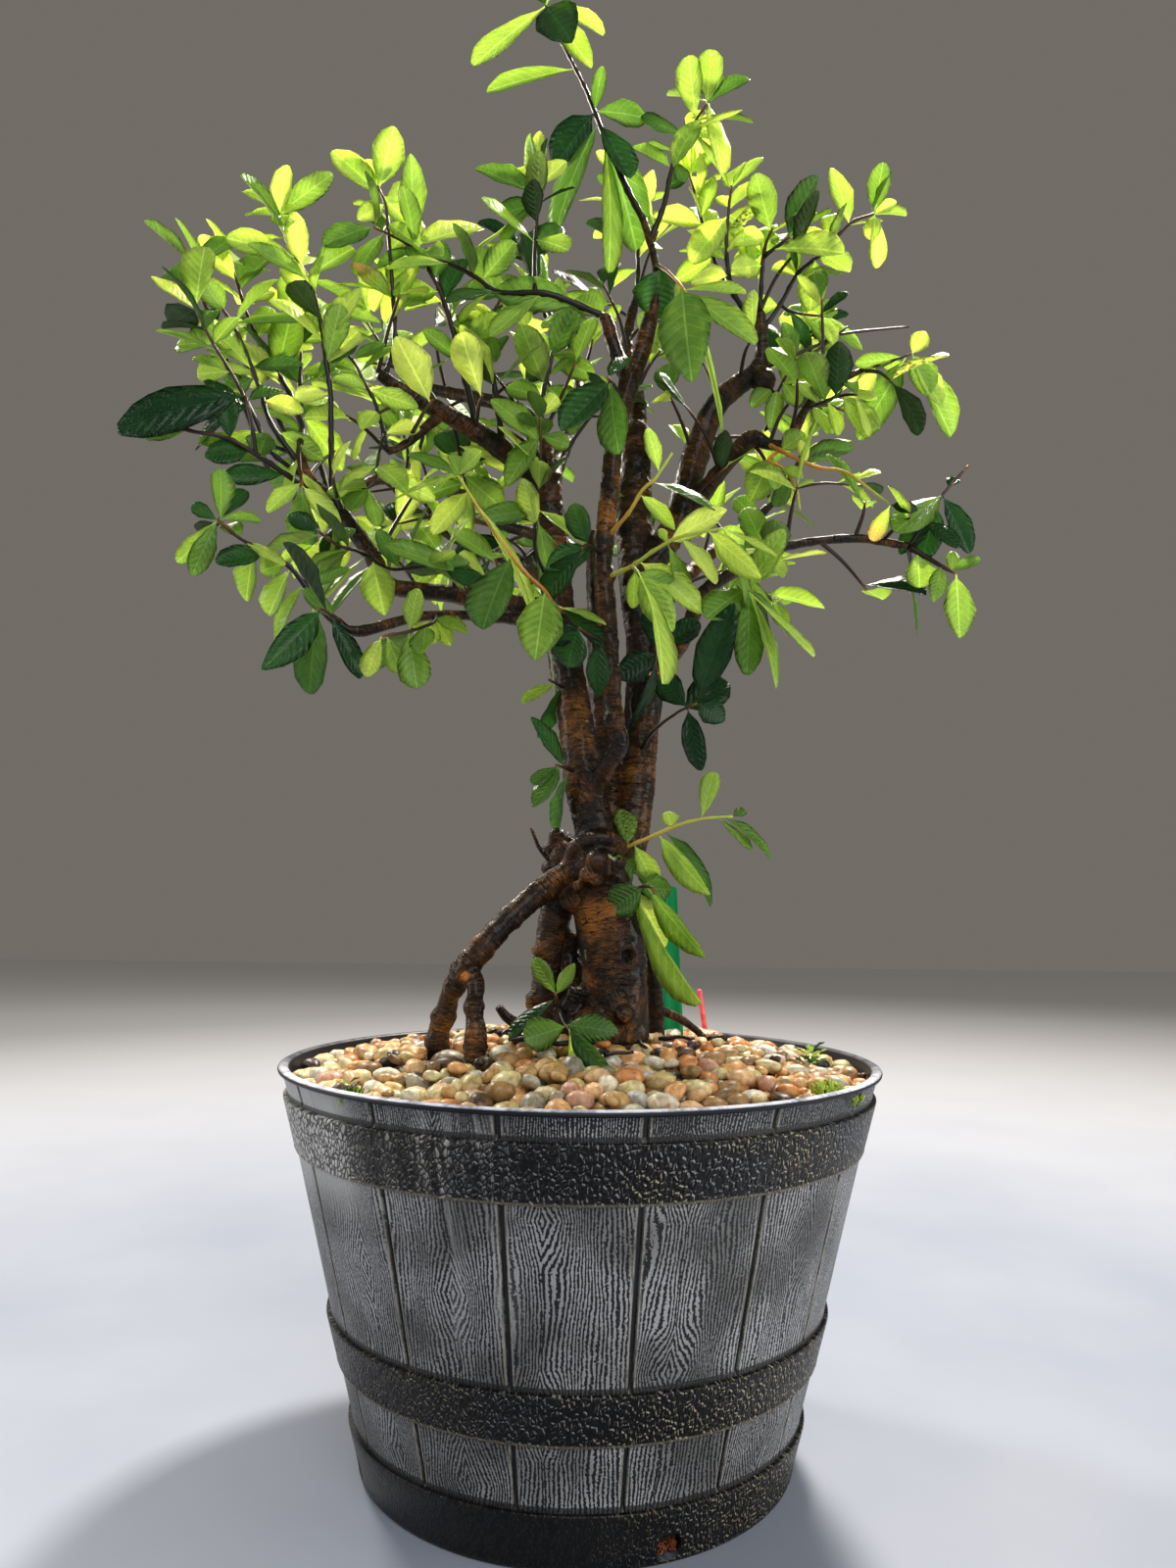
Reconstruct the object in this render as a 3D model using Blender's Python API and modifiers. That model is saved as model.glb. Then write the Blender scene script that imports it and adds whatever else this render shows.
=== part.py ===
"""A toyo-nishiki flowering quince grown as a bonsai, on exposed roots, in a moulded half-barrel pot.

The world is in metres with +Z up and -Y to the front.  The origin lies on the table, under the
middle of the pot.  Every size and place below is in millimetres; MM turns them to metres.
"""
import math
import random
from collections import namedtuple

import bmesh
import bpy
from mathutils import Matrix, Vector
from mathutils.bvhtree import BVHTree

MM = 0.001
GAP = 0.3
WELD = 0.00001
SLIVER = 0.000002

# Pot: sixteen staves held by three hoops, all one moulding.
POT_HEIGHT = 246.0
RIM_RADIUS = 197.0
FOOT_RADIUS = 138.0
STAVES = 16
FIRST_SEAM = -12.5
SEAM_HALF_ANGLE = 0.45
SEAM_DEPTH = 1.8
WALL = 4.5
FLOOR = 5.0
LIP_HEIGHT = 6.0
LIP_WIDTH = 7.0
LIP_BEVEL = 2.0
HOOP_STAND = 2.0
HOOP_BEVEL = 1.0
HOOPS = [(229.0, 196.5), (97.0, 68.5), (32.0, 0.0)]
DRAIN_RADIUS = 7.5
DRAIN_HEIGHT = 9.5
DRILL_LENGTH = 30.0
DRAIN_ANGLES = [21.0, 111.0, 201.0, 291.0]

# Filling: soil with a low mound, and a bed of pebbles that follows it.
SOIL_EDGE = 231.0
SOIL_CROWN = 247.0
BED_EDGE = 246.5
BED_CROWN = 263.0
PEBBLE_SIZE = 43.0
PEBBLE_TOP = 0.62
PEBBLE_JITTER = 0.1
PEBBLE_UNEVEN = 2.5
PEBBLE_VALLEY = 7.0
STEM_FOOT = 216.0
STEM_GAP = 0.5
HOLE_POINTS = 4

# Limbs, and the short spurs that the shoots stand on.
SIDE_LIMITS = (4.2, 9.5, 13.0)
SMALL_KNOB = 9.0
SPUR_RISE = 0.7
SPUR_STEP = 0.5
TWIG_STEP = 18.0
TWIG_TIP = 0.9
SIDE_TWIG = 0.8

# Leaves; an outline point is (share of the length, offset as a share of the width).
BLADE = 0.8
BLADE_OUTLINE = [(0.0, 0.0), (0.36, -0.42), (0.74, -0.46), (1.0, 0.0), (0.74, 0.46), (0.36, 0.42)]
BLADE_FACES = [(0, 3, 1), (1, 3, 2), (0, 5, 3), (5, 4, 3)]
CURLS = (0.02, 0.22)
FOLDS = (0.1, 0.4)
MOST_LEAN = 38.0
SLIGHT_ROLL = 25.0
SLIMMEST = 0.34
TURNED_OVER = 0.2
GOLDEN_ANGLE = 137.5
LEAFY_SHARE = 0.8
FILLING_LENGTHS = (30.0, 48.0)
FILLING_WIDTHS = (0.38, 0.48)
SOLID_LEAF_FROM = 32.0
SOLID_FILLING = 6
LEAF_CLEARANCE = 0.4
FOOT_SHARE = 0.3
SEED = 7

# Label and stick.
LABEL_SIZE = (25.0, 0.9, 128.0)
LABEL_MIDDLE = (47.0, 24.0, 298.0)
LABEL_LEAN = -1.5
STICK_RADIUS = 2.0
STICK_ROUTE = [(95, 88, 226), (94, 88, 256), (90, 88, 285)]

Shoot = namedtuple("Shoot", "thickness twigs leaves more")

# Limbs of the woody plant: name, route from its foot as (x, y, z), and the radius at each point.
LIMBS = {
    "trunk": [(23, -30, 260, 19.5), (22, -30, 299, 20.5), (18, -29, 337, 22.0), (13, -28, 363, 19.5),
              (11, -27, 384, 17.5)],
    "left_trunk": [(11, -27, 384, 15.5), (9, -28, 397, 13.5), (1, -27, 429, 12.5), (-8, -20, 483, 11.5),
                   (-18, -10, 541, 11.0), (-22, -4, 585, 10.5), (-26, 0, 626, 9.5), (-28, 2, 652, 8.0)],
    "right_trunk": [(25, -18, 373, 12.0), (32, -12, 400, 12.5), (38, -2, 459, 12.5), (41, 4, 492, 12.0),
                    (41, 12, 533, 12.0), (37, 20, 579, 12.0), (35, 28, 626, 12.5), (36, 34, 674, 11.0),
                    (39, 38, 708, 8.0)],
    "cut_stub": [(42, 2, 478, 5.5), (48, -8, 497, 6.0), (48, -14, 508, 5.5)],
    "left_base": [(-21, -10, 261, 12.0), (-22, -14, 298, 11.5), (-20, -18, 330, 11.0),
                  (-15, -22, 353, 11.0), (-3, -26, 373, 10.0)],
    "root_crown": [(-6, -24, 259, 9.5), (-8, -28, 277, 9.5), (-3, -28, 294, 7.0)],
    "dead_snag": [(-9, -20, 360, 8.0), (-14, -18, 376, 8.5), (-15, -18, 395, 7.5)],
    "right_base": [(51, 2, 261, 6.5), (49, -6, 298, 6.0), (47, -12, 331, 6.0), (40, -18, 360, 6.5)],
    "arch_root": [(1, -30, 373, 9.0), (-19, -38, 363, 8.5), (-46, -48, 339, 8.0), (-58, -52, 326, 8.5),
                  (-74, -56, 307, 8.5)],
    "leg_a": [(-91, -38, 258, 7.0), (-91, -39, 267, 7.0), (-86, -43, 281, 6.5), (-81, -50, 297, 6.0),
              (-74, -56, 307, 7.5)],
    "leg_b": [(-65, -76, 257, 6.5), (-64, -74, 271, 6.5), (-66, -70, 282, 5.5), (-66, -62, 298, 5.5),
              (-74, -56, 306, 7.5)],
    "right_root": [(84, 4, 257, 2.5), (76, 4, 266, 2.5), (65, 2, 273, 3.0), (51, -2, 279, 3.5)],
    "stub_left": [(-22, -18, 263, 4.5), (-45, -34, 273, 3.5), (-53, -40, 282, 2.5)],
    "low_knot": [(28, -30, 277, 5.5), (27, -56, 280, 5.0)],
    "bare_twig": [(-14, -18, 368, 1.5), (-28, -22, 384, 1.5), (-35, -24, 399, 1.0)],
    "front_stem": [(6, -30, 418, 5.0), (11, -42, 430, 5.0), (17, -52, 442, 5.5), (23, -58, 453, 5.5),
                   (19, -60, 466, 5.5), (15, -64, 520, 5.5), (11, -65, 572, 6.0), (15, -65, 619, 5.5),
                   (18, -64, 653, 5.5), (28, -62, 698, 6.0)],
    "front_left_stub": [(28, -62, 696, 5.0), (19, -64, 713, 4.0), (10, -67, 739, 4.0)],
    "front_right_stub": [(28, -62, 696, 5.0), (35, -60, 715, 5.0), (42, -57, 745, 4.5)],
    "leader": [(42, -57, 739, 3.0), (46, -56, 767, 2.5), (44, -54, 789, 2.5), (37, -51, 818, 2.5)],
    "left_limb_1": [(-26, 0, 644, 7.5), (-58, -16, 665, 7.5), (-78, -26, 675, 7.0), (-101, -36, 685, 6.0),
                    (-121, -44, 692, 5.5), (-142, -54, 703, 4.0)],
    "left_limb_2": [(-27, 2, 641, 5.5), (-33, 10, 689, 5.5), (-52, 30, 719, 5.5), (-76, 48, 734, 5.5),
                    (-127, 74, 757, 4.5), (-138, 80, 768, 3.5)],
    "left_limb_3": [(-21, -8, 554, 7.0), (-48, -24, 552, 6.5), (-88, -44, 553, 6.0), (-128, -62, 553, 5.5),
                    (-137, -66, 568, 5.5), (-158, -70, 597, 5.5), (-181, -72, 621, 4.5),
                    (-188, -70, 637, 4.0)],
    "left_limb_4": [(-101, -36, 683, 4.0), (-121, -52, 655, 3.0), (-132, -60, 645, 2.5)],
    "left_limb_5": [(-27, 4, 625, 5.5), (-57, 24, 638, 5.0), (-97, 48, 659, 5.0), (-164, 84, 685, 4.5),
                    (-188, 98, 677, 3.5)],
    "left_limb_6": [(-19, -8, 538, 5.0), (-45, -34, 539, 4.0), (-98, -78, 529, 3.0), (-138, -102, 512, 3.5),
                    (-150, -106, 516, 3.0), (-161, -110, 525, 2.5)],
    "left_limb_7": [(-25, 2, 608, 5.0), (-58, 40, 631, 4.5), (-92, 78, 652, 4.5), (-128, 112, 663, 4.0)],
    "right_limb_1": [(40, 8, 510, 6.5), (64, -4, 526, 6.0), (74, -12, 547, 5.5), (84, -20, 566, 5.0),
                     (116, -32, 583, 4.0), (136, -36, 592, 3.5), (181, -42, 596, 3.0),
                     (217, -42, 591, 3.0)],
    "right_limb_2": [(39, 20, 586, 10.0), (53, 24, 606, 11.0), (68, 28, 634, 11.5), (76, 32, 666, 11.5),
                     (86, 34, 699, 10.5), (99, 32, 728, 8.5), (127, 20, 749, 6.5), (129, 14, 770, 4.5),
                     (127, 10, 788, 4.0)],
    "right_limb_3": [(78, 28, 642, 7.5), (97, 12, 664, 6.0), (116, -6, 681, 6.0), (129, -12, 675, 4.0),
                     (142, -16, 675, 3.5), (153, -24, 696, 3.0), (164, -30, 708, 3.0),
                     (189, -37, 718, 2.0)],
    "back_limb_1": [(-26, 2, 645, 6.5), (-22, 35, 681, 6.0), (-11, 70, 729, 5.5), (-8, 100, 777, 4.5),
                    (-17, 120, 822, 3.5)],
    "back_limb_2": [(39, 38, 703, 6.5), (38, 62, 750, 6.0), (31, 84, 803, 5.0), (40, 96, 853, 3.5)],
    "back_limb_3": [(41, 16, 548, 7.0), (69, 60, 591, 6.5), (104, 98, 636, 5.5), (141, 128, 672, 4.5),
                    (169, 146, 705, 3.5)],
    "back_limb_4": [(-21, 0, 572, 6.5), (-51, 50, 606, 6.0), (-85, 95, 632, 5.0), (-122, 130, 661, 4.0),
                    (-143, 150, 698, 3.5)],
}
GROUNDED = ["trunk", "left_base", "root_crown", "right_base", "leg_a", "leg_b", "right_root"]

# Swellings: middle and radius of the burl, the old pruning knots and the knee of the arched root.
KNOBS = [((11, -40, 373), 16.5), ((131, 18, 738), 9.0), ((-28, 2, 652), 10.0), ((37, 36, 704), 10.0),
         ((116, -6, 681), 7.0), ((-74, -56, 306), 9.5)]

# Shoots: thickness at the foot, routes of the twigs, the leaves that the front view shows, each as
# (twig, share of its length, bearing from +X towards +Z in degrees, seen length, seen width), and
# how many more leaves fill the shoot.
SHOOTS = {
    "crown_tip": Shoot(2.3, [
        [(37, -51, 819), (26, -48, 842), (15, -45, 871), (6, -42, 896), (-3, -40, 922), (-12, -38, 943),
         (-24, -36, 969), (-34, -34, 995)],
    ], [
        (0, 1.0, 225, 66, 21), (0, 1.0, 285, 54, 27), (0, 1.0, 305, 54, 18), (0, 1.0, 320, 49, 18),
        (0, 0.7, 185, 60, 19), (0, 0.5, 225, 37, 24), (0, 0.45, 295, 48, 19), (0, 0.5, 5, 34, 19),
        (0, 0.4, 300, 59, 29), (0, 0.45, 245, 82, 19), (0, 0.5, 80, 23, 9), (0, 0.4, 280, 82, 15),
        (0, 1.0, 110, 37, 17), (0, 1.0, 65, 40, 18),
    ], 0),
    "crown_right": Shoot(1.9, [
        [(42, -53, 801), (51, -50, 830), (56, -47, 857), (62, -44, 879), (73, -42, 899),
         (83, -40, 916)],
    ], [
        (0, 1.0, 125, 39, 11), (0, 1.0, 80, 33, 15), (0, 1.0, 35, 33, 15), (0, 1.0, 280, 58, 15),
        (0, 0.95, 315, 23, 8), (0, 0.95, 220, 13, 11), (0, 0.5, 145, 31, 14), (0, 0.55, 300, 14, 11),
    ], 0),
    "crown_high": Shoot(2.2, [
        [(126, 12, 778), (109, 4, 794), (102, -4, 808), (100, -8, 829), (101, -12, 853),
         (103, -14, 871)],
        [(109, 4, 794), (96, 14, 824), (84, 14, 863), (79, 10, 880), (74, 8, 896)],
    ], [
        (1, 1.0, 130, 14, 9), (1, 1.0, 95, 16, 10), (1, 1.0, 25, 21, 12), (1, 1.0, 320, 19, 12),
        (1, 1.0, 210, 18, 12), (1, 0.65, 195, 34, 16), (1, 0.4, 215, 32, 15), (0, 0.85, 130, 12, 9),
        (0, 0.8, 230, 38, 21), (0, 0.8, 305, 30, 16), (0, 0.6, 15, 25, 16), (0, 0.5, 140, 28, 13),
        (0, 0.4, 35, 24, 13),
    ], 2),
    "right_high": Shoot(2.0, [
        [(127, 10, 790), (127, 0, 815), (129, -6, 831), (133, -12, 840)],
        [(128, -4, 823), (138, -10, 828), (145, -14, 832)],
    ], [
        (0, 0.8, 80, 26, 14), (1, 0.35, 340, 40, 22), (1, 1.0, 45, 42, 7), (1, 1.0, 15, 41, 17),
        (1, 0.8, 355, 38, 13), (0, 0.55, 210, 26, 16), (0, 0.3, 105, 30, 13), (0, 0.7, 185, 20, 12),
    ], 1),
    "right_long": Shoot(1.7, [
        [(131, 14, 774), (142, 8, 793), (154, 0, 813), (171, -6, 825), (183, -10, 838), (192, -14, 845),
         (206, -18, 848)],
        [(142, 8, 793), (150, 18, 794), (163, 28, 797), (178, 32, 798)],
    ], [
        (0, 1.0, 85, 28, 14), (0, 1.0, 30, 16, 9), (0, 1.0, 265, 15, 11), (0, 1.0, 280, 32, 14),
        (0, 0.55, 260, 41, 18), (0, 0.2, 170, 22, 14), (0, 0.4, 150, 18, 12), (1, 1.0, 50, 12, 9),
        (1, 0.95, 185, 9, 9), (1, 1.0, 285, 25, 13), (1, 0.3, 320, 28, 12),
    ], 1),
    "right_tip": Shoot(1.3, [
        [(190, -37, 719), (206, -40, 723), (223, -42, 728)],
    ], [
        (0, 1.0, 60, 14, 12), (0, 0.9, 240, 51, 19), (0, 1.0, 290, 28, 18), (0, 1.0, 310, 53, 28),
        (0, 0.85, 190, 31, 8), (0, 1.0, 300, 38, 16), (0, 0.3, 240, 21, 12),
    ], 1),
    "right_side": Shoot(1.3, [
        [(154, -24, 696), (162, -40, 695), (171, -52, 692), (180, -60, 689)],
    ], [
        (0, 0.45, 285, 24, 11), (0, 0.75, 295, 31, 11), (0, 1.0, 120, 13, 9), (0, 0.25, 120, 23, 14),
        (0, 0.4, 90, 24, 13), (0, 0.15, 285, 24, 11),
    ], 2),
    "right_inner": Shoot(1.3, [
        [(131, 20, 749), (138, 14, 727), (144, 8, 734), (152, 4, 748)],
    ], [
        (0, 1.0, 115, 22, 12), (0, 0.85, 15, 24, 16), (0, 0.55, 260, 28, 12), (0, 0.65, 285, 26, 12),
        (0, 0.4, 225, 21, 13),
    ], 2),
    "orange_shoot": Shoot(1.5, [
        [(128, -14, 672), (132, -26, 663), (140, -36, 656), (155, -48, 643), (171, -58, 636),
         (184, -66, 622), (197, -72, 608)],
        [(132, -26, 663), (125, -32, 654), (135, -36, 647), (143, -38, 631), (145, -38, 617)],
    ], [
        (0, 1.0, 245, 21, 10), (0, 1.0, 345, 15, 8), (0, 0.4, 105, 15, 7), (1, 0.1, 240, 26, 20),
        (1, 0.25, 275, 20, 14), (1, 0.4, 320, 15, 9), (1, 0.55, 250, 17, 11), (0, 0.15, 35, 18, 15),
    ], 0),
    "low_right_end": Shoot(1.3, [
        [(219, -42, 592), (229, -46, 608), (240, -48, 626), (257, -50, 645)],
    ], [
        (0, 0.6, 220, 47, 21), (0, 0.55, 235, 35, 15), (0, 0.5, 255, 36, 18), (0, 0.6, 300, 39, 15),
        (0, 0.7, 55, 13, 8), (0, 0.3, 305, 24, 12),
    ], 0),
    "low_right_tip": Shoot(2.0, [
        [(219, -42, 588), (230, -42, 585), (240, -42, 577), (249, -42, 572)],
    ], [
        (0, 0.2, 275, 22, 20), (0, 0.9, 25, 15, 8), (0, 1.0, 270, 41, 20), (0, 0.7, 250, 26, 11),
        (0, 0.9, 75, 16, 8),
    ], 0),
    "low_right_front": Shoot(1.3, [
        [(105, -33, 575), (104, -60, 560), (102, -88, 544)],
    ], [
        (0, 0.85, 220, 33, 20), (0, 1.0, 270, 48, 18), (0, 1.0, 290, 58, 10), (0, 1.0, 310, 53, 10),
        (0, 0.85, 330, 37, 8), (0, 0.9, 60, 31, 14),
    ], 1),
    "yellow_shoot": Shoot(1.4, [
        [(18, -72, 559), (29, -84, 561), (41, -94, 567), (55, -102, 573), (70, -108, 575),
         (83, -112, 576)],
        [(29, -84, 561), (31, -98, 554), (32, -108, 549)],
    ], [
        (0, 1.0, 340, 34, 8), (0, 0.9, 305, 42, 8), (0, 1.0, 305, 45, 11), (0, 0.6, 295, 38, 11),
        (0, 0.35, 320, 45, 16), (0, 0.6, 120, 8, 6), (0, 0.7, 310, 33, 10), (1, 1.0, 300, 37, 17),
        (1, 0.8, 340, 27, 13), (1, 1.0, 290, 66, 10), (1, 0.4, 270, 20, 9),
    ], 1),
    "orange_spur": Shoot(1.3, [
        [(17, -74, 585), (26, -84, 595), (35, -92, 608), (42, -96, 613), (47, -98, 620),
         (53, -100, 629)],
    ], [
        (0, 0.7, 335, 40, 9), (0, 0.8, 105, 26, 9), (0, 0.55, 320, 28, 10),
    ], 0),
    "left_front_shoot": Shoot(1.6, [
        [(7, -68, 527), (-5, -82, 529), (-19, -96, 531), (-25, -104, 538), (-38, -108, 549),
         (-51, -112, 565), (-64, -116, 583), (-78, -118, 605)],
    ], [
        (0, 0.4, 265, 43, 23), (0, 0.3, 255, 27, 14), (0, 0.3, 335, 34, 12), (0, 0.3, 355, 29, 7),
        (0, 0.6, 250, 45, 26), (0, 1.0, 185, 46, 10), (0, 1.0, 150, 32, 9), (0, 1.0, 105, 15, 8),
        (0, 1.0, 35, 16, 11), (0, 0.9, 305, 72, 7),
    ], 0),
    "centre_front": Shoot(1.3, [
        [(44, -58, 784), (51, -72, 768), (58, -86, 751), (62, -92, 741)],
    ], [
        (0, 0.95, 355, 36, 11), (0, 0.9, 270, 72, 29), (0, 1.0, 315, 55, 18), (0, 1.0, 295, 75, 10),
        (0, 0.7, 285, 28, 9), (0, 0.2, 265, 29, 28),
    ], 0),
    "left_lead": Shoot(1.7, [
        [(-136, -54, 703), (-131, -56, 723), (-133, -58, 757), (-136, -60, 791), (-139, -61, 818),
         (-145, -62, 833)],
    ], [
        (0, 0.95, 140, 38, 19), (0, 1.0, 115, 21, 13), (0, 1.0, 65, 22, 9), (0, 0.95, 320, 18, 15),
        (0, 0.9, 225, 21, 11), (0, 0.9, 60, 33, 16), (0, 0.8, 315, 31, 13), (0, 0.6, 230, 27, 13),
        (0, 0.35, 35, 23, 12),
    ], 2),
    "left_tall": Shoot(2.4, [
        [(-72, -30, 678), (-90, -40, 727), (-101, -44, 763), (-109, -46, 779), (-118, -48, 796),
         (-123, -50, 805)],
    ], [
        (0, 1.0, 85, 41, 14), (0, 0.95, 45, 53, 23), (0, 0.9, 340, 16, 18), (0, 1.0, 15, 11, 7),
        (0, 0.7, 205, 28, 16), (0, 0.55, 335, 27, 16), (0, 0.4, 30, 31, 15), (0, 0.35, 150, 25, 12),
    ], 1),
    "left_mid": Shoot(2.2, [
        [(-55, -22, 669), (-65, -28, 704), (-70, -32, 734), (-67, -34, 758), (-61, -36, 769)],
    ], [
        (0, 1.0, 310, 25, 18), (0, 0.75, 280, 22, 10), (0, 1.0, 170, 28, 18), (0, 0.6, 140, 27, 15),
        (0, 0.8, 140, 21, 12),
    ], 2),
    "left_level": Shoot(2.0, [
        [(13, -76, 738), (-1, -80, 743), (-27, -76, 748), (-59, -72, 751), (-76, -70, 763),
         (-93, -68, 773), (-110, -66, 779), (-127, -64, 792), (-147, -62, 803)],
        [(-36, -75, 749), (-37, -66, 783), (-36, -62, 813), (-35, -59, 839)],
    ], [
        (0, 1.0, 220, 32, 19), (0, 0.95, 245, 36, 16), (0, 0.95, 115, 24, 11), (0, 0.65, 200, 35, 12),
        (0, 0.75, 230, 45, 20), (0, 0.25, 225, 43, 14), (0, 0.1, 170, 51, 22), (0, 0.0, 140, 23, 22),
        (0, 0.5, 45, 28, 17), (0, 0.85, 305, 23, 12), (1, 0.9, 120, 37, 23), (1, 0.9, 155, 44, 20),
        (1, 0.95, 105, 38, 7), (1, 0.95, 95, 40, 12), (1, 0.85, 230, 47, 11), (1, 0.75, 190, 57, 15),
        (1, 0.5, 325, 24, 17),
    ], 2),
    "centre_mid": Shoot(2.0, [
        [(-34, 10, 694), (-33, 12, 724), (-28, 12, 747), (-24, 10, 769), (-18, 8, 782)],
    ], [
        (0, 0.65, 340, 31, 15), (0, 0.65, 5, 28, 10), (0, 0.6, 205, 19, 13), (0, 1.0, 35, 16, 7),
        (0, 0.4, 315, 29, 19), (0, 0.3, 160, 27, 16), (0, 0.9, 140, 17, 12),
    ], 2),
    "centre_slim": Shoot(1.3, [
        [(-36, -14, 567), (-35, -30, 590), (-33, -36, 630), (-32, -40, 659), (-33, -42, 679)],
    ], [
        (0, 0.9, 235, 38, 17), (0, 0.9, 350, 19, 11), (0, 0.95, 160, 15, 9), (0, 0.5, 200, 34, 13),
        (0, 0.5, 320, 40, 10), (0, 0.45, 285, 55, 17), (0, 1.0, 55, 18, 11),
    ], 2),
    "top_left": Shoot(1.8, [
        [(-163, -76, 606), (-166, -78, 650), (-167, -80, 676), (-171, -80, 699), (-175, -80, 723),
         (-182, -80, 749), (-189, -80, 762), (-199, -80, 779), (-206, -80, 799)],
    ], [
        (0, 1.0, 135, 34, 10), (0, 1.0, 30, 39, 13), (0, 1.0, 15, 11, 6), (0, 1.0, 300, 19, 16),
        (0, 0.8, 95, 25, 13), (0, 0.75, 160, 32, 12), (0, 0.75, 350, 36, 12), (0, 0.65, 5, 34, 14),
        (0, 0.65, 260, 13, 18), (0, 0.45, 45, 23, 13), (0, 0.35, 200, 18, 11),
    ], 2),
    "left_outer": Shoot(1.9, [
        [(-182, -76, 624), (-205, -79, 655), (-213, -76, 677), (-225, -76, 706), (-234, -77, 724),
         (-249, -78, 745), (-262, -78, 765)],
    ], [
        (0, 0.7, 10, 48, 13), (0, 0.75, 125, 19, 14), (0, 0.85, 170, 10, 5), (0, 0.1, 245, 24, 23),
        (0, 0.2, 335, 28, 14), (0, 0.45, 205, 22, 17), (0, 0.5, 0, 32, 12), (0, 0.35, 340, 26, 12),
    ], 1),
    "left_broad": Shoot(2.8, [
        [(-188, -66, 642), (-189, -58, 658), (-200, -54, 685), (-218, -50, 715), (-231, -48, 739),
         (-240, -46, 763), (-249, -45, 789)],
        [(-190, -58, 660), (-184, -86, 632), (-176, -104, 603)],
    ], [
        (0, 0.85, 75, 47, 26), (0, 0.8, 45, 22, 12), (0, 0.65, 40, 23, 13), (0, 0.7, 200, 22, 13),
        (0, 0.5, 215, 20, 15), (0, 0.3, 20, 27, 14), (1, 1.0, 265, 29, 19), (1, 1.0, 315, 33, 11),
        (1, 0.95, 230, 25, 11),
    ], 2),
    "left_edge": Shoot(1.6, [
        [(-177, -79, 615), (-200, -93, 630), (-209, -96, 649), (-223, -100, 675), (-237, -102, 697),
         (-249, -104, 720)],
    ], [
        (0, 0.8, 160, 33, 17), (0, 0.8, 55, 21, 15), (0, 0.35, 215, 23, 16), (0, 0.5, 35, 23, 12),
        (0, 0.65, 175, 23, 12),
    ], 1),
    "left_inner": Shoot(2.4, [
        [(-166, -66, 608), (-180, -48, 640), (-194, -38, 668), (-202, -25, 703), (-205, -18, 736),
         (-211, -16, 755), (-219, -14, 769)],
    ], [
        (0, 0.75, 190, 33, 11), (0, 0.7, 20, 25, 14), (0, 0.85, 30, 22, 13), (0, 0.5, 310, 35, 19),
        (0, 0.45, 230, 28, 18),
    ], 2),
    "far_left": Shoot(1.8, [
        [(-163, -78, 600), (-205, -106, 622), (-223, -112, 630), (-246, -116, 633), (-267, -118, 642)],
    ], [
        (0, 0.4, 145, 49, 22), (0, 0.5, 195, 23, 17), (0, 0.8, 185, 26, 14), (0, 0.45, 70, 13, 18),
        (0, 0.6, 95, 24, 13), (0, 0.3, 195, 29, 11),
    ], 0),
    "left_fall": Shoot(1.8, [
        [(-162, -110, 530), (-173, -112, 542), (-181, -113, 550), (-194, -114, 557), (-209, -115, 565),
         (-223, -116, 576)],
    ], [
        (0, 1.0, 65, 26, 10), (0, 1.0, 150, 16, 8), (0, 1.0, 15, 22, 9), (0, 1.0, 230, 32, 8),
        (0, 1.0, 245, 21, 15), (0, 1.0, 255, 33, 12), (0, 0.65, 245, 29, 15), (0, 0.75, 330, 28, 7),
        (0, 0.4, 200, 14, 13), (0, 0.35, 240, 28, 17), (0, 0.2, 235, 37, 11), (0, 0.15, 35, 26, 9),
    ], 0),
    "low_left_hang": Shoot(1.3, [
        [(-147, -112, 514), (-148, -126, 515), (-151, -136, 515), (-153, -144, 514)],
    ], [
        (0, 1.0, 260, 44, 18), (0, 0.9, 245, 40, 12), (0, 0.55, 295, 34, 10), (0, 0.3, 135, 25, 9),
    ], 1),
    "low_left_pair": Shoot(1.3, [
        [(-91, -80, 528), (-95, -96, 519), (-107, -110, 510), (-121, -118, 505)],
    ], [
        (0, 1.0, 250, 23, 12), (0, 0.95, 290, 19, 12), (0, 0.7, 75, 21, 13), (0, 0.2, 245, 15, 16),
        (0, 0.1, 300, 20, 10), (0, 0.1, 330, 23, 9),
    ], 1),
    "left_olive": Shoot(1.3, [
        [(-135, -74, 566), (-139, -86, 566), (-142, -94, 565), (-153, -102, 566), (-164, -106, 573)],
        [(-139, -86, 566), (-120, -100, 552), (-95, -106, 552), (-76, -108, 547)],
    ], [
        (0, 0.0, 230, 43, 10), (0, 0.3, 225, 46, 7), (0, 0.1, 285, 34, 19), (0, 0.65, 225, 29, 16),
        (0, 1.0, 150, 21, 11), (0, 0.8, 50, 15, 10), (1, 1.0, 160, 43, 13), (1, 0.75, 30, 22, 11),
        (1, 0.45, 120, 24, 11), (1, 0.85, 335, 29, 11),
    ], 1),
    "left_bright": Shoot(1.3, [
        [(-95, -34, 680), (-92, -10, 672), (-91, 8, 661), (-87, 20, 651)],
    ], [
        (0, 0.6, 115, 25, 24), (0, 0.9, 210, 38, 17), (0, 0.8, 315, 35, 20), (0, 0.7, 40, 27, 17),
        (0, 1.0, 240, 41, 16),
    ], 2),
    "left_twig_up": Shoot(1.3, [
        [(-132, -66, 647), (-134, -68, 659), (-139, -72, 672), (-146, -74, 685), (-154, -76, 700),
         (-164, -78, 707)],
        [(-133, -67, 655), (-134, -82, 633), (-134, -88, 615), (-140, -90, 606)],
    ], [
        (0, 0.55, 165, 19, 12), (0, 0.55, 350, 29, 12), (0, 0.35, 245, 17, 13), (0, 0.85, 30, 22, 10),
        (0, 0.15, 20, 22, 13), (0, 0.95, 230, 20, 9), (1, 0.75, 130, 22, 21), (1, 0.7, 345, 34, 14),
        (1, 1.0, 170, 26, 14), (1, 0.95, 245, 19, 14),
    ], 1),
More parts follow.
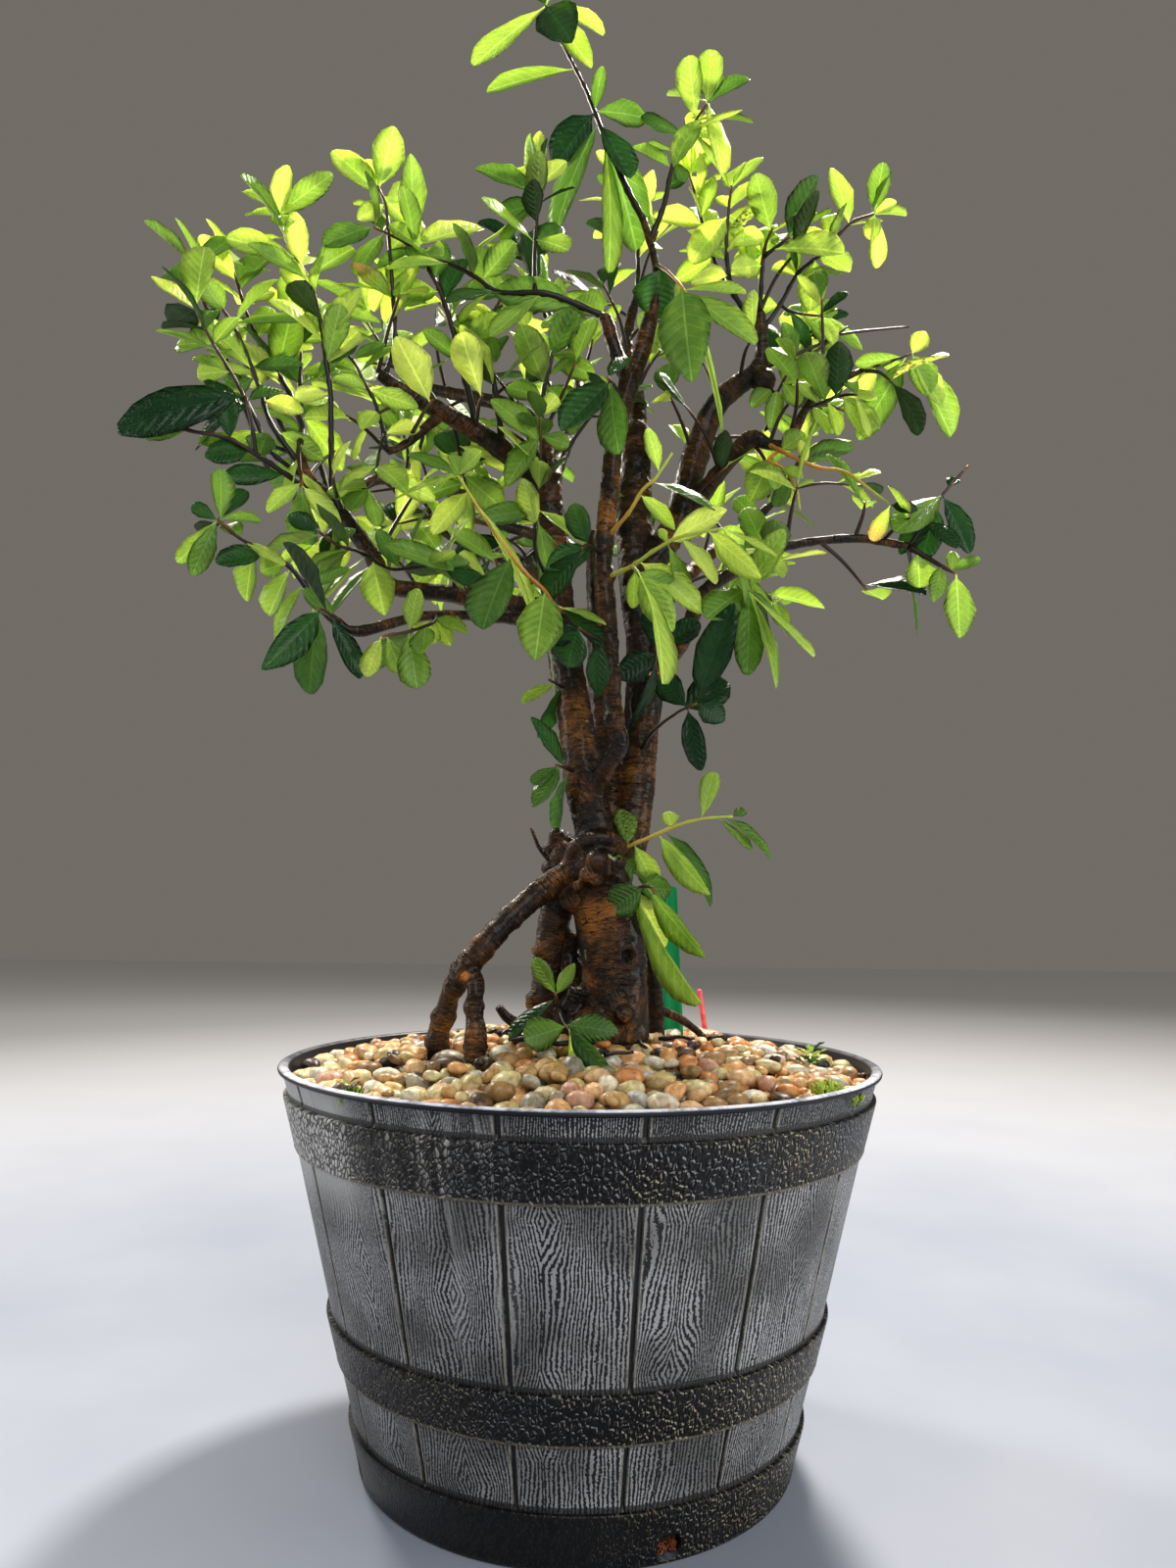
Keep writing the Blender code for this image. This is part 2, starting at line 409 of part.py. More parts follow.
    "left_behind": Shoot(1.3, [
        [(-190, 100, 675), (-201, 112, 662), (-214, 120, 652), (-226, 126, 645)],
    ], [
        (0, 0.6, 285, 33, 16), (0, 1.0, 235, 30, 16), (0, 0.4, 320, 37, 15),
    ], 3),
    "yellow_leaf": Shoot(1.3, [
        [(-130, 114, 662), (-146, 124, 660), (-162, 132, 661), (-177, 138, 667)],
    ], [
        (0, 0.9, 275, 17, 13), (0, 0.55, 110, 30, 18), (0, 0.25, 305, 29, 18),
    ], 3),
    "left_rear": Shoot(1.8, [
        [(-141, 81, 770), (-156, 90, 787), (-172, 96, 807), (-186, 100, 830)],
    ], [
        (0, 0.8, 190, 33, 21), (0, 1.0, 130, 27, 20), (0, 0.5, 215, 30, 19), (0, 0.6, 55, 27, 18),
    ], 3),
    "front_olive": Shoot(1.3, [
        [(21, -74, 682), (16, -86, 681), (12, -94, 681)],
    ], [
        (0, 0.85, 235, 48, 20), (0, 0.8, 270, 50, 16), (0, 1.0, 60, 26, 10),
    ], 0),
    "mid_olive": Shoot(1.3, [
        [(5, -76, 575), (1, -88, 573), (-3, -98, 567)],
    ], [
        (0, 0.45, 210, 31, 16), (0, 0.9, 230, 35, 18), (0, 0.65, 115, 25, 14),
    ], 0),
    "mid_dark": Shoot(1.3, [
        [(9, -74, 514), (2, -86, 516), (-4, -94, 518)],
    ], [
        (0, 1.0, 250, 22, 22), (0, 0.35, 270, 32, 14), (0, 0.95, 195, 20, 12),
    ], 0),
    "stub_sprout": Shoot(1.3, [
        [(47, -16, 511), (47, -30, 514), (47, -44, 518)],
    ], [
        (0, 0.8, 215, 29, 18), (0, 0.55, 265, 72, 19), (0, 1.0, 30, 30, 14), (0, 1.0, 105, 22, 12),
    ], 0),
    "right_cluster": Shoot(1.3, [
        [(39, -18, 454), (45, -40, 462), (59, -62, 471), (71, -76, 475)],
    ], [
        (0, 1.0, 75, 48, 19), (0, 0.85, 35, 33, 21), (0, 1.0, 325, 18, 15), (0, 0.9, 280, 37, 12),
        (0, 0.9, 130, 25, 16),
    ], 0),
    "burl_sprout": Shoot(1.4, [
        [(27, -36, 381), (34, -46, 386), (42, -54, 391), (53, -60, 396), (64, -64, 400), (78, -68, 403),
         (94, -70, 404)],
    ], [
        (0, 0.05, 80, 23, 13), (0, 0.1, 75, 26, 9), (0, 0.15, 320, 38, 10), (0, 0.3, 300, 28, 14),
        (0, 0.5, 305, 44, 11), (0, 0.55, 310, 52, 10), (0, 0.6, 105, 10, 10), (0, 0.8, 75, 31, 11),
        (0, 0.95, 325, 36, 7), (0, 0.9, 320, 27, 6), (0, 1.0, 30, 10, 6),
    ], 0),
    "trunk_sprout": Shoot(1.3, [
        [(38, -38, 358), (39, -50, 361), (41, -60, 360), (45, -66, 355)],
    ], [
        (0, 0.2, 220, 23, 19), (0, 0.2, 110, 21, 10), (0, 0.65, 0, 20, 15), (0, 0.6, 300, 40, 16),
        (0, 0.85, 305, 48, 11), (0, 0.55, 295, 69, 9),
    ], 0),
    "root_sprout": Shoot(1.3, [
        [(-13, -48, 276), (-14, -62, 286), (-16, -70, 294)],
        [(-13, -56, 280), (-10, -78, 276), (-7, -90, 274)],
    ], [
        (0, 0.95, 120, 23, 10), (0, 0.95, 60, 20, 8), (0, 0.9, 220, 35, 8), (1, 0.8, 195, 23, 18),
        (1, 0.7, 355, 29, 15), (1, 0.9, 315, 31, 11), (1, 1.0, 280, 33, 11),
    ], 0),
    "small_left": Shoot(1.3, [
        [(-24, -26, 492), (-27, -36, 493), (-24, -44, 496)],
    ], [
        (0, 0.7, 220, 25, 8), (0, 0.45, 250, 34, 9), (0, 0.4, 275, 22, 9),
    ], 0),
    "small_low": Shoot(1.3, [
        [(-10, -38, 434), (-14, -48, 436), (-18, -54, 438)],
    ], [
        (0, 0.7, 120, 32, 9), (0, 0.85, 240, 30, 11), (0, 0.55, 255, 41, 9), (0, 0.9, 220, 20, 9),
    ], 0),
    "back_top": Shoot(2.2, [
        [(-27, 122, 823), (-34, 126, 843), (-48, 130, 881), (-57, 132, 918)],
    ], [

    ], 9),
    "back_crown": Shoot(2.4, [
        [(40, 98, 857), (41, 104, 884), (38, 110, 927), (31, 114, 962)],
    ], [

    ], 9),
    "back_right": Shoot(2.2, [
        [(172, 148, 709), (184, 154, 735), (196, 158, 764), (203, 160, 792)],
    ], [

    ], 9),
    "back_left": Shoot(2.2, [
        [(-145, 152, 702), (-155, 156, 732), (-167, 160, 760), (-175, 162, 793)],
    ], [

    ], 9),
    "back_low": Shoot(1.8, [
        [(109, 102, 640), (127, 118, 626), (145, 128, 613), (158, 134, 602)],
    ], [

    ], 8),
    "rear_right_up": Shoot(1.8, [
        [(137, 24, 744), (154, 60, 783), (171, 84, 809), (191, 100, 831)],
    ], [

    ], 8),
}


def material(name, colour, roughness, metallic=0.0):
    """A plain Principled material."""
    finish = bpy.data.materials.new(name)
    finish.use_nodes = True
    shader = finish.node_tree.nodes["Principled BSDF"]
    shader.inputs["Base Color"].default_value = (*colour, 1.0)
    shader.inputs["Roughness"].default_value = roughness
    shader.inputs["Metallic"].default_value = metallic
    return finish


def add_object(name, mesh, collection):
    """Link a mesh as an object of the collection."""
    thing = bpy.data.objects.new(name, mesh)
    collection.objects.link(thing)
    return thing


def as_cutter(thing):
    """Hide a guide or cutter from the render and draw it as wires."""
    thing.hide_render = True
    thing.display_type = "WIRE"
    return thing


def weld(mesh):
    """Merge doubled points, such as those round a curve's caps."""
    work = bmesh.new()
    work.from_mesh(mesh)
    bmesh.ops.remove_doubles(work, verts=work.verts, dist=WELD)
    work.to_mesh(mesh)
    work.free()


def evaluated_mesh(thing):
    """The object's mesh with its modifiers applied."""
    graph = bpy.context.evaluated_depsgraph_get()
    graph.update()
    return bpy.data.meshes.new_from_object(thing.evaluated_get(graph), depsgraph=graph)


def remove(things):
    """Remove helper objects and their data from the file."""
    for thing in list(things):
        data = thing.data
        bpy.data.objects.remove(thing)
        if data.users == 0 and isinstance(data, bpy.types.Mesh):
            bpy.data.meshes.remove(data)


def tube(name, route, radii, level, collection):
    """A tapered round tube along a route, closed by flat caps, as a mesh object."""
    curve = bpy.data.curves.new(name, "CURVE")
    curve.dimensions = "3D"
    curve.bevel_depth = MM
    curve.bevel_resolution = level
    curve.use_fill_caps = True
    spline = curve.splines.new("POLY")
    spline.points.add(len(route) - 1)
    for point, place, radius in zip(spline.points, route, radii):
        point.co = (*(Vector(place) * MM), 1.0)
        point.radius = radius
    wire = bpy.data.objects.new(name, curve)
    collection.objects.link(wire)
    mesh = evaluated_mesh(wire)
    bpy.data.objects.remove(wire)
    bpy.data.curves.remove(curve)
    weld(mesh)
    return add_object(name, mesh, collection)


def ball(name, middle, radius, detail, collection):
    """A faceted ball."""
    mesh = bpy.data.meshes.new(name)
    work = bmesh.new()
    bmesh.ops.create_icosphere(work, subdivisions=detail, radius=radius * MM,
                               matrix=Matrix.Translation(Vector(middle) * MM))
    work.to_mesh(mesh)
    work.free()
    return add_object(name, mesh, collection)


def block(name, size, middle, turn, collection):
    """A box of the given size, turned about its middle."""
    mesh = bpy.data.meshes.new(name)
    work = bmesh.new()
    bmesh.ops.create_cube(work, size=1.0)
    shape = Matrix.Translation(Vector(middle) * MM) @ turn.to_4x4()
    work.transform(shape @ Matrix.Diagonal((*(Vector(size) * MM), 1.0)))
    work.to_mesh(mesh)
    work.free()
    return add_object(name, mesh, collection)


def turned(name, profile, steps, start, collection):
    """A solid of revolution; its profile of (radius, height) runs top to bottom outside."""
    mesh = bpy.data.meshes.new(name)
    points = [(radius * MM, 0.0, height * MM) for radius, height in profile]
    edges = [(index, index + 1) for index in range(len(points) - 1)]
    mesh.from_pydata(points, edges, [])
    thing = add_object(name, mesh, collection)
    screw = thing.modifiers.new("Turn", "SCREW")
    screw.steps = steps
    screw.render_steps = steps
    screw.use_merge_vertices = True
    screw.merge_threshold = WELD
    solid = evaluated_mesh(thing)
    remove([thing])
    weld(solid)
    solid.transform(Matrix.Rotation(math.radians(start), 4, "Z"))
    return add_object(name, solid, collection)


def boolean(thing, operation, others, solver="EXACT"):
    """Cut or join a mesh object with others through one Boolean on a collection, and apply it."""
    helpers = bpy.data.collections.new(thing.name + " helpers")
    bpy.context.scene.collection.children.link(helpers)
    for other in others:
        helpers.objects.link(other)
    modifier = thing.modifiers.new(operation.title(), "BOOLEAN")
    modifier.operation = operation
    modifier.operand_type = "COLLECTION"
    modifier.collection = helpers
    modifier.solver = solver
    mesh = evaluated_mesh(thing)
    thing.modifiers.remove(modifier)
    old = thing.data
    thing.data = mesh
    bpy.data.meshes.remove(old)
    remove(helpers.objects)
    bpy.data.collections.remove(helpers)


def shells(work):
    """The connected bodies of a bmesh as lists of faces."""
    left = set(work.faces)
    while left:
        stack = [left.pop()]
        shell = []
        while stack:
            face = stack.pop()
            shell.append(face)
            for edge in face.edges:
                for neighbour in edge.link_faces:
                    if neighbour in left:
                        left.remove(neighbour)
                        stack.append(neighbour)
        yield shell


def shell_volume(shell):
    """Six times the signed volume inside a list of faces."""
    total = 0.0
    for face in shell:
        first = face.verts[0].co
        for one, two in zip(face.verts[1:-1], face.verts[2:]):
            total += first.dot(one.co.cross(two.co))
    return total


def keep_one_body(thing):
    """Triangulate, keep the largest body, drop loose scraps and fill sealed hollows."""
    work = bmesh.new()
    work.from_mesh(thing.data)
    bmesh.ops.triangulate(work, faces=work.faces)
    bmesh.ops.dissolve_degenerate(work, dist=SLIVER, edges=work.edges)
    bodies = sorted(shells(work), key=shell_volume)
    spare = [face for body in bodies[:-1] for face in body]
    bmesh.ops.delete(work, geom=spare, context="FACES")
    loose = [vert for vert in work.verts if not vert.link_faces]
    bmesh.ops.delete(work, geom=loose, context="VERTS")
    work.to_mesh(thing.data)
    work.free()


def is_closed(thing):
    """True where every edge of the mesh joins two faces."""
    work = bmesh.new()
    work.from_mesh(thing.data)
    closed = all(edge.is_manifold for edge in work.edges)
    work.free()
    return closed


def fuse(thing, others):
    """Join others to the object in one body, by MANIFOLD where EXACT leaves an open edge."""
    backup = thing.data.copy()
    spares = [add_object("spare", other.data.copy(), other.users_collection[0]) for other in others]
    boolean(thing, "UNION", others)
    keep_one_body(thing)
    if is_closed(thing):
        remove(spares)
        bpy.data.meshes.remove(backup)
        return
    thing.data = backup
    boolean(thing, "UNION", spares, "MANIFOLD")
    keep_one_body(thing)


def shade(thing, degrees):
    """Smooth shading with sharp edges above an angle."""
    thing.data.shade_smooth()
    thing.data.set_sharp_from_angle(angle=math.radians(degrees))


def wall_radius(height):
    """Outer radius of the pot's straight taper at a height."""
    return FOOT_RADIUS + (RIM_RADIUS - FOOT_RADIUS) * height / POT_HEIGHT


def inner_radius(height):
    """Inner radius of the pot at a height."""
    return wall_radius(height) - HOOP_STAND - WALL


def pot_profile():
    """Profile of the pot from the middle of its floor, up inside, over the lip and down outside."""
    profile = [(0.0, FLOOR), (inner_radius(FLOOR), FLOOR)]
    lip_foot = POT_HEIGHT - LIP_HEIGHT
    profile.append((inner_radius(lip_foot), lip_foot))
    profile.append((RIM_RADIUS - LIP_WIDTH, POT_HEIGHT))
    profile.append((RIM_RADIUS, POT_HEIGHT - LIP_BEVEL))
    profile.append((wall_radius(lip_foot) - HOOP_STAND, lip_foot))
    for top, bottom in HOOPS:
        profile.append((wall_radius(top) - HOOP_STAND, top))
        profile.append((wall_radius(top), top - HOOP_BEVEL))
        if bottom > 0.0:
            profile.append((wall_radius(bottom), bottom + HOOP_BEVEL))
            profile.append((wall_radius(bottom) - HOOP_STAND, bottom))
    profile.append((FOOT_RADIUS, 0.0))
    profile.append((0.0, 0.0))
    return profile


def on_stave(height):
    """True at heights where the staves show between the hoops."""
    edge = HOOP_BEVEL / 2
    return not any(bottom - edge < height < top - edge for top, bottom in HOOPS)


def press_seams(mesh):
    """Move the turned columns to the stave seams and press each seam in between the hoops."""
    column_step = 360.0 / (STAVES * 4)
    places = {0: 0.0, 1: SEAM_HALF_ANGLE, 2: 180.0 / STAVES, 3: 360.0 / STAVES - SEAM_HALF_ANGLE}
    for vert in mesh.vertices:
        radius = math.hypot(vert.co.x, vert.co.y)
        if radius < MM:
            continue
        angle = math.degrees(math.atan2(vert.co.x, -vert.co.y)) % 360.0
        column = round(angle / column_step)
        stave, part = divmod(column, 4)
        height = vert.co.z / MM
        outside = radius > (inner_radius(height) + WALL / 2) * MM
        below_lip = height < POT_HEIGHT - LIP_HEIGHT / 2
        if part == 0 and outside and below_lip and on_stave(height):
            radius -= SEAM_DEPTH * MM
        turn = math.radians(FIRST_SEAM + stave * 360.0 / STAVES + places[part])
        vert.co.x = radius * math.sin(turn)
        vert.co.y = -radius * math.cos(turn)


def make_pot(collection):
    """The moulded barrel with its staves, hoops, lip and drain holes."""
    pot = turned("barrel_pot", pot_profile(), STAVES * 4, 0.0, collection)
    press_seams(pot.data)
    drills = []
    for angle in DRAIN_ANGLES:
        turn = math.radians(angle)
        outward = Vector((math.sin(turn), -math.cos(turn), 0.0))
        inside = outward * (FOOT_RADIUS - DRILL_LENGTH / 2) + Vector((0.0, 0.0, DRAIN_HEIGHT))
        outside = inside + outward * DRILL_LENGTH
        drills.append(tube("drill", [inside, outside], [DRAIN_RADIUS] * 2, 3, collection))
    boolean(pot, "DIFFERENCE", drills)
    keep_one_body(pot)
    pot.data.materials.append(material("moulded plastic", (0.03, 0.03, 0.032), 0.5))
    shade(pot, 30)
    return pot


def bed_height(radius, edge, crown):
    """Height of a low round mound at a distance from the pot's axis."""
    return crown - (crown - edge) * (radius / inner_radius(BED_EDGE)) ** 2


def grown(route, extra):
    """A limb's route and radii with the radii grown by a margin."""
    return [point[:3] for point in route], [point[3] + extra for point in route]


def stem_route(name):
    """A grounded limb's route with its straight foot down in the soil."""
    route = LIMBS[name]
    x, y, _, radius = route[0]
    return [(x, y, STEM_FOOT, radius)] + route


def foot_cutters(collection):
    """Cutters for the plain holes that the stems, the label and the stick stand in."""
    cutters = []
    for name in GROUNDED + ["stub_left"]:
        route = stem_route(name) if name in GROUNDED else LIMBS[name]
        places, radii = grown(route[:HOLE_POINTS], STEM_GAP)
        if name in GROUNDED:
            places[0] = (places[0][0], places[0][1], STEM_FOOT - STEM_GAP)
        level = limb_level(max(point[3] for point in LIMBS[name]))
        cutters.append(as_cutter(tube("hole", places, radii, level, collection)))
    slot = Vector(LABEL_SIZE) + Vector((2 * GAP, 2 * GAP, 2 * GAP))
    cutters.append(as_cutter(block("slot", slot, LABEL_MIDDLE, label_turn(), collection)))
    places = [Vector(STICK_ROUTE[0]) - Vector((0, 0, GAP))] + STICK_ROUTE[1:]
    cutters.append(as_cutter(tube("hole", places, [STICK_RADIUS + STEM_GAP] * 3, 2, collection)))
    return cutters


def make_soil(collection, cutters_home):
    """Potting soil that fills the pot under the pebbles."""
    base = FLOOR + GAP
    profile = [(0.0, SOIL_CROWN), (inner_radius(SOIL_EDGE) - GAP, SOIL_EDGE),
               (inner_radius(base) - 2 * GAP, base), (0.0, base)]
    soil = turned("potting_soil", profile, STAVES * 2, FIRST_SEAM, collection)
    boolean(soil, "DIFFERENCE", foot_cutters(cutters_home))
    keep_one_body(soil)
    soil.data.materials.append(material("potting soil", (0.06, 0.04, 0.025), 0.95))


def hexagon_corners(middle, size):
    """The six corners of a hexagon of a given width across its flats."""
    reach = size / math.sqrt(3.0)
    return [middle + Vector((reach * math.cos(math.radians(60 * side + 30)),
                             reach * math.sin(math.radians(60 * side + 30)))) for side in range(6)]


def nudge(place, reach):
    """A seeded sideways shift that is the same for the same place."""
    draw = random.Random(f"{SEED} {round(place.x)} {round(place.y)}")
    return place + Vector((draw.uniform(-reach, reach), draw.uniform(-reach, reach)))


def pebble_relief(collection):
    """A slab whose top is a seeded tiling of round pebbles, larger than life."""
    work = bmesh.new()
    corners = {}

    def corner(place):
        key = (round(place.x), round(place.y))
        if key not in corners:
            spot = nudge(place, PEBBLE_SIZE * PEBBLE_JITTER)
            valley = bed_height(spot.length, BED_EDGE, BED_CROWN) - PEBBLE_VALLEY
            corners[key] = work.verts.new(Vector((*spot, valley)) * MM)
        return corners[key]

    reach = int(RIM_RADIUS / PEBBLE_SIZE) + 2
    row_step = PEBBLE_SIZE * math.sqrt(3.0) / 2
    limit = inner_radius(BED_EDGE) + PEBBLE_SIZE
    for row in range(-reach, reach + 1):
        for column in range(-reach, reach + 1):
            middle = Vector(((column + 0.5 * (row % 2)) * PEBBLE_SIZE, row * row_step))
            if middle.length > limit:
                continue
            rim = [corner(place) for place in hexagon_corners(middle, PEBBLE_SIZE)]
            centre = nudge(middle, PEBBLE_SIZE * PEBBLE_JITTER)
            draw = random.Random(f"{SEED} top {row} {column}")
            crown = bed_height(centre.length, BED_EDGE, BED_CROWN) - draw.uniform(0.0, PEBBLE_UNEVEN)
            ring = []
            for vert in rim:
                flat = centre + (vert.co.xy / MM - centre) * PEBBLE_TOP
                ring.append(work.verts.new(Vector((*flat, crown)) * MM))
            for side in range(6):
                follow = (side + 1) % 6
                work.faces.new((rim[side], rim[follow], ring[follow], ring[side]))
            work.faces.new(ring)
    border = [edge for edge in work.edges if len(edge.link_faces) == 1]
    skirt = bmesh.ops.extrude_edge_only(work, edges=border)["geom"]
    low = [item for item in skirt if isinstance(item, bmesh.types.BMVert)]
    for vert in low:
        vert.co.z = STEM_FOOT * MM
    floor_edges = [edge for edge in work.edges if len(edge.link_faces) == 1]
    bmesh.ops.contextual_create(work, geom=floor_edges)
    bmesh.ops.recalc_face_normals(work, faces=work.faces)
    bmesh.ops.triangulate(work, faces=work.faces)
    mesh = bpy.data.meshes.new("pebble_dressing")
    work.to_mesh(mesh)
    work.free()
    return add_object("pebble_dressing", mesh, collection)


def make_pebbles(collection, cutters_home):
    """The pebble bed: the relief inside the pot's wall, above the soil and round the stems."""
    pebbles = pebble_relief(collection)
    top = 2 * BED_CROWN - BED_EDGE
    reach = inner_radius(SOIL_EDGE) - GAP
    profile = [(0.0, top), (reach, top), (reach, SOIL_EDGE + GAP), (0.0, SOIL_CROWN + GAP)]
    envelope = turned("envelope", profile, STAVES * 2, FIRST_SEAM, cutters_home)
    boolean(pebbles, "INTERSECT", [as_cutter(envelope)])
    boolean(pebbles, "DIFFERENCE", foot_cutters(cutters_home))
    keep_one_body(pebbles)
    pebbles.data.materials.append(material("river pebbles", (0.62, 0.45, 0.3), 0.35))
    return pebbles


def limb_level(radius):
    """Bevel resolution for a limb: ten, eight, six or four sides by its thickness."""
    return sum(radius > limit for limit in SIDE_LIMITS)


def nearest_on_limbs(place):
    """The nearest point on a limb's axis, with the limb's radius there."""
    best = None
    for route in LIMBS.values():
        for start, end in zip(route, route[1:]):
            a = Vector(start[:3])
            b = Vector(end[:3])
            share = max(0.0, min(1.0, (place - a).dot(b - a) / (b - a).length_squared))
            axis = a.lerp(b, share)
            radius = start[3] + (end[3] - start[3]) * share
            distance = (place - axis).length - radius
            if best is None or distance < best[0]:
                best = (distance, axis, radius)
    return best[1:]


def height_above(surface, place):
    """Distance of a place from a surface, negative inside it."""
    spot, normal, _, distance = surface.find_nearest(place)
    return distance if (place - spot).dot(normal) > 0.0 else -distance


def uncrowded(route):
    """A route without the inner points that stand close to the one before or to the last."""
    kept = [route[0]]
    for place in route[1:-1]:
        if min((place - kept[-1]).length, (place - route[-1]).length) > TWIG_STEP:
            kept.append(place)
    return kept + [route[-1]]


def seat_shoots(limbs):
    """How each shoot leaves its limb: the spur's two ends and the routes of the shoot's twigs."""
    bark = surface_tree(limbs)
    seats = {}
    for name, shoot in SHOOTS.items():
        routes = [[Vector(place) for place in twig] for twig in shoot.twigs]
        axis, reach = nearest_on_limbs(routes[0][0])
        beyond = [place for place in routes[0][1:] if (place - axis).length > reach + TWIG_STEP]
        routes[0] = [axis] + (beyond or routes[0][-1:])
        routes = [uncrowded(route) for route in routes]
        heading = (routes[0][1] - axis).normalized()
        while height_above(bark, axis + heading * (reach + GAP)) < shoot.thickness + SPUR_RISE:
            reach += SPUR_STEP
        routes[0][0] = axis + heading * (reach + GAP)
        seats[name] = ((axis, axis + heading * reach), routes)
    return seats


def make_limbs(collection, home):
    """Trunk, burl, roots and limbs fused as one body."""
    pieces = []
    for name, route in LIMBS.items():
        points = stem_route(name) if name in GROUNDED else route
        places, radii = grown(points, 0.0)
        pieces.append(tube("limb", places, radii, limb_level(max(radii)), home))
    for middle, radius in KNOBS:
        pieces.append(ball("knob", middle, radius, 2 if radius > SMALL_KNOB else 1, home))
    trunk = add_object("trunk", pieces[0].data.copy(), collection)
    remove(pieces[:1])
    fuse(trunk, pieces[1:])
    return trunk


def add_spurs(trunk, seats, home):
    """Give the trunk a short spur under each shoot."""
    spurs = []
    for name, (ends, _) in seats.items():
        thickness = SHOOTS[name].thickness + GAP
        spurs.append(tube("spur", ends, [thickness, thickness], 0, home))
    fuse(trunk, spurs)
    trunk.data.materials.append(material("wet bark", (0.11, 0.06, 0.035), 0.45))
    shade(trunk, 40)


def along_route(route, share):
    """The point at a share of a route's length, and the heading there."""
    lengths = [(b - a).length for a, b in zip(route, route[1:])]
    left = share * sum(lengths)
    for (a, b), length in zip(zip(route, route[1:]), lengths):
        if left <= length:
            return a.lerp(b, left / length), (b - a).normalized()
        left -= length
    return route[-1].copy(), (route[-1] - route[-2]).normalized()


def facing(heading, towards):
    """The direction square to a heading that lies nearest to another direction."""
    flat = towards - heading * towards.dot(heading)
    return flat.normalized()


def shown_leaf(name, index, shoot, routes):
    """Place, heading, face, length and width of a leaf that the front view shows."""
    twig, share, bearing, seen_length, seen_width = shoot.leaves[index]
    draw = random.Random(f"{SEED} {name} {index}")
    lean = math.radians(draw.uniform(-MOST_LEAN, MOST_LEAN))
    turn = math.radians(bearing)
    heading = Vector((math.cos(turn) * math.cos(lean), -math.sin(lean),
                      math.sin(turn) * math.cos(lean)))
    length = seen_length / math.cos(lean)
    width = max(seen_width, SLIMMEST * length)
    roll = max(math.acos(min(1.0, seen_width / width)), math.radians(draw.uniform(0.0, SLIGHT_ROLL)))
    front = facing(heading, Vector((0.0, -1.0, 0.0)))
    side = heading.cross(front)
    up_sign = 1.0 if side.z > 0 else -1.0
    if draw.random() < TURNED_OVER:
        up_sign = -up_sign
    face = front * math.cos(roll) + side * math.sin(roll) * up_sign
    place, _ = along_route(routes[twig], share)
    return place, heading, face, length, width


def filling_leaf(name, index, shoot, routes):
    """A leaf set by the plant's own order: in a spiral round the shoot, closer at its tip."""
    draw = random.Random(f"{SEED} {name} more {index}")
    place, along = along_route(routes[0], 1.0 - LEAFY_SHARE * (index + 0.5) / shoot.more)
    spin = math.radians(GOLDEN_ANGLE * index + draw.uniform(-20.0, 20.0))
    across = facing(along, Vector((0.0, 1.0, 0.1)))
    out = Matrix.Rotation(spin, 3, along) @ across
    open_angle = math.radians(draw.uniform(40.0, 75.0))
    heading = (along * math.cos(open_angle) + out * math.sin(open_angle)).normalized()
    face = facing(heading, Vector((0.0, 0.0, 1.0)) + out * 0.3)
    face = Matrix.Rotation(math.radians(draw.uniform(-30.0, 30.0)), 3, heading) @ face
    length = draw.uniform(*FILLING_LENGTHS)
    return place, heading, face, length, length * draw.uniform(*FILLING_WIDTHS)


def blade_points(place, heading, face, length, width, curl, fold):
    """Six points round a blade: foot, two on one side, tip and two on the other side."""
    side = face.cross(heading)
    points = []
    for share, across in BLADE_OUTLINE:
        lift = -curl * length * share ** 2 + fold * abs(across) * width
        points.append(place + heading * (length * share) + side * (across * width) + face * lift)
    return points


def blade_mesh(points, face, thickness):
    """Vertices and triangles of a thin blade, split alike on both of its faces."""
    half = face * (thickness / 2)
    verts = [point + half for point in points] + [point - half for point in points]
    count = len(points)
    faces = [triangle[::-1] for triangle in BLADE_FACES]
    faces += [tuple(index + count for index in triangle) for triangle in BLADE_FACES]
    for one in range(count):
        two = (one + 1) % count
        faces += [(one, one + count, two + count), (one, two + count, two)]
    return verts, faces


def leaf_shape(draw_name, leaf, margin=0.0):
    """Vertices and triangles of one leaf, grown by a margin where it is tried for room."""
    place, heading, face, length, width = leaf
    draw = random.Random(f"{SEED} shape {draw_name}")
    curl = draw.uniform(*CURLS)
    fold = draw.uniform(*FOLDS)
    points = blade_points(place, heading, face, length + margin, width + 2 * margin, curl, fold)
    return blade_mesh(points, face, BLADE + 2 * margin)


def outer_part(leaf):
    """A leaf without its foot, which may cross the feet of its neighbours on the twig."""
    place, heading, face, length, width = leaf
    foot = length * FOOT_SHARE
    return place + heading * foot, heading, face, length - foot, width


def leaf_tree(draw_name, leaf):
    """A search tree of a leaf that is grown by the clearance it needs."""
    return BVHTree.FromPolygons(*leaf_shape(draw_name, leaf, LEAF_CLEARANCE))


def leaf_object(draw_name, leaf, home):
    """A leaf as a mesh object."""
    verts, faces = leaf_shape(draw_name, leaf)
    mesh = bpy.data.meshes.new(draw_name)
    mesh.from_pydata([vert * MM for vert in verts], [], faces)
    return add_object(draw_name, mesh, home)


def surface_tree(thing):
    """A search tree of an object's faces, in millimetres."""
    mesh = thing.data
    verts = [vert.co / MM for vert in mesh.vertices]
    faces = [tuple(polygon.vertices) for polygon in mesh.polygons]
    return BVHTree.FromPolygons(verts, faces)


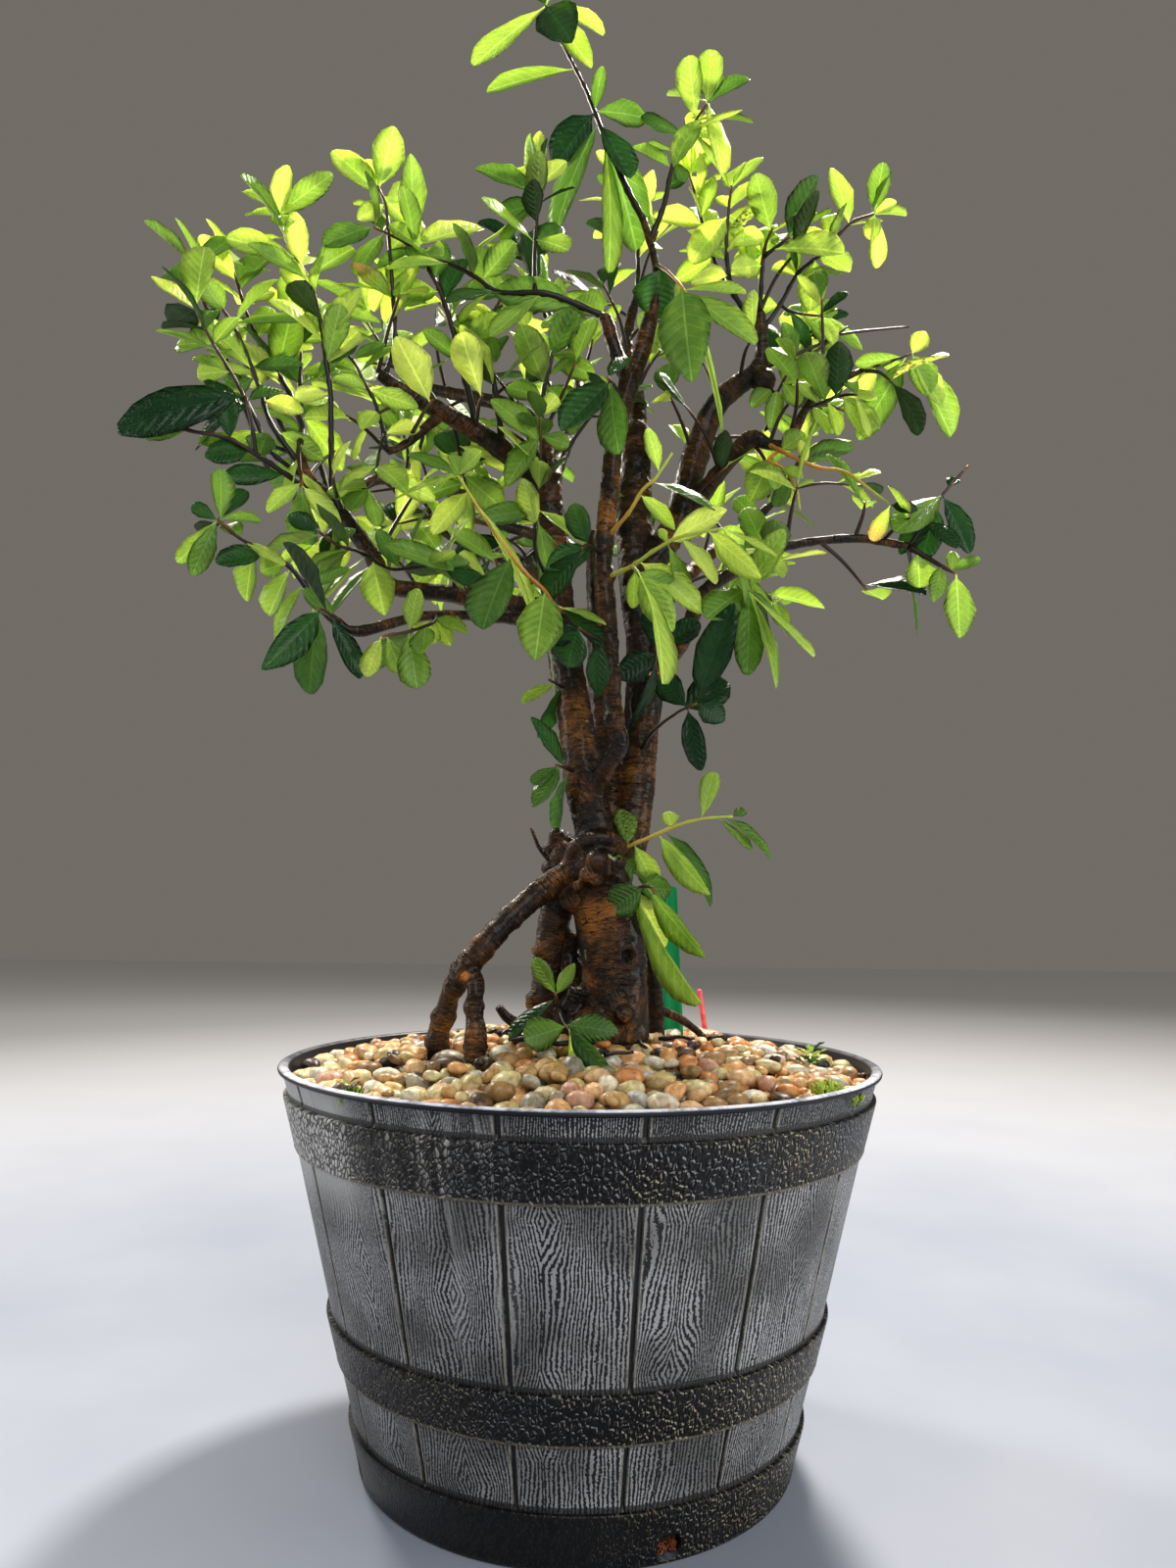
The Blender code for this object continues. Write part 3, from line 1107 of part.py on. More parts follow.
def leaves_of(name, shoot, routes):
    """The leaves that a shoot's solid carries: its two largest and all others of some size."""
    ranked = sorted(range(len(shoot.leaves)), key=lambda index: -shoot.leaves[index][3])
    chosen = []
    for rank, index in enumerate(ranked):
        if rank < 2 or shoot.leaves[index][3] >= SOLID_LEAF_FROM:
            chosen.append((f"{name} {index}", shown_leaf(name, index, shoot, routes)))
    for index in range(min(shoot.more, SOLID_FILLING)):
        chosen.append((f"{name} more {index}", filling_leaf(name, index, shoot, routes)))
    return chosen


def twig_solids(name, shoot, routes, home):
    """The tubes of a shoot's twigs, thinner towards their tips."""
    pieces = []
    for index, route in enumerate(routes):
        start = shoot.thickness if index == 0 else shoot.thickness * SIDE_TWIG
        taper = (TWIG_TIP - start) / (len(route) - 1)
        radii = [start + taper * step for step in range(len(route))]
        pieces.append(tube(f"{name} twig {index}", route, radii, 0, home))
    return pieces


def make_shoots(collection, home, fixed, seats):
    """Every leafy shoot as one body; a leaf that would cross another piece is left out."""
    finish = material("quince leaf", (0.2, 0.42, 0.05), 0.35)
    twigs = {name: twig_solids(name, shoot, seats[name][1], home)
             for name, shoot in SHOOTS.items()}
    taken = [(None, surface_tree(thing)) for thing in fixed]
    taken += [(name, surface_tree(piece)) for name, pieces in twigs.items() for piece in pieces]
    for name, shoot in SHOOTS.items():
        leaves = []
        outer_parts = []
        for draw_name, leaf in leaves_of(name, shoot, seats[name][1]):
            trial = leaf_tree(draw_name, leaf)
            outer = leaf_tree(draw_name, outer_part(leaf))
            crosses_others = any(owner != name and trial.overlap(tree) for owner, tree in taken)
            if crosses_others or any(outer.overlap(other) for other in outer_parts):
                continue
            taken.append((name, trial))
            outer_parts.append(outer)
            leaves.append(leaf_object(draw_name, leaf, home))
        spray = add_object(name, twigs[name][0].data.copy(), collection)
        fuse(spray, twigs[name][1:] + leaves)
        remove(twigs[name][:1])
        spray.data.materials.append(finish)


def label_turn():
    """The lean of the plant label in the front view."""
    return Matrix.Rotation(math.radians(LABEL_LEAN), 3, "Y")


def make_label(collection):
    """The plain green plastic plant label behind the trunk."""
    label = block("plant_label", LABEL_SIZE, LABEL_MIDDLE, label_turn(), collection)
    label.data.materials.append(material("green plastic", (0.02, 0.35, 0.2), 0.3))
    return label


def make_stick(collection):
    """The red marker stick in the pebbles."""
    stick = tube("marker_stick", STICK_ROUTE, [STICK_RADIUS] * 3, 2, collection)
    stick.data.materials.append(material("red plastic", (0.75, 0.1, 0.1), 0.35))
    shade(stick, 40)
    return stick


def main():
    """Clear the scene and build every piece."""
    for thing in list(bpy.data.objects):
        bpy.data.objects.remove(thing)
    parts = bpy.data.collections.new("toyo_nishiki_quince_bonsai")
    cutters = bpy.data.collections.new("cutters")
    bpy.context.scene.collection.children.link(parts)
    bpy.context.scene.collection.children.link(cutters)
    pot = make_pot(parts)
    make_soil(parts, cutters)
    pebbles = make_pebbles(parts, cutters)
    label = make_label(parts)
    stick = make_stick(parts)
    trunk = make_limbs(parts, cutters)
    seats = seat_shoots(trunk)
    add_spurs(trunk, seats, cutters)
    make_shoots(parts, cutters, [pot, pebbles, label, stick, trunk], seats)


main()
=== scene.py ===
"""Looks of a toyo-nishiki flowering quince bonsai on exposed roots, in a moulded half-barrel pot.

The world is in metres with +Z up and -Y to the front.  Sizes and places are written in
millimetres; MM turns them to metres.
"""

import logging
import math
import random
from collections.abc import Callable
from dataclasses import dataclass, field
from enum import Enum, IntEnum

import bmesh
import bpy
import numpy as np
from bpy.types import Collection, Material, Mesh, NodeSocket, NodeTree, Object
from mathutils import Matrix, Quaternion, Vector, noise
from mathutils.bvhtree import BVHTree
from mathutils.kdtree import KDTree


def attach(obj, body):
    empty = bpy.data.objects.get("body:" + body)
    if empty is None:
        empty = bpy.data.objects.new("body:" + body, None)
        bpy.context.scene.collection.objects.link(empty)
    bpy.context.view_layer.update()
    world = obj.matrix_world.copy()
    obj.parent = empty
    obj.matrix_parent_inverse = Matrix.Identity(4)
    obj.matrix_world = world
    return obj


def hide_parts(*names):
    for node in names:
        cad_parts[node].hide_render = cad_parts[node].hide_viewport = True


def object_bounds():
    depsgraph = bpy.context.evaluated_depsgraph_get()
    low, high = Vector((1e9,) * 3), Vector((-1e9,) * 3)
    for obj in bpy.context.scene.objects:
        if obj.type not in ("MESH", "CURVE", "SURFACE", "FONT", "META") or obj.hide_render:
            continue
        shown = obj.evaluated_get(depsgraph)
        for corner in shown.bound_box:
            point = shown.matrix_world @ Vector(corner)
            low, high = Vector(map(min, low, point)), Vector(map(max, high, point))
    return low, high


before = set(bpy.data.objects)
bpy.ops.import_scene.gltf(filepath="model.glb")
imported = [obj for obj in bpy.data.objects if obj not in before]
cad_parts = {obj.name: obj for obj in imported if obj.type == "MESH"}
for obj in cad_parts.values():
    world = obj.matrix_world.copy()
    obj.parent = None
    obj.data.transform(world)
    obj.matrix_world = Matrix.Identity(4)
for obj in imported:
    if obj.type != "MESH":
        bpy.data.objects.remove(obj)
CAD_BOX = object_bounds()

MM = 0.001
BODY = "root"
SEED = 7
# Degrees from one leaf of a spiral to the next.
GOLDEN_ANGLE = 137.5
# Widest random phase in radians.
PHASE = 6.28
LOG = logging.getLogger("quince_bonsai")


class Slot(Enum):
    """The record's material slots."""

    POT = "pot_plastic"
    SOIL = "soil"
    PEBBLES = "pebbles"
    BARK = "bark"
    FOLIAGE = "foliage"
    LABEL = "label_plastic"
    STICK = "stick_plastic"


class Moulding(IntEnum):
    """Which finish a part of the pot wears, as the number of its material."""

    STAVE = 0
    HOOP = 1
    SMOOTH = 2


class PaintedEdgeLight(IntEnum):
    """Painted light on a row of the pot's outline: a painted shadow line, none, or a painted
    highlight along an edge.
    """

    PAINTED_SHADOW_LINE = -1
    NONE = 0
    PAINTED_HIGHLIGHT_EDGE = 1


class Tone(Enum):
    """How a shoot's leaves look as a group: where its leaves stand between young and old."""

    YOUNG = 0.1
    BRIGHT = 0.24
    MIXED = 0.36
    OLIVE = 0.46
    DARK = 0.82


def linear(code: str) -> tuple[float, float, float, float]:
    """Turn an sRGB hex colour into linear light.

    Args:
        code: Six hex digits.

    Returns:
        Red, green, blue and alpha for a colour socket.
    """
    parts = [int(code[start:start + 2], 16) / 255.0 for start in (0, 2, 4)]
    return (*(part / 12.92 if part <= 0.04045 else ((part + 0.055) / 1.055) ** 2.4
              for part in parts), 1.0)


def add_node(tree: NodeTree, kind: str, *feeds: object, out: str | None = None,
             stops: tuple = (), **settings: object) -> NodeSocket:
    """Add one node, set it and feed its inputs.

    Args:
        tree: Shader or geometry node tree.
        kind: The node's type name; "ShaderNode" may be left out.
        feeds: Values, hex colours or sockets for the open inputs in order, None to skip one;
            a dict names its inputs instead.
        out: Name of the output wanted, or None for the first open one.
        stops: Places and hex colours of a colour ramp.
        settings: Properties of the node.

    Returns:
        The wanted output socket.
    """
    node = tree.nodes.new(kind if "Node" in kind else f"ShaderNode{kind}")
    for name, value in settings.items():
        setattr(node, name, value)
    opened = [socket for socket in node.inputs if socket.enabled]
    pairs = []
    for number, feed in enumerate(feeds):
        named = feed if isinstance(feed, dict) else {}
        pairs += [(node.inputs[name], value) for name, value in named.items()]
        if feed is not None and not isinstance(feed, dict):
            pairs.append((opened[number], feed))
    for socket, feed in pairs:
        if isinstance(feed, NodeSocket):
            tree.links.new(feed, socket)
        else:
            socket.default_value = linear(feed) if socket.type == "RGBA" else feed
    if stops:
        ramp = node.color_ramp.elements
        while len(ramp) < len(stops):
            ramp.new(1.0)
        for element, (place, code) in zip(ramp, stops):
            element.position = place
            element.color = linear(code)
    return node.outputs[out] if out else next(one for one in node.outputs if one.enabled)


@dataclass(frozen=True)
class NodeAdder:
    """Adds nodes to one tree, with a short name for each kind that many finishes use."""

    tree: NodeTree

    def __call__(self, kind: str, *feeds: object, **settings: object) -> NodeSocket:
        """A node of any kind, as add_node makes it."""
        return add_node(self.tree, kind, *feeds, **settings)

    def math(self, operation: str, *values: object) -> NodeSocket:
        """One step of arithmetic."""
        return self("Math", *values, operation=operation)

    def times(self, first: object, second: object) -> NodeSocket:
        """A product."""
        return self.math("MULTIPLY", first, second)

    def plus(self, first: object, second: object) -> NodeSocket:
        """A sum."""
        return self.math("ADD", first, second)

    def minus(self, first: object, second: object) -> NodeSocket:
        """A difference."""
        return self.math("SUBTRACT", first, second)

    def scaled(self, value: object, factor: object, rest: object) -> NodeSocket:
        """A value times a factor, with the rest added."""
        return self.math("MULTIPLY_ADD", value, factor, rest)

    def mapped(self, value: object, *limits: object) -> NodeSocket:
        """A value mapped from one range to another, or to 0 and 1."""
        return self("MapRange", value, *limits)

    def eased(self, value: object, *limits: object) -> NodeSocket:
        """The same mapping with soft ends."""
        return self("MapRange", value, *limits, interpolation_type="SMOOTHSTEP")

    def mix(self, share: object, below: object, above: object) -> NodeSocket:
        """One colour laid over another by a share."""
        return self("Mix", share, below, above, data_type="RGBA")

    def ramp(self, value: object, stops: tuple) -> NodeSocket:
        """A colour ramp."""
        return self("ValToRGB", value, stops=stops)

    def place(self) -> NodeSocket:
        """The place on the object, in metres."""
        return self("TexCoord", out="Object")

    def stored(self, name: str, out: str = "Fac") -> NodeSocket:
        """A value that the mesh stores."""
        return self("Attribute", attribute_name=name, out=out)

    def axes(self, vector: object) -> list[NodeSocket]:
        """The X, Y and Z of a vector."""
        return list(self("SeparateXYZ", vector).node.outputs)

    def noise(self, place: object, scale: float, detail: float, roughness: float = 0.5,
              distortion: float = 0.0) -> NodeSocket:
        """Soft noise over a place."""
        return self("TexNoise", place, {"Scale": scale, "Detail": detail, "Roughness": roughness,
                                        "Distortion": distortion})

    def relief(self, height: object, strength: object, depth: float,
               **settings: object) -> NodeSocket:
        """Fine relief of the surface, its depth in millimetres."""
        return self("Bump", {"Strength": strength, "Distance": depth * MM, "Height": height},
                    **settings)


class Finish:
    """What all finishes share: the subclass says what feeds the shader, this builds it."""

    def feeds(self, add: NodeAdder) -> dict:
        """Feeds of the Principled shader; "Glow" holds the share and colour of light let through.

        Args:
            add: Adds nodes to this material's tree.

        Returns:
            Input names and their sockets or values.
        """
        raise NotImplementedError

    def material(self, name: str) -> Material:
        """Build the material.

        Args:
            name: The material's name.

        Returns:
            The node material.
        """
        made = bpy.data.materials.new(name)
        made.use_nodes = True
        tree = made.node_tree
        shader = tree.nodes["Principled BSDF"]
        for socket, feed in self.feeds(NodeAdder(tree)).items():
            if socket == "Glow":
                glow = add_node(tree, "BsdfTranslucent", feed[1])
                both = add_node(tree, "MixShader", feed[0], shader.outputs[0], glow)
                tree.links.new(both, tree.nodes["Material Output"].inputs[0])
            elif isinstance(feed, NodeSocket):
                tree.links.new(feed, shader.inputs[socket])
            else:
                shader.inputs[socket].default_value = feed
        return made


def link_object(name: str, mesh: Mesh) -> Object:
    """Put a mesh in the scene as an object at the origin.

    Args:
        name: The piece's name.
        mesh: Its mesh.

    Returns:
        The linked object.
    """
    thing = bpy.data.objects.new(name, mesh)
    bpy.context.scene.collection.objects.link(thing)
    return thing


def mesh_from(name: str, verts: list, faces: list) -> Mesh:
    """Make a smooth-shaded mesh from points in millimetres and outward faces.

    Args:
        name: The mesh's name.
        verts: Points in millimetres.
        faces: Corners of each face, outward.

    Returns:
        The mesh, in metres.
    """
    mesh = bpy.data.meshes.new(name)
    mesh.from_pydata([Vector(vert) * MM for vert in verts], [], faces)
    mesh.shade_smooth()
    return mesh


def baked(thing: Object) -> Object:
    """Turn an object's live modifiers into its plain mesh and remove them.

    Args:
        thing: The object with live modifiers.

    Returns:
        The same object, plain.
    """
    graph = bpy.context.evaluated_depsgraph_get()
    graph.update()
    mesh = bpy.data.meshes.new_from_object(thing.evaluated_get(graph), depsgraph=graph)
    thing.modifiers.clear()
    old, thing.data = thing.data, mesh
    bpy.data.meshes.remove(old)
    return thing


def joined(name: str, things: list[Object]) -> Object:
    """Join mesh objects into the first one.

    Args:
        name: Name of the result.
        things: Mesh objects at the origin.

    Returns:
        The joined object, with every material kept.
    """
    target = things[0]
    if len(things) > 1:
        with bpy.context.temp_override(active_object=target, object=target,
                                       selected_objects=things,
                                       selected_editable_objects=things):
            bpy.ops.object.join()
    target.name = name
    target.data.name = name
    return target


def hand_over(piece: Object, slot: Slot, *nodes: str) -> None:
    """Let a finished piece ride the root body, in the place of its CAD nodes.

    Args:
        piece: The finished object.
        slot: The record's slot; not used.
        nodes: CAD nodes that the piece replaces.
    """
    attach(piece, BODY)
    if nodes:
        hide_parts(*nodes)
    triangles = sum(len(face.vertices) - 2 for face in piece.data.polygons)
    LOG.info("%s: %d triangles, replaces %s", piece.name, triangles, ", ".join(nodes) or "nothing")


def add_attribute(mesh: Mesh, name: str, kind: str, values: list,
                  domain: str = "POINT") -> None:
    """Store a named attribute on a mesh.

    Args:
        mesh: The mesh.
        name: Attribute name.
        kind: FLOAT, INT, FLOAT_VECTOR or QUATERNION.
        values: One value for each element.
        domain: POINT or FACE.
    """
    layer = mesh.attributes.new(name, kind, domain)
    layer.data.foreach_set("vector" if kind == "FLOAT_VECTOR" else "value",
                           np.asarray(values, np.int32 if kind == "INT" else np.float32).ravel())


def smoothed(route: list[tuple], step: float) -> list[list[float]]:
    """A Catmull-Rom path through a route's points.

    Args:
        route: Points (x, y, z, radius), in millimetres.
        step: Distance between the path's points.

    Returns:
        Points along the path, the route's ends included.
    """
    points = [np.array(point, dtype=float) for point in route]
    points = [2 * points[0] - points[1]] + points + [2 * points[-1] - points[-2]]
    path = []
    for index in range(1, len(points) - 2):
        a, b, c, d = points[index - 1:index + 3]
        count = max(1, round(float(np.linalg.norm((c - b)[:3])) / step))
        for part in range(count):
            t = part / count
            path.append(list(0.5 * (2 * b + (c - a) * t + (2 * a - 5 * b + 4 * c - d) * t ** 2
                                    + (3 * b - a - 3 * c + d) * t ** 3)))
    path.append(list(points[-2]))
    return path


def path_frames(path: list[list[float]]) -> list[tuple[Vector, Vector, Vector]]:
    """Tangent, normal and binormal at each point of a path, without twisting.

    Args:
        path: Points, each followed by its radius.

    Returns:
        The three directions at each point.
    """
    places = [Vector(point[:3]) for point in path]
    frames, normal = [], None
    for index in range(len(places)):
        tangent = places[min(index + 1, len(places) - 1)] - places[max(index - 1, 0)]
        tangent.normalize()
        if normal is None:
            normal = tangent.orthogonal()
        normal = (normal - tangent * normal.dot(tangent)).normalized()
        frames.append((tangent, normal, tangent.cross(normal)))
    return frames


@dataclass
class Tubes:
    """Closed round tubes along routes, gathered in one mesh."""

    verts: list = field(default_factory=list)
    faces: list = field(default_factory=list)
    fresh: list = field(default_factory=list)

    def add(self, path: list, sides: int, fresh: tuple = (0.2, 0.2),
            swell: Callable | None = None) -> None:
        """Add a tube along a path of (x, y, z, radius).

        Args:
            path: Points along the path, in millimetres.
            sides: Points round each ring.
            fresh: How young its bark is at the foot and at the tip, from 0 to 1.
            swell: Radius factor as a function of place, turn and distance along, or None.
        """
        first, along = len(self.verts), 0.0
        for index, (point, (_, normal, side)) in enumerate(zip(path, path_frames(path))):
            middle = Vector(point[:3])
            if index:
                along += (middle - Vector(path[index - 1][:3])).length
            for part in range(sides):
                turn = 2 * math.pi * part / sides
                radius = point[3] * (swell(middle, turn, along) if swell else 1.0)
                self.verts.append(middle + (normal * math.cos(turn) + side * math.sin(turn))
                                  * radius)
            share = (index / (len(path) - 1)) ** 2
            self.fresh += [fresh[0] + (fresh[1] - fresh[0]) * share] * sides
        for low in range(first, first + (len(path) - 1) * sides, sides):
            self.faces += [(low + part, low + (part + 1) % sides,
                            low + sides + (part + 1) % sides, low + sides + part)
                           for part in range(sides)]
        last = len(self.verts) - sides
        self.faces += [tuple(range(first + sides - 1, first - 1, -1)),
                       tuple(range(last, last + sides))]

    def made(self, name: str, finish: Material | None = None) -> Object:
        """The gathered tubes as one object in a finish.

        Args:
            name: The piece's name.
            finish: Its material, if it has one yet.

        Returns:
            The piece.
        """
        mesh = mesh_from(name, self.verts, self.faces)
        add_attribute(mesh, "fresh", "FLOAT", self.fresh)
        if finish:
            mesh.materials.append(finish)
        return link_object(name, mesh)


# Limbs of the woody plant: name, and the route from its foot as points (x, y, z, radius).
LIMBS = {
    "trunk": [(23, -30, 260, 19.5), (22, -30, 299, 20.5), (18, -29, 337, 22.0),
              (13, -28, 363, 19.5), (11, -27, 384, 17.5)],
    "left_trunk": [(11, -27, 384, 15.5), (9, -28, 397, 13.5), (1, -27, 429, 12.5),
                   (-8, -20, 483, 11.5), (-18, -10, 541, 11.0), (-22, -4, 585, 10.5),
                   (-26, 0, 626, 9.5), (-28, 2, 652, 8.0)],
    "right_trunk": [(25, -18, 373, 12.0), (32, -12, 400, 12.5), (38, -2, 459, 12.5),
                    (41, 4, 492, 12.0), (41, 12, 533, 12.0), (37, 20, 579, 12.0),
                    (35, 28, 626, 12.5), (36, 34, 674, 11.0), (39, 38, 708, 8.0)],
    "cut_stub": [(42, 2, 478, 5.5), (48, -8, 497, 6.0), (48, -14, 508, 5.5)],
    "left_base": [(-21, -10, 261, 12.0), (-22, -14, 298, 11.5), (-20, -18, 330, 11.0),
                  (-15, -22, 353, 11.0), (-3, -26, 373, 10.0)],
    "root_crown": [(-6, -24, 259, 9.5), (-8, -28, 277, 9.5), (-3, -28, 294, 7.0)],
    "dead_snag": [(-9, -20, 360, 8.0), (-14, -18, 376, 8.5), (-15, -18, 395, 7.5)],
    "right_base": [(51, 2, 261, 6.5), (49, -6, 298, 6.0), (47, -12, 331, 6.0), (40, -18, 360, 6.5)],
    "arch_root": [(1, -30, 373, 9.0), (-19, -38, 363, 8.5), (-46, -48, 339, 8.0),
                  (-58, -52, 326, 8.5), (-74, -56, 307, 8.5)],
    "leg_a": [(-91, -38, 258, 7.0), (-91, -39, 267, 7.0), (-86, -43, 281, 6.5),
              (-81, -50, 297, 6.0), (-74, -56, 307, 7.5)],
    "leg_b": [(-65, -76, 257, 6.5), (-64, -74, 271, 6.5), (-66, -70, 282, 5.5),
              (-66, -62, 298, 5.5), (-74, -56, 306, 7.5)],
    "right_root": [(84, 4, 257, 2.5), (76, 4, 266, 2.5), (65, 2, 273, 3.0), (51, -2, 279, 3.5)],
    "stub_left": [(-22, -18, 263, 4.5), (-45, -34, 273, 3.5), (-53, -40, 282, 2.5)],
    "low_knot": [(28, -30, 277, 5.5), (27, -56, 280, 5.0)],
    "bare_twig": [(-14, -18, 368, 1.5), (-28, -22, 384, 1.5), (-35, -24, 399, 1.0)],
    "front_stem": [(6, -30, 418, 5.0), (11, -42, 430, 5.0), (17, -52, 442, 5.5),
                   (23, -58, 453, 5.5), (19, -60, 466, 5.5), (15, -64, 520, 5.5),
                   (11, -65, 572, 6.0), (15, -65, 619, 5.5), (18, -64, 653, 5.5),
                   (28, -62, 698, 6.0)],
    "front_left_stub": [(28, -62, 696, 5.0), (19, -64, 713, 4.0), (10, -67, 739, 4.0)],
    "front_right_stub": [(28, -62, 696, 5.0), (35, -60, 715, 5.0), (42, -57, 745, 4.5)],
    "leader": [(42, -57, 739, 3.0), (46, -56, 767, 2.5), (44, -54, 789, 2.5), (37, -51, 818, 2.5)],
    "left_limb_1": [(-26, 0, 644, 7.5), (-58, -16, 665, 7.5), (-78, -26, 675, 7.0),
                    (-101, -36, 685, 6.0), (-121, -44, 692, 5.5), (-142, -54, 703, 4.0)],
    "left_limb_2": [(-27, 2, 641, 5.5), (-33, 10, 689, 5.5), (-52, 30, 719, 5.5),
                    (-76, 48, 734, 5.5), (-127, 74, 757, 4.5), (-138, 80, 768, 3.5)],
    "left_limb_3": [(-21, -8, 554, 7.0), (-48, -24, 552, 6.5), (-88, -44, 553, 6.0),
                    (-128, -62, 553, 5.5), (-137, -66, 568, 5.5), (-158, -70, 597, 5.5),
                    (-181, -72, 621, 4.5), (-188, -70, 637, 4.0)],
    "left_limb_4": [(-101, -36, 683, 4.0), (-121, -52, 655, 3.0), (-132, -60, 645, 2.5)],
    "left_limb_5": [(-27, 4, 625, 5.5), (-57, 24, 638, 5.0), (-97, 48, 659, 5.0),
                    (-164, 84, 685, 4.5), (-188, 98, 677, 3.5)],
    "left_limb_6": [(-19, -8, 538, 5.0), (-45, -34, 539, 4.0), (-98, -78, 529, 3.0),
                    (-138, -102, 512, 3.5), (-150, -106, 516, 3.0), (-161, -110, 525, 2.5)],
    "left_limb_7": [(-25, 2, 608, 5.0), (-58, 40, 631, 4.5), (-92, 78, 652, 4.5),
                    (-128, 112, 663, 4.0)],
    "right_limb_1": [(40, 8, 510, 6.5), (64, -4, 526, 6.0), (74, -12, 547, 5.5),
                     (84, -20, 566, 5.0), (116, -32, 583, 4.0), (136, -36, 592, 3.5),
                     (181, -42, 596, 3.0), (217, -42, 591, 3.0)],
    "right_limb_2": [(39, 20, 586, 10.0), (53, 24, 606, 11.0), (68, 28, 634, 11.5),
                     (76, 32, 666, 11.5), (86, 34, 699, 10.5), (99, 32, 728, 8.5),
                     (127, 20, 749, 6.5), (129, 14, 770, 4.5), (127, 10, 788, 4.0)],
    "right_limb_3": [(78, 28, 642, 7.5), (97, 12, 664, 6.0), (116, -6, 681, 6.0),
                     (129, -12, 675, 4.0), (142, -16, 675, 3.5), (153, -24, 696, 3.0),
                     (164, -30, 708, 3.0), (189, -37, 718, 2.0)],
    "back_limb_1": [(-26, 2, 645, 6.5), (-22, 35, 681, 6.0), (-11, 70, 729, 5.5),
                    (-8, 100, 777, 4.5), (-17, 120, 822, 3.5)],
    "back_limb_2": [(39, 38, 703, 6.5), (38, 62, 750, 6.0), (31, 84, 803, 5.0), (40, 96, 853, 3.5)],
    "back_limb_3": [(41, 16, 548, 7.0), (69, 60, 591, 6.5), (104, 98, 636, 5.5),
                    (141, 128, 672, 4.5), (169, 146, 705, 3.5)],
    "back_limb_4": [(-21, 0, 572, 6.5), (-51, 50, 606, 6.0), (-85, 95, 632, 5.0),
                    (-122, 130, 661, 4.0), (-143, 150, 698, 3.5)],
}
GROUNDED = ["trunk", "left_base", "root_crown", "right_base", "leg_a", "leg_b", "right_root"]

# Swellings: middle and radius of the burl, the old pruning knots and the knee of the arched root.
KNOBS = [((11, -40, 373), 16.5), ((131, 18, 738), 9.0), ((-28, 2, 652), 10.0),
         ((37, 36, 704), 10.0), ((116, -6, 681), 7.0), ((-74, -56, 306), 9.5)]


@dataclass(frozen=True)
class Shoot:
    """A leafy shoot: twig thickness, how many filling leaves, twig routes, and leaves that show.

    A leaf is (twig, share of the twig's length, bearing in degrees from +X to +Z, length, width).
    """

    thickness: float
    more: int
    twigs: list
    leaves: list = field(default_factory=list)


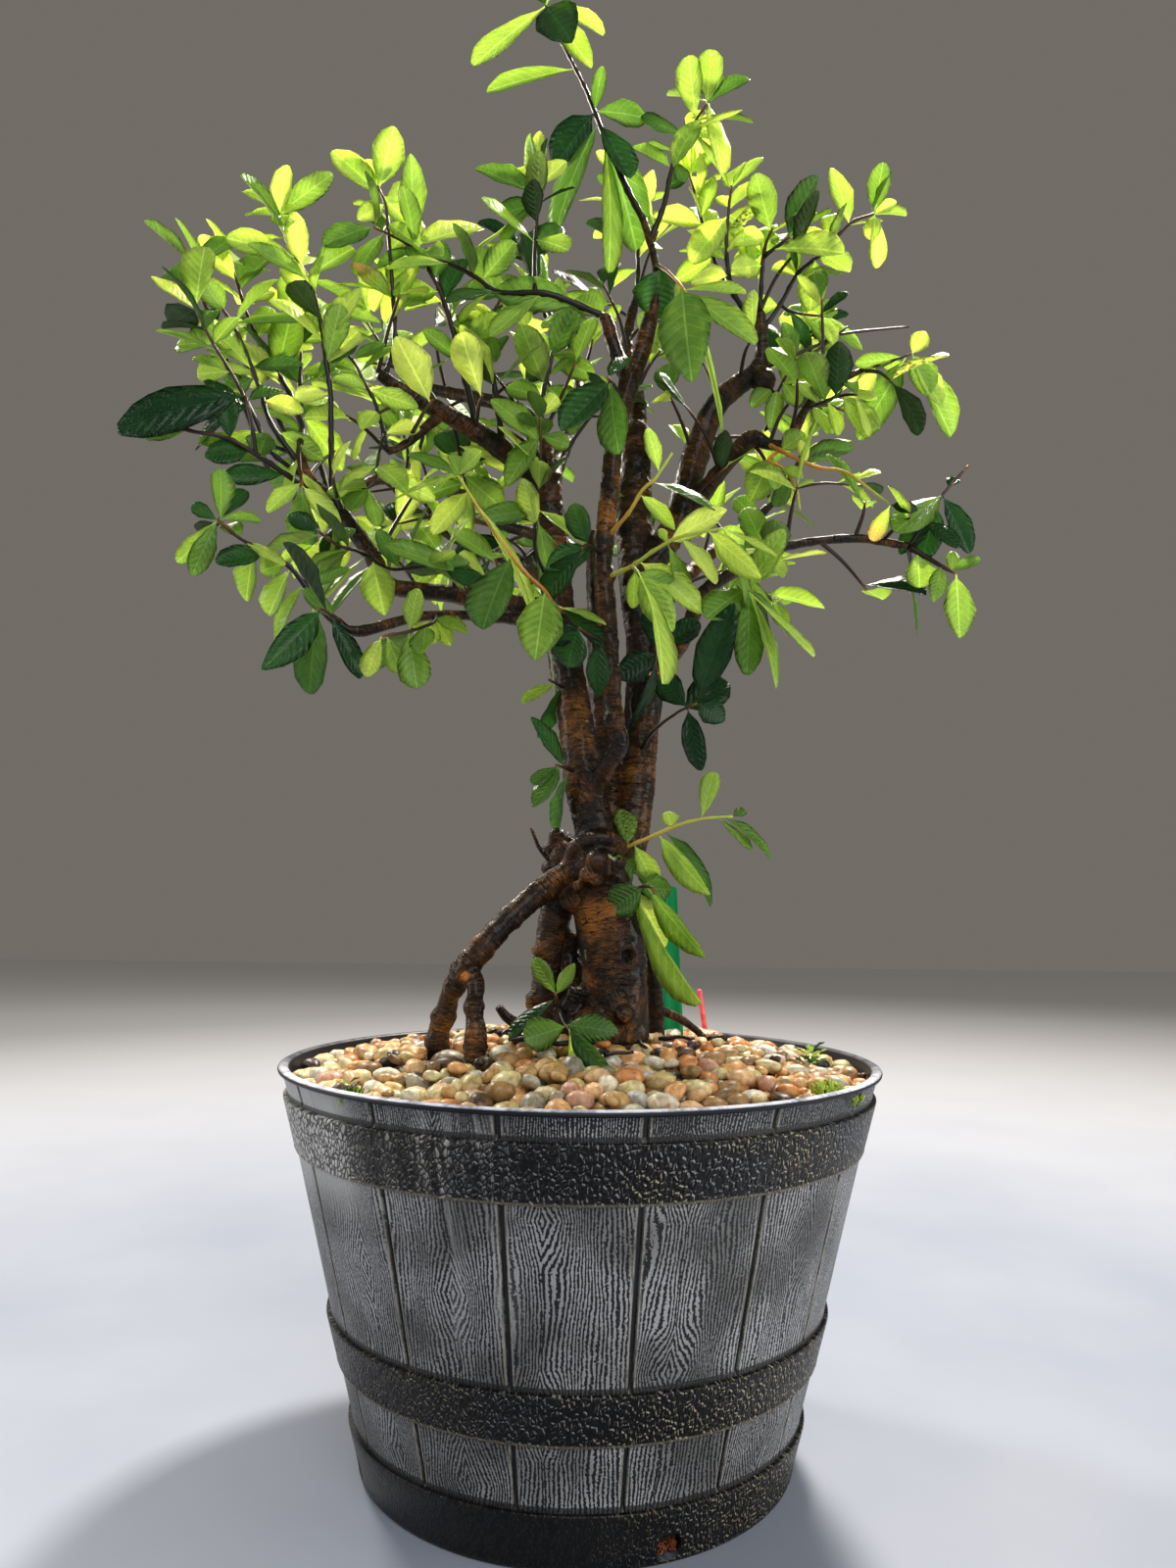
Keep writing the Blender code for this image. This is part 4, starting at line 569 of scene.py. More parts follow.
SHOOTS = {
    "crown_tip": Shoot(2.3, 0, [
        [(37, -51, 819), (26, -48, 842), (15, -45, 871), (6, -42, 896), (-3, -40, 922),
         (-12, -38, 943), (-24, -36, 969), (-34, -34, 995)]],
        [(0, 1.0, 225, 66, 21), (0, 1.0, 285, 54, 27), (0, 1.0, 305, 54, 18), (0, 1.0, 320, 49, 18),
         (0, 0.7, 185, 60, 19), (0, 0.5, 225, 37, 24), (0, 0.45, 295, 48, 19), (0, 0.5, 5, 34, 19),
         (0, 0.4, 300, 59, 29), (0, 0.45, 245, 82, 19), (0, 0.5, 80, 23, 9), (0, 0.4, 280, 82, 15),
         (0, 1.0, 110, 37, 17), (0, 1.0, 65, 40, 18)]),
    "crown_right": Shoot(1.9, 0, [
        [(42, -53, 801), (51, -50, 830), (56, -47, 857), (62, -44, 879), (73, -42, 899),
         (83, -40, 916)]],
        [(0, 1.0, 125, 39, 11), (0, 1.0, 80, 33, 15), (0, 1.0, 35, 33, 15), (0, 1.0, 280, 58, 15),
         (0, 0.95, 315, 23, 8), (0, 0.95, 220, 13, 11), (0, 0.5, 145, 31, 14),
         (0, 0.55, 300, 14, 11)]),
    "crown_high": Shoot(2.2, 2, [
        [(126, 12, 778), (109, 4, 794), (102, -4, 808), (100, -8, 829), (101, -12, 853),
         (103, -14, 871)],
        [(109, 4, 794), (96, 14, 824), (84, 14, 863), (79, 10, 880), (74, 8, 896)]],
        [(1, 1.0, 130, 14, 9), (1, 1.0, 95, 16, 10), (1, 1.0, 25, 21, 12), (1, 1.0, 320, 19, 12),
         (1, 1.0, 210, 18, 12), (1, 0.65, 195, 34, 16), (1, 0.4, 215, 32, 15),
         (0, 0.85, 130, 12, 9), (0, 0.8, 230, 38, 21), (0, 0.8, 305, 30, 16), (0, 0.6, 15, 25, 16),
         (0, 0.5, 140, 28, 13), (0, 0.4, 35, 24, 13)]),
    "right_high": Shoot(2.0, 1, [
        [(127, 10, 790), (127, 0, 815), (129, -6, 831), (133, -12, 840)],
        [(128, -4, 823), (138, -10, 828), (145, -14, 832)]],
        [(0, 0.8, 80, 26, 14), (1, 0.35, 340, 40, 22), (1, 1.0, 45, 42, 7), (1, 1.0, 15, 41, 17),
         (1, 0.8, 355, 38, 13), (0, 0.55, 210, 26, 16), (0, 0.3, 105, 30, 13),
         (0, 0.7, 185, 20, 12)]),
    "right_long": Shoot(1.7, 1, [
        [(131, 14, 774), (142, 8, 793), (154, 0, 813), (171, -6, 825), (183, -10, 838),
         (192, -14, 845), (206, -18, 848)],
        [(142, 8, 793), (150, 18, 794), (163, 28, 797), (178, 32, 798)]],
        [(0, 1.0, 85, 28, 14), (0, 1.0, 30, 16, 9), (0, 1.0, 265, 15, 11), (0, 1.0, 280, 32, 14),
         (0, 0.55, 260, 41, 18), (0, 0.2, 170, 22, 14), (0, 0.4, 150, 18, 12), (1, 1.0, 50, 12, 9),
         (1, 0.95, 185, 9, 9), (1, 1.0, 285, 25, 13), (1, 0.3, 320, 28, 12)]),
    "right_tip": Shoot(1.3, 1, [
        [(190, -37, 719), (206, -40, 723), (223, -42, 728)]],
        [(0, 1.0, 60, 14, 12), (0, 0.9, 240, 51, 19), (0, 1.0, 290, 28, 18), (0, 1.0, 310, 53, 28),
         (0, 0.85, 190, 31, 8), (0, 1.0, 300, 38, 16), (0, 0.3, 240, 21, 12)]),
    "right_side": Shoot(1.3, 2, [
        [(154, -24, 696), (162, -40, 695), (171, -52, 692), (180, -60, 689)]],
        [(0, 0.45, 285, 24, 11), (0, 0.75, 295, 31, 11), (0, 1.0, 120, 13, 9),
         (0, 0.25, 120, 23, 14), (0, 0.4, 90, 24, 13), (0, 0.15, 285, 24, 11)]),
    "right_inner": Shoot(1.3, 2, [
        [(131, 20, 749), (138, 14, 727), (144, 8, 734), (152, 4, 748)]],
        [(0, 1.0, 115, 22, 12), (0, 0.85, 15, 24, 16), (0, 0.55, 260, 28, 12),
         (0, 0.65, 285, 26, 12), (0, 0.4, 225, 21, 13)]),
    "orange_shoot": Shoot(1.5, 0, [
        [(128, -14, 672), (132, -26, 663), (140, -36, 656), (155, -48, 643), (171, -58, 636),
         (184, -66, 622), (197, -72, 608)],
        [(132, -26, 663), (125, -32, 654), (135, -36, 647), (143, -38, 631), (145, -38, 617)]],
        [(0, 1.0, 245, 21, 10), (0, 1.0, 345, 15, 8), (0, 0.4, 105, 15, 7), (1, 0.1, 240, 26, 20),
         (1, 0.25, 275, 20, 14), (1, 0.4, 320, 15, 9), (1, 0.55, 250, 17, 11),
         (0, 0.15, 35, 18, 15)]),
    "low_right_end": Shoot(1.3, 0, [
        [(219, -42, 592), (229, -46, 608), (240, -48, 626), (257, -50, 645)]],
        [(0, 0.6, 220, 47, 21), (0, 0.55, 235, 35, 15), (0, 0.5, 255, 36, 18),
         (0, 0.6, 300, 39, 15), (0, 0.7, 55, 13, 8), (0, 0.3, 305, 24, 12)]),
    "low_right_tip": Shoot(2.0, 0, [
        [(219, -42, 588), (230, -42, 585), (240, -42, 577), (249, -42, 572)]],
        [(0, 0.2, 275, 22, 20), (0, 0.9, 25, 15, 8), (0, 1.0, 270, 41, 20), (0, 0.7, 250, 26, 11),
         (0, 0.9, 75, 16, 8)]),
    "low_right_front": Shoot(1.3, 1, [
        [(105, -33, 575), (104, -60, 560), (102, -88, 544)]],
        [(0, 0.85, 220, 33, 20), (0, 1.0, 270, 48, 18), (0, 1.0, 290, 58, 10),
         (0, 1.0, 310, 53, 10), (0, 0.85, 330, 37, 8), (0, 0.9, 60, 31, 14)]),
    "yellow_shoot": Shoot(1.4, 1, [
        [(18, -72, 559), (29, -84, 561), (41, -94, 567), (55, -102, 573), (70, -108, 575),
         (83, -112, 576)],
        [(29, -84, 561), (31, -98, 554), (32, -108, 549)]],
        [(0, 1.0, 340, 34, 8), (0, 0.9, 305, 42, 8), (0, 1.0, 305, 45, 11), (0, 0.6, 295, 38, 11),
         (0, 0.35, 320, 45, 16), (0, 0.6, 120, 8, 6), (0, 0.7, 310, 33, 10), (1, 1.0, 300, 37, 17),
         (1, 0.8, 340, 27, 13), (1, 1.0, 290, 66, 10), (1, 0.4, 270, 20, 9)]),
    "orange_spur": Shoot(1.3, 0, [
        [(17, -74, 585), (26, -84, 595), (35, -92, 608), (42, -96, 613), (47, -98, 620),
         (53, -100, 629)]],
        [(0, 0.7, 335, 40, 9), (0, 0.8, 105, 26, 9), (0, 0.55, 320, 28, 10)]),
    "left_front_shoot": Shoot(1.6, 0, [
        [(7, -68, 527), (-5, -82, 529), (-19, -96, 531), (-25, -104, 538), (-38, -108, 549),
         (-51, -112, 565), (-64, -116, 583), (-78, -118, 605)]],
        [(0, 0.4, 265, 43, 23), (0, 0.3, 255, 27, 14), (0, 0.3, 335, 34, 12), (0, 0.3, 355, 29, 7),
         (0, 0.6, 250, 45, 26), (0, 1.0, 185, 46, 10), (0, 1.0, 150, 32, 9), (0, 1.0, 105, 15, 8),
         (0, 1.0, 35, 16, 11), (0, 0.9, 305, 72, 7)]),
    "centre_front": Shoot(1.3, 0, [
        [(44, -58, 784), (51, -72, 768), (58, -86, 751), (62, -92, 741)]],
        [(0, 0.95, 355, 36, 11), (0, 0.9, 270, 72, 29), (0, 1.0, 315, 55, 18),
         (0, 1.0, 295, 75, 10), (0, 0.7, 285, 28, 9), (0, 0.2, 265, 29, 28)]),
    "left_lead": Shoot(1.7, 2, [
        [(-136, -54, 703), (-131, -56, 723), (-133, -58, 757), (-136, -60, 791), (-139, -61, 818),
         (-145, -62, 833)]],
        [(0, 0.95, 140, 38, 19), (0, 1.0, 115, 21, 13), (0, 1.0, 65, 22, 9), (0, 0.95, 320, 18, 15),
         (0, 0.9, 225, 21, 11), (0, 0.9, 60, 33, 16), (0, 0.8, 315, 31, 13), (0, 0.6, 230, 27, 13),
         (0, 0.35, 35, 23, 12)]),
    "left_tall": Shoot(2.4, 1, [
        [(-72, -30, 678), (-90, -40, 727), (-101, -44, 763), (-109, -46, 779), (-118, -48, 796),
         (-123, -50, 805)]],
        [(0, 1.0, 85, 41, 14), (0, 0.95, 45, 53, 23), (0, 0.9, 340, 16, 18), (0, 1.0, 15, 11, 7),
         (0, 0.7, 205, 28, 16), (0, 0.55, 335, 27, 16), (0, 0.4, 30, 31, 15),
         (0, 0.35, 150, 25, 12)]),
    "left_mid": Shoot(2.2, 2, [
        [(-55, -22, 669), (-65, -28, 704), (-70, -32, 734), (-67, -34, 758), (-61, -36, 769)]],
        [(0, 1.0, 310, 25, 18), (0, 0.75, 280, 22, 10), (0, 1.0, 170, 28, 18),
         (0, 0.6, 140, 27, 15), (0, 0.8, 140, 21, 12)]),
    "left_level": Shoot(2.0, 2, [
        [(13, -76, 738), (-1, -80, 743), (-27, -76, 748), (-59, -72, 751), (-76, -70, 763),
         (-93, -68, 773), (-110, -66, 779), (-127, -64, 792), (-147, -62, 803)],
        [(-36, -75, 749), (-37, -66, 783), (-36, -62, 813), (-35, -59, 839)]],
        [(0, 1.0, 220, 32, 19), (0, 0.95, 245, 36, 16), (0, 0.95, 115, 24, 11),
         (0, 0.65, 200, 35, 12), (0, 0.75, 230, 45, 20), (0, 0.25, 225, 43, 14),
         (0, 0.1, 170, 51, 22), (0, 0.0, 140, 23, 22), (0, 0.5, 45, 28, 17), (0, 0.85, 305, 23, 12),
         (1, 0.9, 120, 37, 23), (1, 0.9, 155, 44, 20), (1, 0.95, 105, 38, 7), (1, 0.95, 95, 40, 12),
         (1, 0.85, 230, 47, 11), (1, 0.75, 190, 57, 15), (1, 0.5, 325, 24, 17)]),
    "centre_mid": Shoot(2.0, 2, [
        [(-34, 10, 694), (-33, 12, 724), (-28, 12, 747), (-24, 10, 769), (-18, 8, 782)]],
        [(0, 0.65, 340, 31, 15), (0, 0.65, 5, 28, 10), (0, 0.6, 205, 19, 13), (0, 1.0, 35, 16, 7),
         (0, 0.4, 315, 29, 19), (0, 0.3, 160, 27, 16), (0, 0.9, 140, 17, 12)]),
    "centre_slim": Shoot(1.3, 2, [
        [(-36, -14, 567), (-35, -30, 590), (-33, -36, 630), (-32, -40, 659), (-33, -42, 679)]],
        [(0, 0.9, 235, 38, 17), (0, 0.9, 350, 19, 11), (0, 0.95, 160, 15, 9), (0, 0.5, 200, 34, 13),
         (0, 0.5, 320, 40, 10), (0, 0.45, 285, 55, 17), (0, 1.0, 55, 18, 11)]),
    "top_left": Shoot(1.8, 2, [
        [(-163, -76, 606), (-166, -78, 650), (-167, -80, 676), (-171, -80, 699), (-175, -80, 723),
         (-182, -80, 749), (-189, -80, 762), (-199, -80, 779), (-206, -80, 799)]],
        [(0, 1.0, 135, 34, 10), (0, 1.0, 30, 39, 13), (0, 1.0, 15, 11, 6), (0, 1.0, 300, 19, 16),
         (0, 0.8, 95, 25, 13), (0, 0.75, 160, 32, 12), (0, 0.75, 350, 36, 12), (0, 0.65, 5, 34, 14),
         (0, 0.65, 260, 13, 18), (0, 0.45, 45, 23, 13), (0, 0.35, 200, 18, 11)]),
    "left_outer": Shoot(1.9, 1, [
        [(-182, -76, 624), (-205, -79, 655), (-213, -76, 677), (-225, -76, 706), (-234, -77, 724),
         (-249, -78, 745), (-262, -78, 765)]],
        [(0, 0.7, 10, 48, 13), (0, 0.75, 125, 19, 14), (0, 0.85, 170, 10, 5), (0, 0.1, 245, 24, 23),
         (0, 0.2, 335, 28, 14), (0, 0.45, 205, 22, 17), (0, 0.5, 0, 32, 12),
         (0, 0.35, 340, 26, 12)]),
    "left_broad": Shoot(2.8, 2, [
        [(-188, -66, 642), (-189, -58, 658), (-200, -54, 685), (-218, -50, 715), (-231, -48, 739),
         (-240, -46, 763), (-249, -45, 789)],
        [(-190, -58, 660), (-184, -86, 632), (-176, -104, 603)]],
        [(0, 0.85, 75, 47, 26), (0, 0.8, 45, 22, 12), (0, 0.65, 40, 23, 13), (0, 0.7, 200, 22, 13),
         (0, 0.5, 215, 20, 15), (0, 0.3, 20, 27, 14), (1, 1.0, 265, 29, 19), (1, 1.0, 315, 33, 11),
         (1, 0.95, 230, 25, 11)]),
    "left_edge": Shoot(1.6, 1, [
        [(-177, -79, 615), (-200, -93, 630), (-209, -96, 649), (-223, -100, 675), (-237, -102, 697),
         (-249, -104, 720)]],
        [(0, 0.8, 160, 33, 17), (0, 0.8, 55, 21, 15), (0, 0.35, 215, 23, 16), (0, 0.5, 35, 23, 12),
         (0, 0.65, 175, 23, 12)]),
    "left_inner": Shoot(2.4, 2, [
        [(-166, -66, 608), (-180, -48, 640), (-194, -38, 668), (-202, -25, 703), (-205, -18, 736),
         (-211, -16, 755), (-219, -14, 769)]],
        [(0, 0.75, 190, 33, 11), (0, 0.7, 20, 25, 14), (0, 0.85, 30, 22, 13), (0, 0.5, 310, 35, 19),
         (0, 0.45, 230, 28, 18)]),
    "far_left": Shoot(1.8, 0, [
        [(-163, -78, 600), (-205, -106, 622), (-223, -112, 630), (-246, -116, 633),
         (-267, -118, 642)],
        [(-205, -106, 622), (-207, -110, 640), (-211, -112, 657)]],
        [(0, 0.4, 145, 49, 22), (0, 0.5, 195, 23, 17), (0, 0.8, 185, 26, 14), (0, 0.45, 70, 13, 18),
         (0, 0.6, 95, 24, 13), (0, 0.3, 195, 29, 11), (1, 1.0, 199, 68, 27),
         (1, 0.8, 190, 44, 16)]),
    "left_fall": Shoot(1.8, 0, [
        [(-162, -110, 530), (-173, -112, 542), (-181, -113, 550), (-194, -114, 557),
         (-209, -115, 565), (-223, -116, 576)]],
        [(0, 1.0, 65, 26, 10), (0, 1.0, 150, 16, 8), (0, 1.0, 15, 22, 9), (0, 1.0, 230, 32, 8),
         (0, 1.0, 245, 21, 15), (0, 1.0, 255, 33, 12), (0, 0.65, 245, 29, 15),
         (0, 0.75, 330, 28, 7), (0, 0.4, 200, 14, 13), (0, 0.35, 240, 28, 17),
         (0, 0.2, 235, 37, 11), (0, 0.15, 35, 26, 9)]),
    "low_left_hang": Shoot(1.3, 1, [
        [(-147, -112, 514), (-148, -126, 515), (-151, -136, 515), (-153, -144, 514)]],
        [(0, 1.0, 260, 44, 18), (0, 0.9, 245, 40, 12), (0, 0.55, 295, 34, 10),
         (0, 0.3, 135, 25, 9)]),
    "low_left_pair": Shoot(1.3, 1, [
        [(-91, -80, 528), (-95, -96, 519), (-107, -110, 510), (-121, -118, 505)]],
        [(0, 1.0, 250, 23, 12), (0, 0.95, 290, 19, 12), (0, 0.7, 75, 21, 13), (0, 0.2, 245, 15, 16),
         (0, 0.1, 300, 20, 10), (0, 0.1, 330, 23, 9)]),
    "left_olive": Shoot(1.3, 1, [
        [(-135, -74, 566), (-139, -86, 566), (-142, -94, 565), (-153, -102, 566),
         (-164, -106, 573)],
        [(-139, -86, 566), (-120, -100, 552), (-95, -106, 552), (-76, -108, 547)]],
        [(0, 0.0, 230, 43, 10), (0, 0.3, 225, 46, 7), (0, 0.1, 285, 34, 19), (0, 0.65, 225, 29, 16),
         (0, 1.0, 150, 21, 11), (0, 0.8, 50, 15, 10), (1, 1.0, 160, 43, 13), (1, 0.75, 30, 22, 11),
         (1, 0.45, 120, 24, 11), (1, 0.85, 335, 29, 11)]),
    "left_bright": Shoot(1.3, 2, [
        [(-95, -34, 680), (-92, -10, 672), (-91, 8, 661), (-87, 20, 651)]],
        [(0, 0.6, 115, 25, 24), (0, 0.9, 210, 38, 17), (0, 0.8, 315, 35, 20), (0, 0.7, 40, 27, 17),
         (0, 1.0, 240, 41, 16)]),
    "left_twig_up": Shoot(1.3, 1, [
        [(-132, -66, 647), (-134, -68, 659), (-139, -72, 672), (-146, -74, 685), (-154, -76, 700),
         (-164, -78, 707)],
        [(-133, -67, 655), (-134, -82, 633), (-134, -88, 615), (-140, -90, 606)]],
        [(0, 0.55, 165, 19, 12), (0, 0.55, 350, 29, 12), (0, 0.35, 245, 17, 13),
         (0, 0.85, 30, 22, 10), (0, 0.15, 20, 22, 13), (0, 0.95, 230, 20, 9),
         (1, 0.75, 130, 22, 21), (1, 0.7, 345, 34, 14), (1, 1.0, 170, 26, 14),
         (1, 0.95, 245, 19, 14)]),
    "left_behind": Shoot(1.3, 3, [
        [(-190, 100, 675), (-201, 112, 662), (-214, 120, 652), (-226, 126, 645)]],
        [(0, 0.6, 285, 33, 16), (0, 1.0, 235, 30, 16), (0, 0.4, 320, 37, 15)]),
    "yellow_leaf": Shoot(1.3, 3, [
        [(-130, 114, 662), (-146, 124, 660), (-162, 132, 661), (-177, 138, 667)]],
        [(0, 0.9, 275, 17, 13), (0, 0.55, 110, 30, 18), (0, 0.25, 305, 29, 18)]),
    "left_rear": Shoot(1.8, 3, [
        [(-141, 81, 770), (-156, 90, 787), (-172, 96, 807), (-186, 100, 830)]],
        [(0, 0.8, 190, 33, 21), (0, 1.0, 130, 27, 20), (0, 0.5, 215, 30, 19),
         (0, 0.6, 55, 27, 18)]),
    "front_olive": Shoot(1.3, 0, [
        [(21, -74, 682), (16, -86, 681), (12, -94, 681)]],
        [(0, 0.85, 235, 48, 20), (0, 0.8, 270, 50, 16), (0, 1.0, 60, 26, 10)]),
    "mid_olive": Shoot(1.3, 0, [
        [(5, -76, 575), (1, -88, 573), (-3, -98, 567)]],
        [(0, 0.45, 210, 31, 16), (0, 0.9, 230, 35, 18), (0, 0.65, 115, 25, 14)]),
    "mid_dark": Shoot(1.3, 0, [
        [(9, -74, 514), (2, -86, 516), (-4, -94, 518)]],
        [(0, 1.0, 250, 22, 22), (0, 0.35, 270, 32, 14), (0, 0.95, 195, 20, 12)]),
    "stub_sprout": Shoot(1.3, 0, [
        [(47, -16, 511), (47, -30, 514), (47, -44, 518)]],
        [(0, 0.8, 215, 29, 18), (0, 0.55, 265, 72, 19), (0, 1.0, 30, 30, 14),
         (0, 1.0, 105, 22, 12)]),
    "right_cluster": Shoot(1.3, 0, [
        [(39, -18, 454), (45, -40, 462), (59, -62, 471), (71, -76, 475)]],
        [(0, 1.0, 75, 48, 19), (0, 0.85, 35, 33, 21), (0, 1.0, 325, 18, 15), (0, 0.9, 280, 37, 12),
         (0, 0.9, 130, 25, 16)]),
    "burl_sprout": Shoot(1.4, 0, [
        [(27, -36, 381), (34, -46, 386), (42, -54, 391), (53, -60, 396), (64, -64, 400),
         (78, -68, 403), (94, -70, 404)]],
        [(0, 0.25, 96, 27, 14), (0, 0.2, 78, 26, 10), (0, 0.15, 320, 38, 10), (0, 0.3, 300, 28, 14),
         (0, 0.5, 305, 44, 11), (0, 0.55, 310, 52, 10), (0, 0.6, 105, 10, 10), (0, 0.8, 75, 31, 11),
         (0, 0.95, 325, 36, 7), (0, 0.9, 320, 27, 6), (0, 1.0, 30, 10, 6)]),
    "trunk_sprout": Shoot(1.3, 0, [
        [(38, -38, 358), (39, -50, 361), (41, -60, 360), (45, -66, 355)]],
        [(0, 0.75, 215, 24, 20), (0, 0.5, 110, 22, 11), (0, 0.65, 0, 20, 15), (0, 0.6, 300, 40, 16),
         (0, 0.85, 305, 48, 11), (0, 0.55, 295, 69, 9)]),
    "root_sprout": Shoot(1.3, 0, [
        [(-13, -48, 276), (-14, -62, 286), (-16, -70, 294)],
        [(-13, -56, 280), (-10, -78, 276), (-7, -90, 274)]],
        [(0, 0.95, 120, 23, 10), (0, 0.95, 60, 20, 8), (0, 0.9, 220, 35, 8), (1, 0.8, 195, 23, 18),
         (1, 0.7, 355, 29, 15), (1, 0.9, 315, 31, 11), (1, 1.0, 280, 33, 11)]),
    "small_left": Shoot(1.3, 0, [
        [(-24, -26, 492), (-27, -36, 493), (-24, -44, 496)]],
        [(0, 0.7, 220, 25, 8), (0, 0.45, 250, 34, 9), (0, 0.4, 275, 22, 9)]),
    "small_low": Shoot(1.3, 0, [
        [(-10, -38, 434), (-14, -48, 436), (-18, -54, 438)]],
        [(0, 0.7, 120, 32, 9), (0, 0.85, 240, 30, 11), (0, 0.55, 255, 41, 9),
         (0, 0.9, 220, 20, 9)]),
    "back_top": Shoot(2.2, 9, [
        [(-27, 122, 823), (-34, 126, 843), (-48, 130, 881), (-57, 132, 918)]]),
    "back_crown": Shoot(2.4, 9, [[(40, 98, 857), (41, 104, 884), (38, 110, 927), (31, 114, 962)]]),
    "back_right": Shoot(2.2, 9, [
        [(172, 148, 709), (184, 154, 735), (196, 158, 764), (203, 160, 792)]]),
    "back_left": Shoot(2.2, 9, [
        [(-145, 152, 702), (-155, 156, 732), (-167, 160, 760), (-175, 162, 793)]]),
    "back_low": Shoot(1.8, 8, [
        [(109, 102, 640), (127, 118, 626), (145, 128, 613), (158, 134, 602)]]),
    "rear_right_up": Shoot(1.8, 8, [
        [(137, 24, 744), (154, 60, 783), (171, 84, 809), (191, 100, 831)]]),
}


@dataclass(frozen=True)
class RubbedStaveFinish(Finish):
    """Black moulded polypropylene whose wood-grain relief was rubbed with grey paint.

    The eye sees broken grey lines that run up each stave and part round pointed hearts.
    """

    ridge: str = "9fa0a1"
    worn_ridge: str = "5f5f5c"
    valley: str = "0c0c0e"
    stain: str = "c4c5c3"
    # Colour of the seams, also used for the painted shadow line over each hoop.
    edge_highlight: str = "aca698"
    # Colour of the painted highlight along the grooves' edges.
    seam_and_shadow: str = "0b0b0c"
    # The real grain lines are 2.1 mm apart; drawn at 2.4 mm, the render holds them.
    line_spacing: float = 2.4
    heart_size: tuple = (8.0, 25.0)
    heart_spacing: float = 52.0
    # Heights between which the long staves end and the short ones start.
    short_staves: tuple = (221.0, 222.0)
    relief: float = 0.5

    def feeds(self, add: NodeAdder) -> dict:
        """Pale grain lines over near-black, darker in the seams and in the painted shadow line over
        each hoop, with a painted highlight along the grooves' edges.

        Args:
            add: Adds nodes to the material's tree.

        Returns:
            Sockets and values by the shader's inputs.
        """
        x, y, _ = add.axes(add("VectorMath", add("UVMap", uv_map="grain"), (1e3, 1e3, 1e3),
                               operation="MULTIPLY"))
        stave = add.stored("stave")
        slow = add.noise(add("CombineXYZ", add.times(y, 0.3), add.times(stave, 900.0), x), 0.05,
                         1.0)
        sway = add.mapped(slow, 0.0, 1.0, -7.0, 7.0)
        heart = add.mapped(stave, 0.0, 1.0, -17.0, 17.0)
        apart = add.math("ABSOLUTE", add.plus(add.minus(x, heart), sway))
        # Lines bulge by up to 8 mm round a heart, 25 mm above and below its middle.
        level = add.scaled(stave, 917.0, y)
        climb = add.math("PINGPONG", level, self.heart_spacing)
        bulge = add.mapped(climb, self.heart_spacing - self.heart_size[1], self.heart_spacing,
                           0.0, self.heart_size[0])
        near = add.eased(apart, 26.0, 6.0)
        ring = add.minus(apart, add.times(bulge, near))
        # Specks 2 mm wide and 8 mm tall break the lines up.
        speck_place = add("CombineXYZ", x, add.times(y, 0.27), add.times(stave, 90.0))
        speck = add.noise(speck_place, 0.44, 2.0)
        pits = add.noise(add("CombineXYZ", x, y), 0.7, 1.0)
        # The short staves over the top hoop have closer lines.
        pitch = add.mapped(y, *self.short_staves, 2 * math.pi / self.line_spacing,
                           2.8 * math.pi / self.line_spacing)
        phase = add.scaled(ring, pitch, add.times(speck, 5.0))
        wave = add.scaled(pits, 4.4, add.math("SINE", phase))
        wave = add.minus(wave, add.mapped(y, *self.short_staves, 0.0, 0.6))
        line = add.eased(wave, 1.8, 2.55)
        place = add.place()
        wear_and_edge_light = add.noise(place, 22.0, 4.0)
        rub_and_highlight = add.eased(wear_and_edge_light, 0.32, 0.66)
        ridge = add.mix(rub_and_highlight, self.worn_ridge, self.ridge)
        paint = add.mix(line, self.valley, ridge)
        stained = add.mix(stains(add, 0.75), paint, self.stain)
        # A painted highlight along both edges of each groove.
        edge = add.times(add.stored("edge"), add.mapped(speck, 0.3, 0.7, 0.2, 0.9))
        edged = add.mix(edge, stained, self.edge_highlight)
        # The seams' grooves stay black, and the painted shadow line over each hoop is darkened with
        # them.
        groove_and_shadow = add.stored("groove_and_shadow")
        raised = add.times(line, add.minus(1.0, groove_and_shadow))
        return {"Base Color": add.mix(groove_and_shadow, edged, self.seam_and_shadow),
                "Roughness": add.mapped(line, 0.0, 1.0, 0.5, 0.36),
                "Normal": add.relief(raised, 0.9, self.relief)}


# The streaks stand 34 to 8 degrees left of the front, the dried bloom 45 to 105 degrees. Each row:
# radians over which it starts and ends, metres over which it rises, noise from bare to full.
STAIN_ZONES = ((-0.64, -0.5, -0.12, -0.26, 0.10, 0.16, 0.46, 0.86),
               (-1.95, -1.75, -0.62, -0.82, 0.165, 0.2, 0.1, 0.45))


def stains(add: NodeAdder, strength: float) -> NodeSocket:
    """Cover of the dried lime haze and streaks on the pot, a little left of its front.

    Args:
        add: Adds nodes to the material's tree.
        strength: How much a full streak covers.

    Returns:
        The cover, from 0 to strength.
    """
    x, y, z = add.axes(add.place())
    turn = add.math("ARCTAN2", x, add.times(y, -1.0))
    # Streaks are about 8 mm wide and ten times as long, and lean a little.
    line = add("Mapping", add("CombineXYZ", turn, z), None, (0.0, 0.0, 0.12), (24.0, 9.0, 1.0))
    runs = add.noise(line, 1.0, 4.0, roughness=0.65, distortion=0.7)
    cover = None
    for low, high, end, last, foot, top, first, full in STAIN_ZONES:
        streak = add.eased(runs, first, full)
        for value, start, stop in ((turn, low, high), (turn, end, last), (z, foot, top)):
            streak = add.times(streak, add.eased(value, start, stop))
        cover = add.plus(streak, cover) if cover is not None else streak
    return add.times(cover, strength)


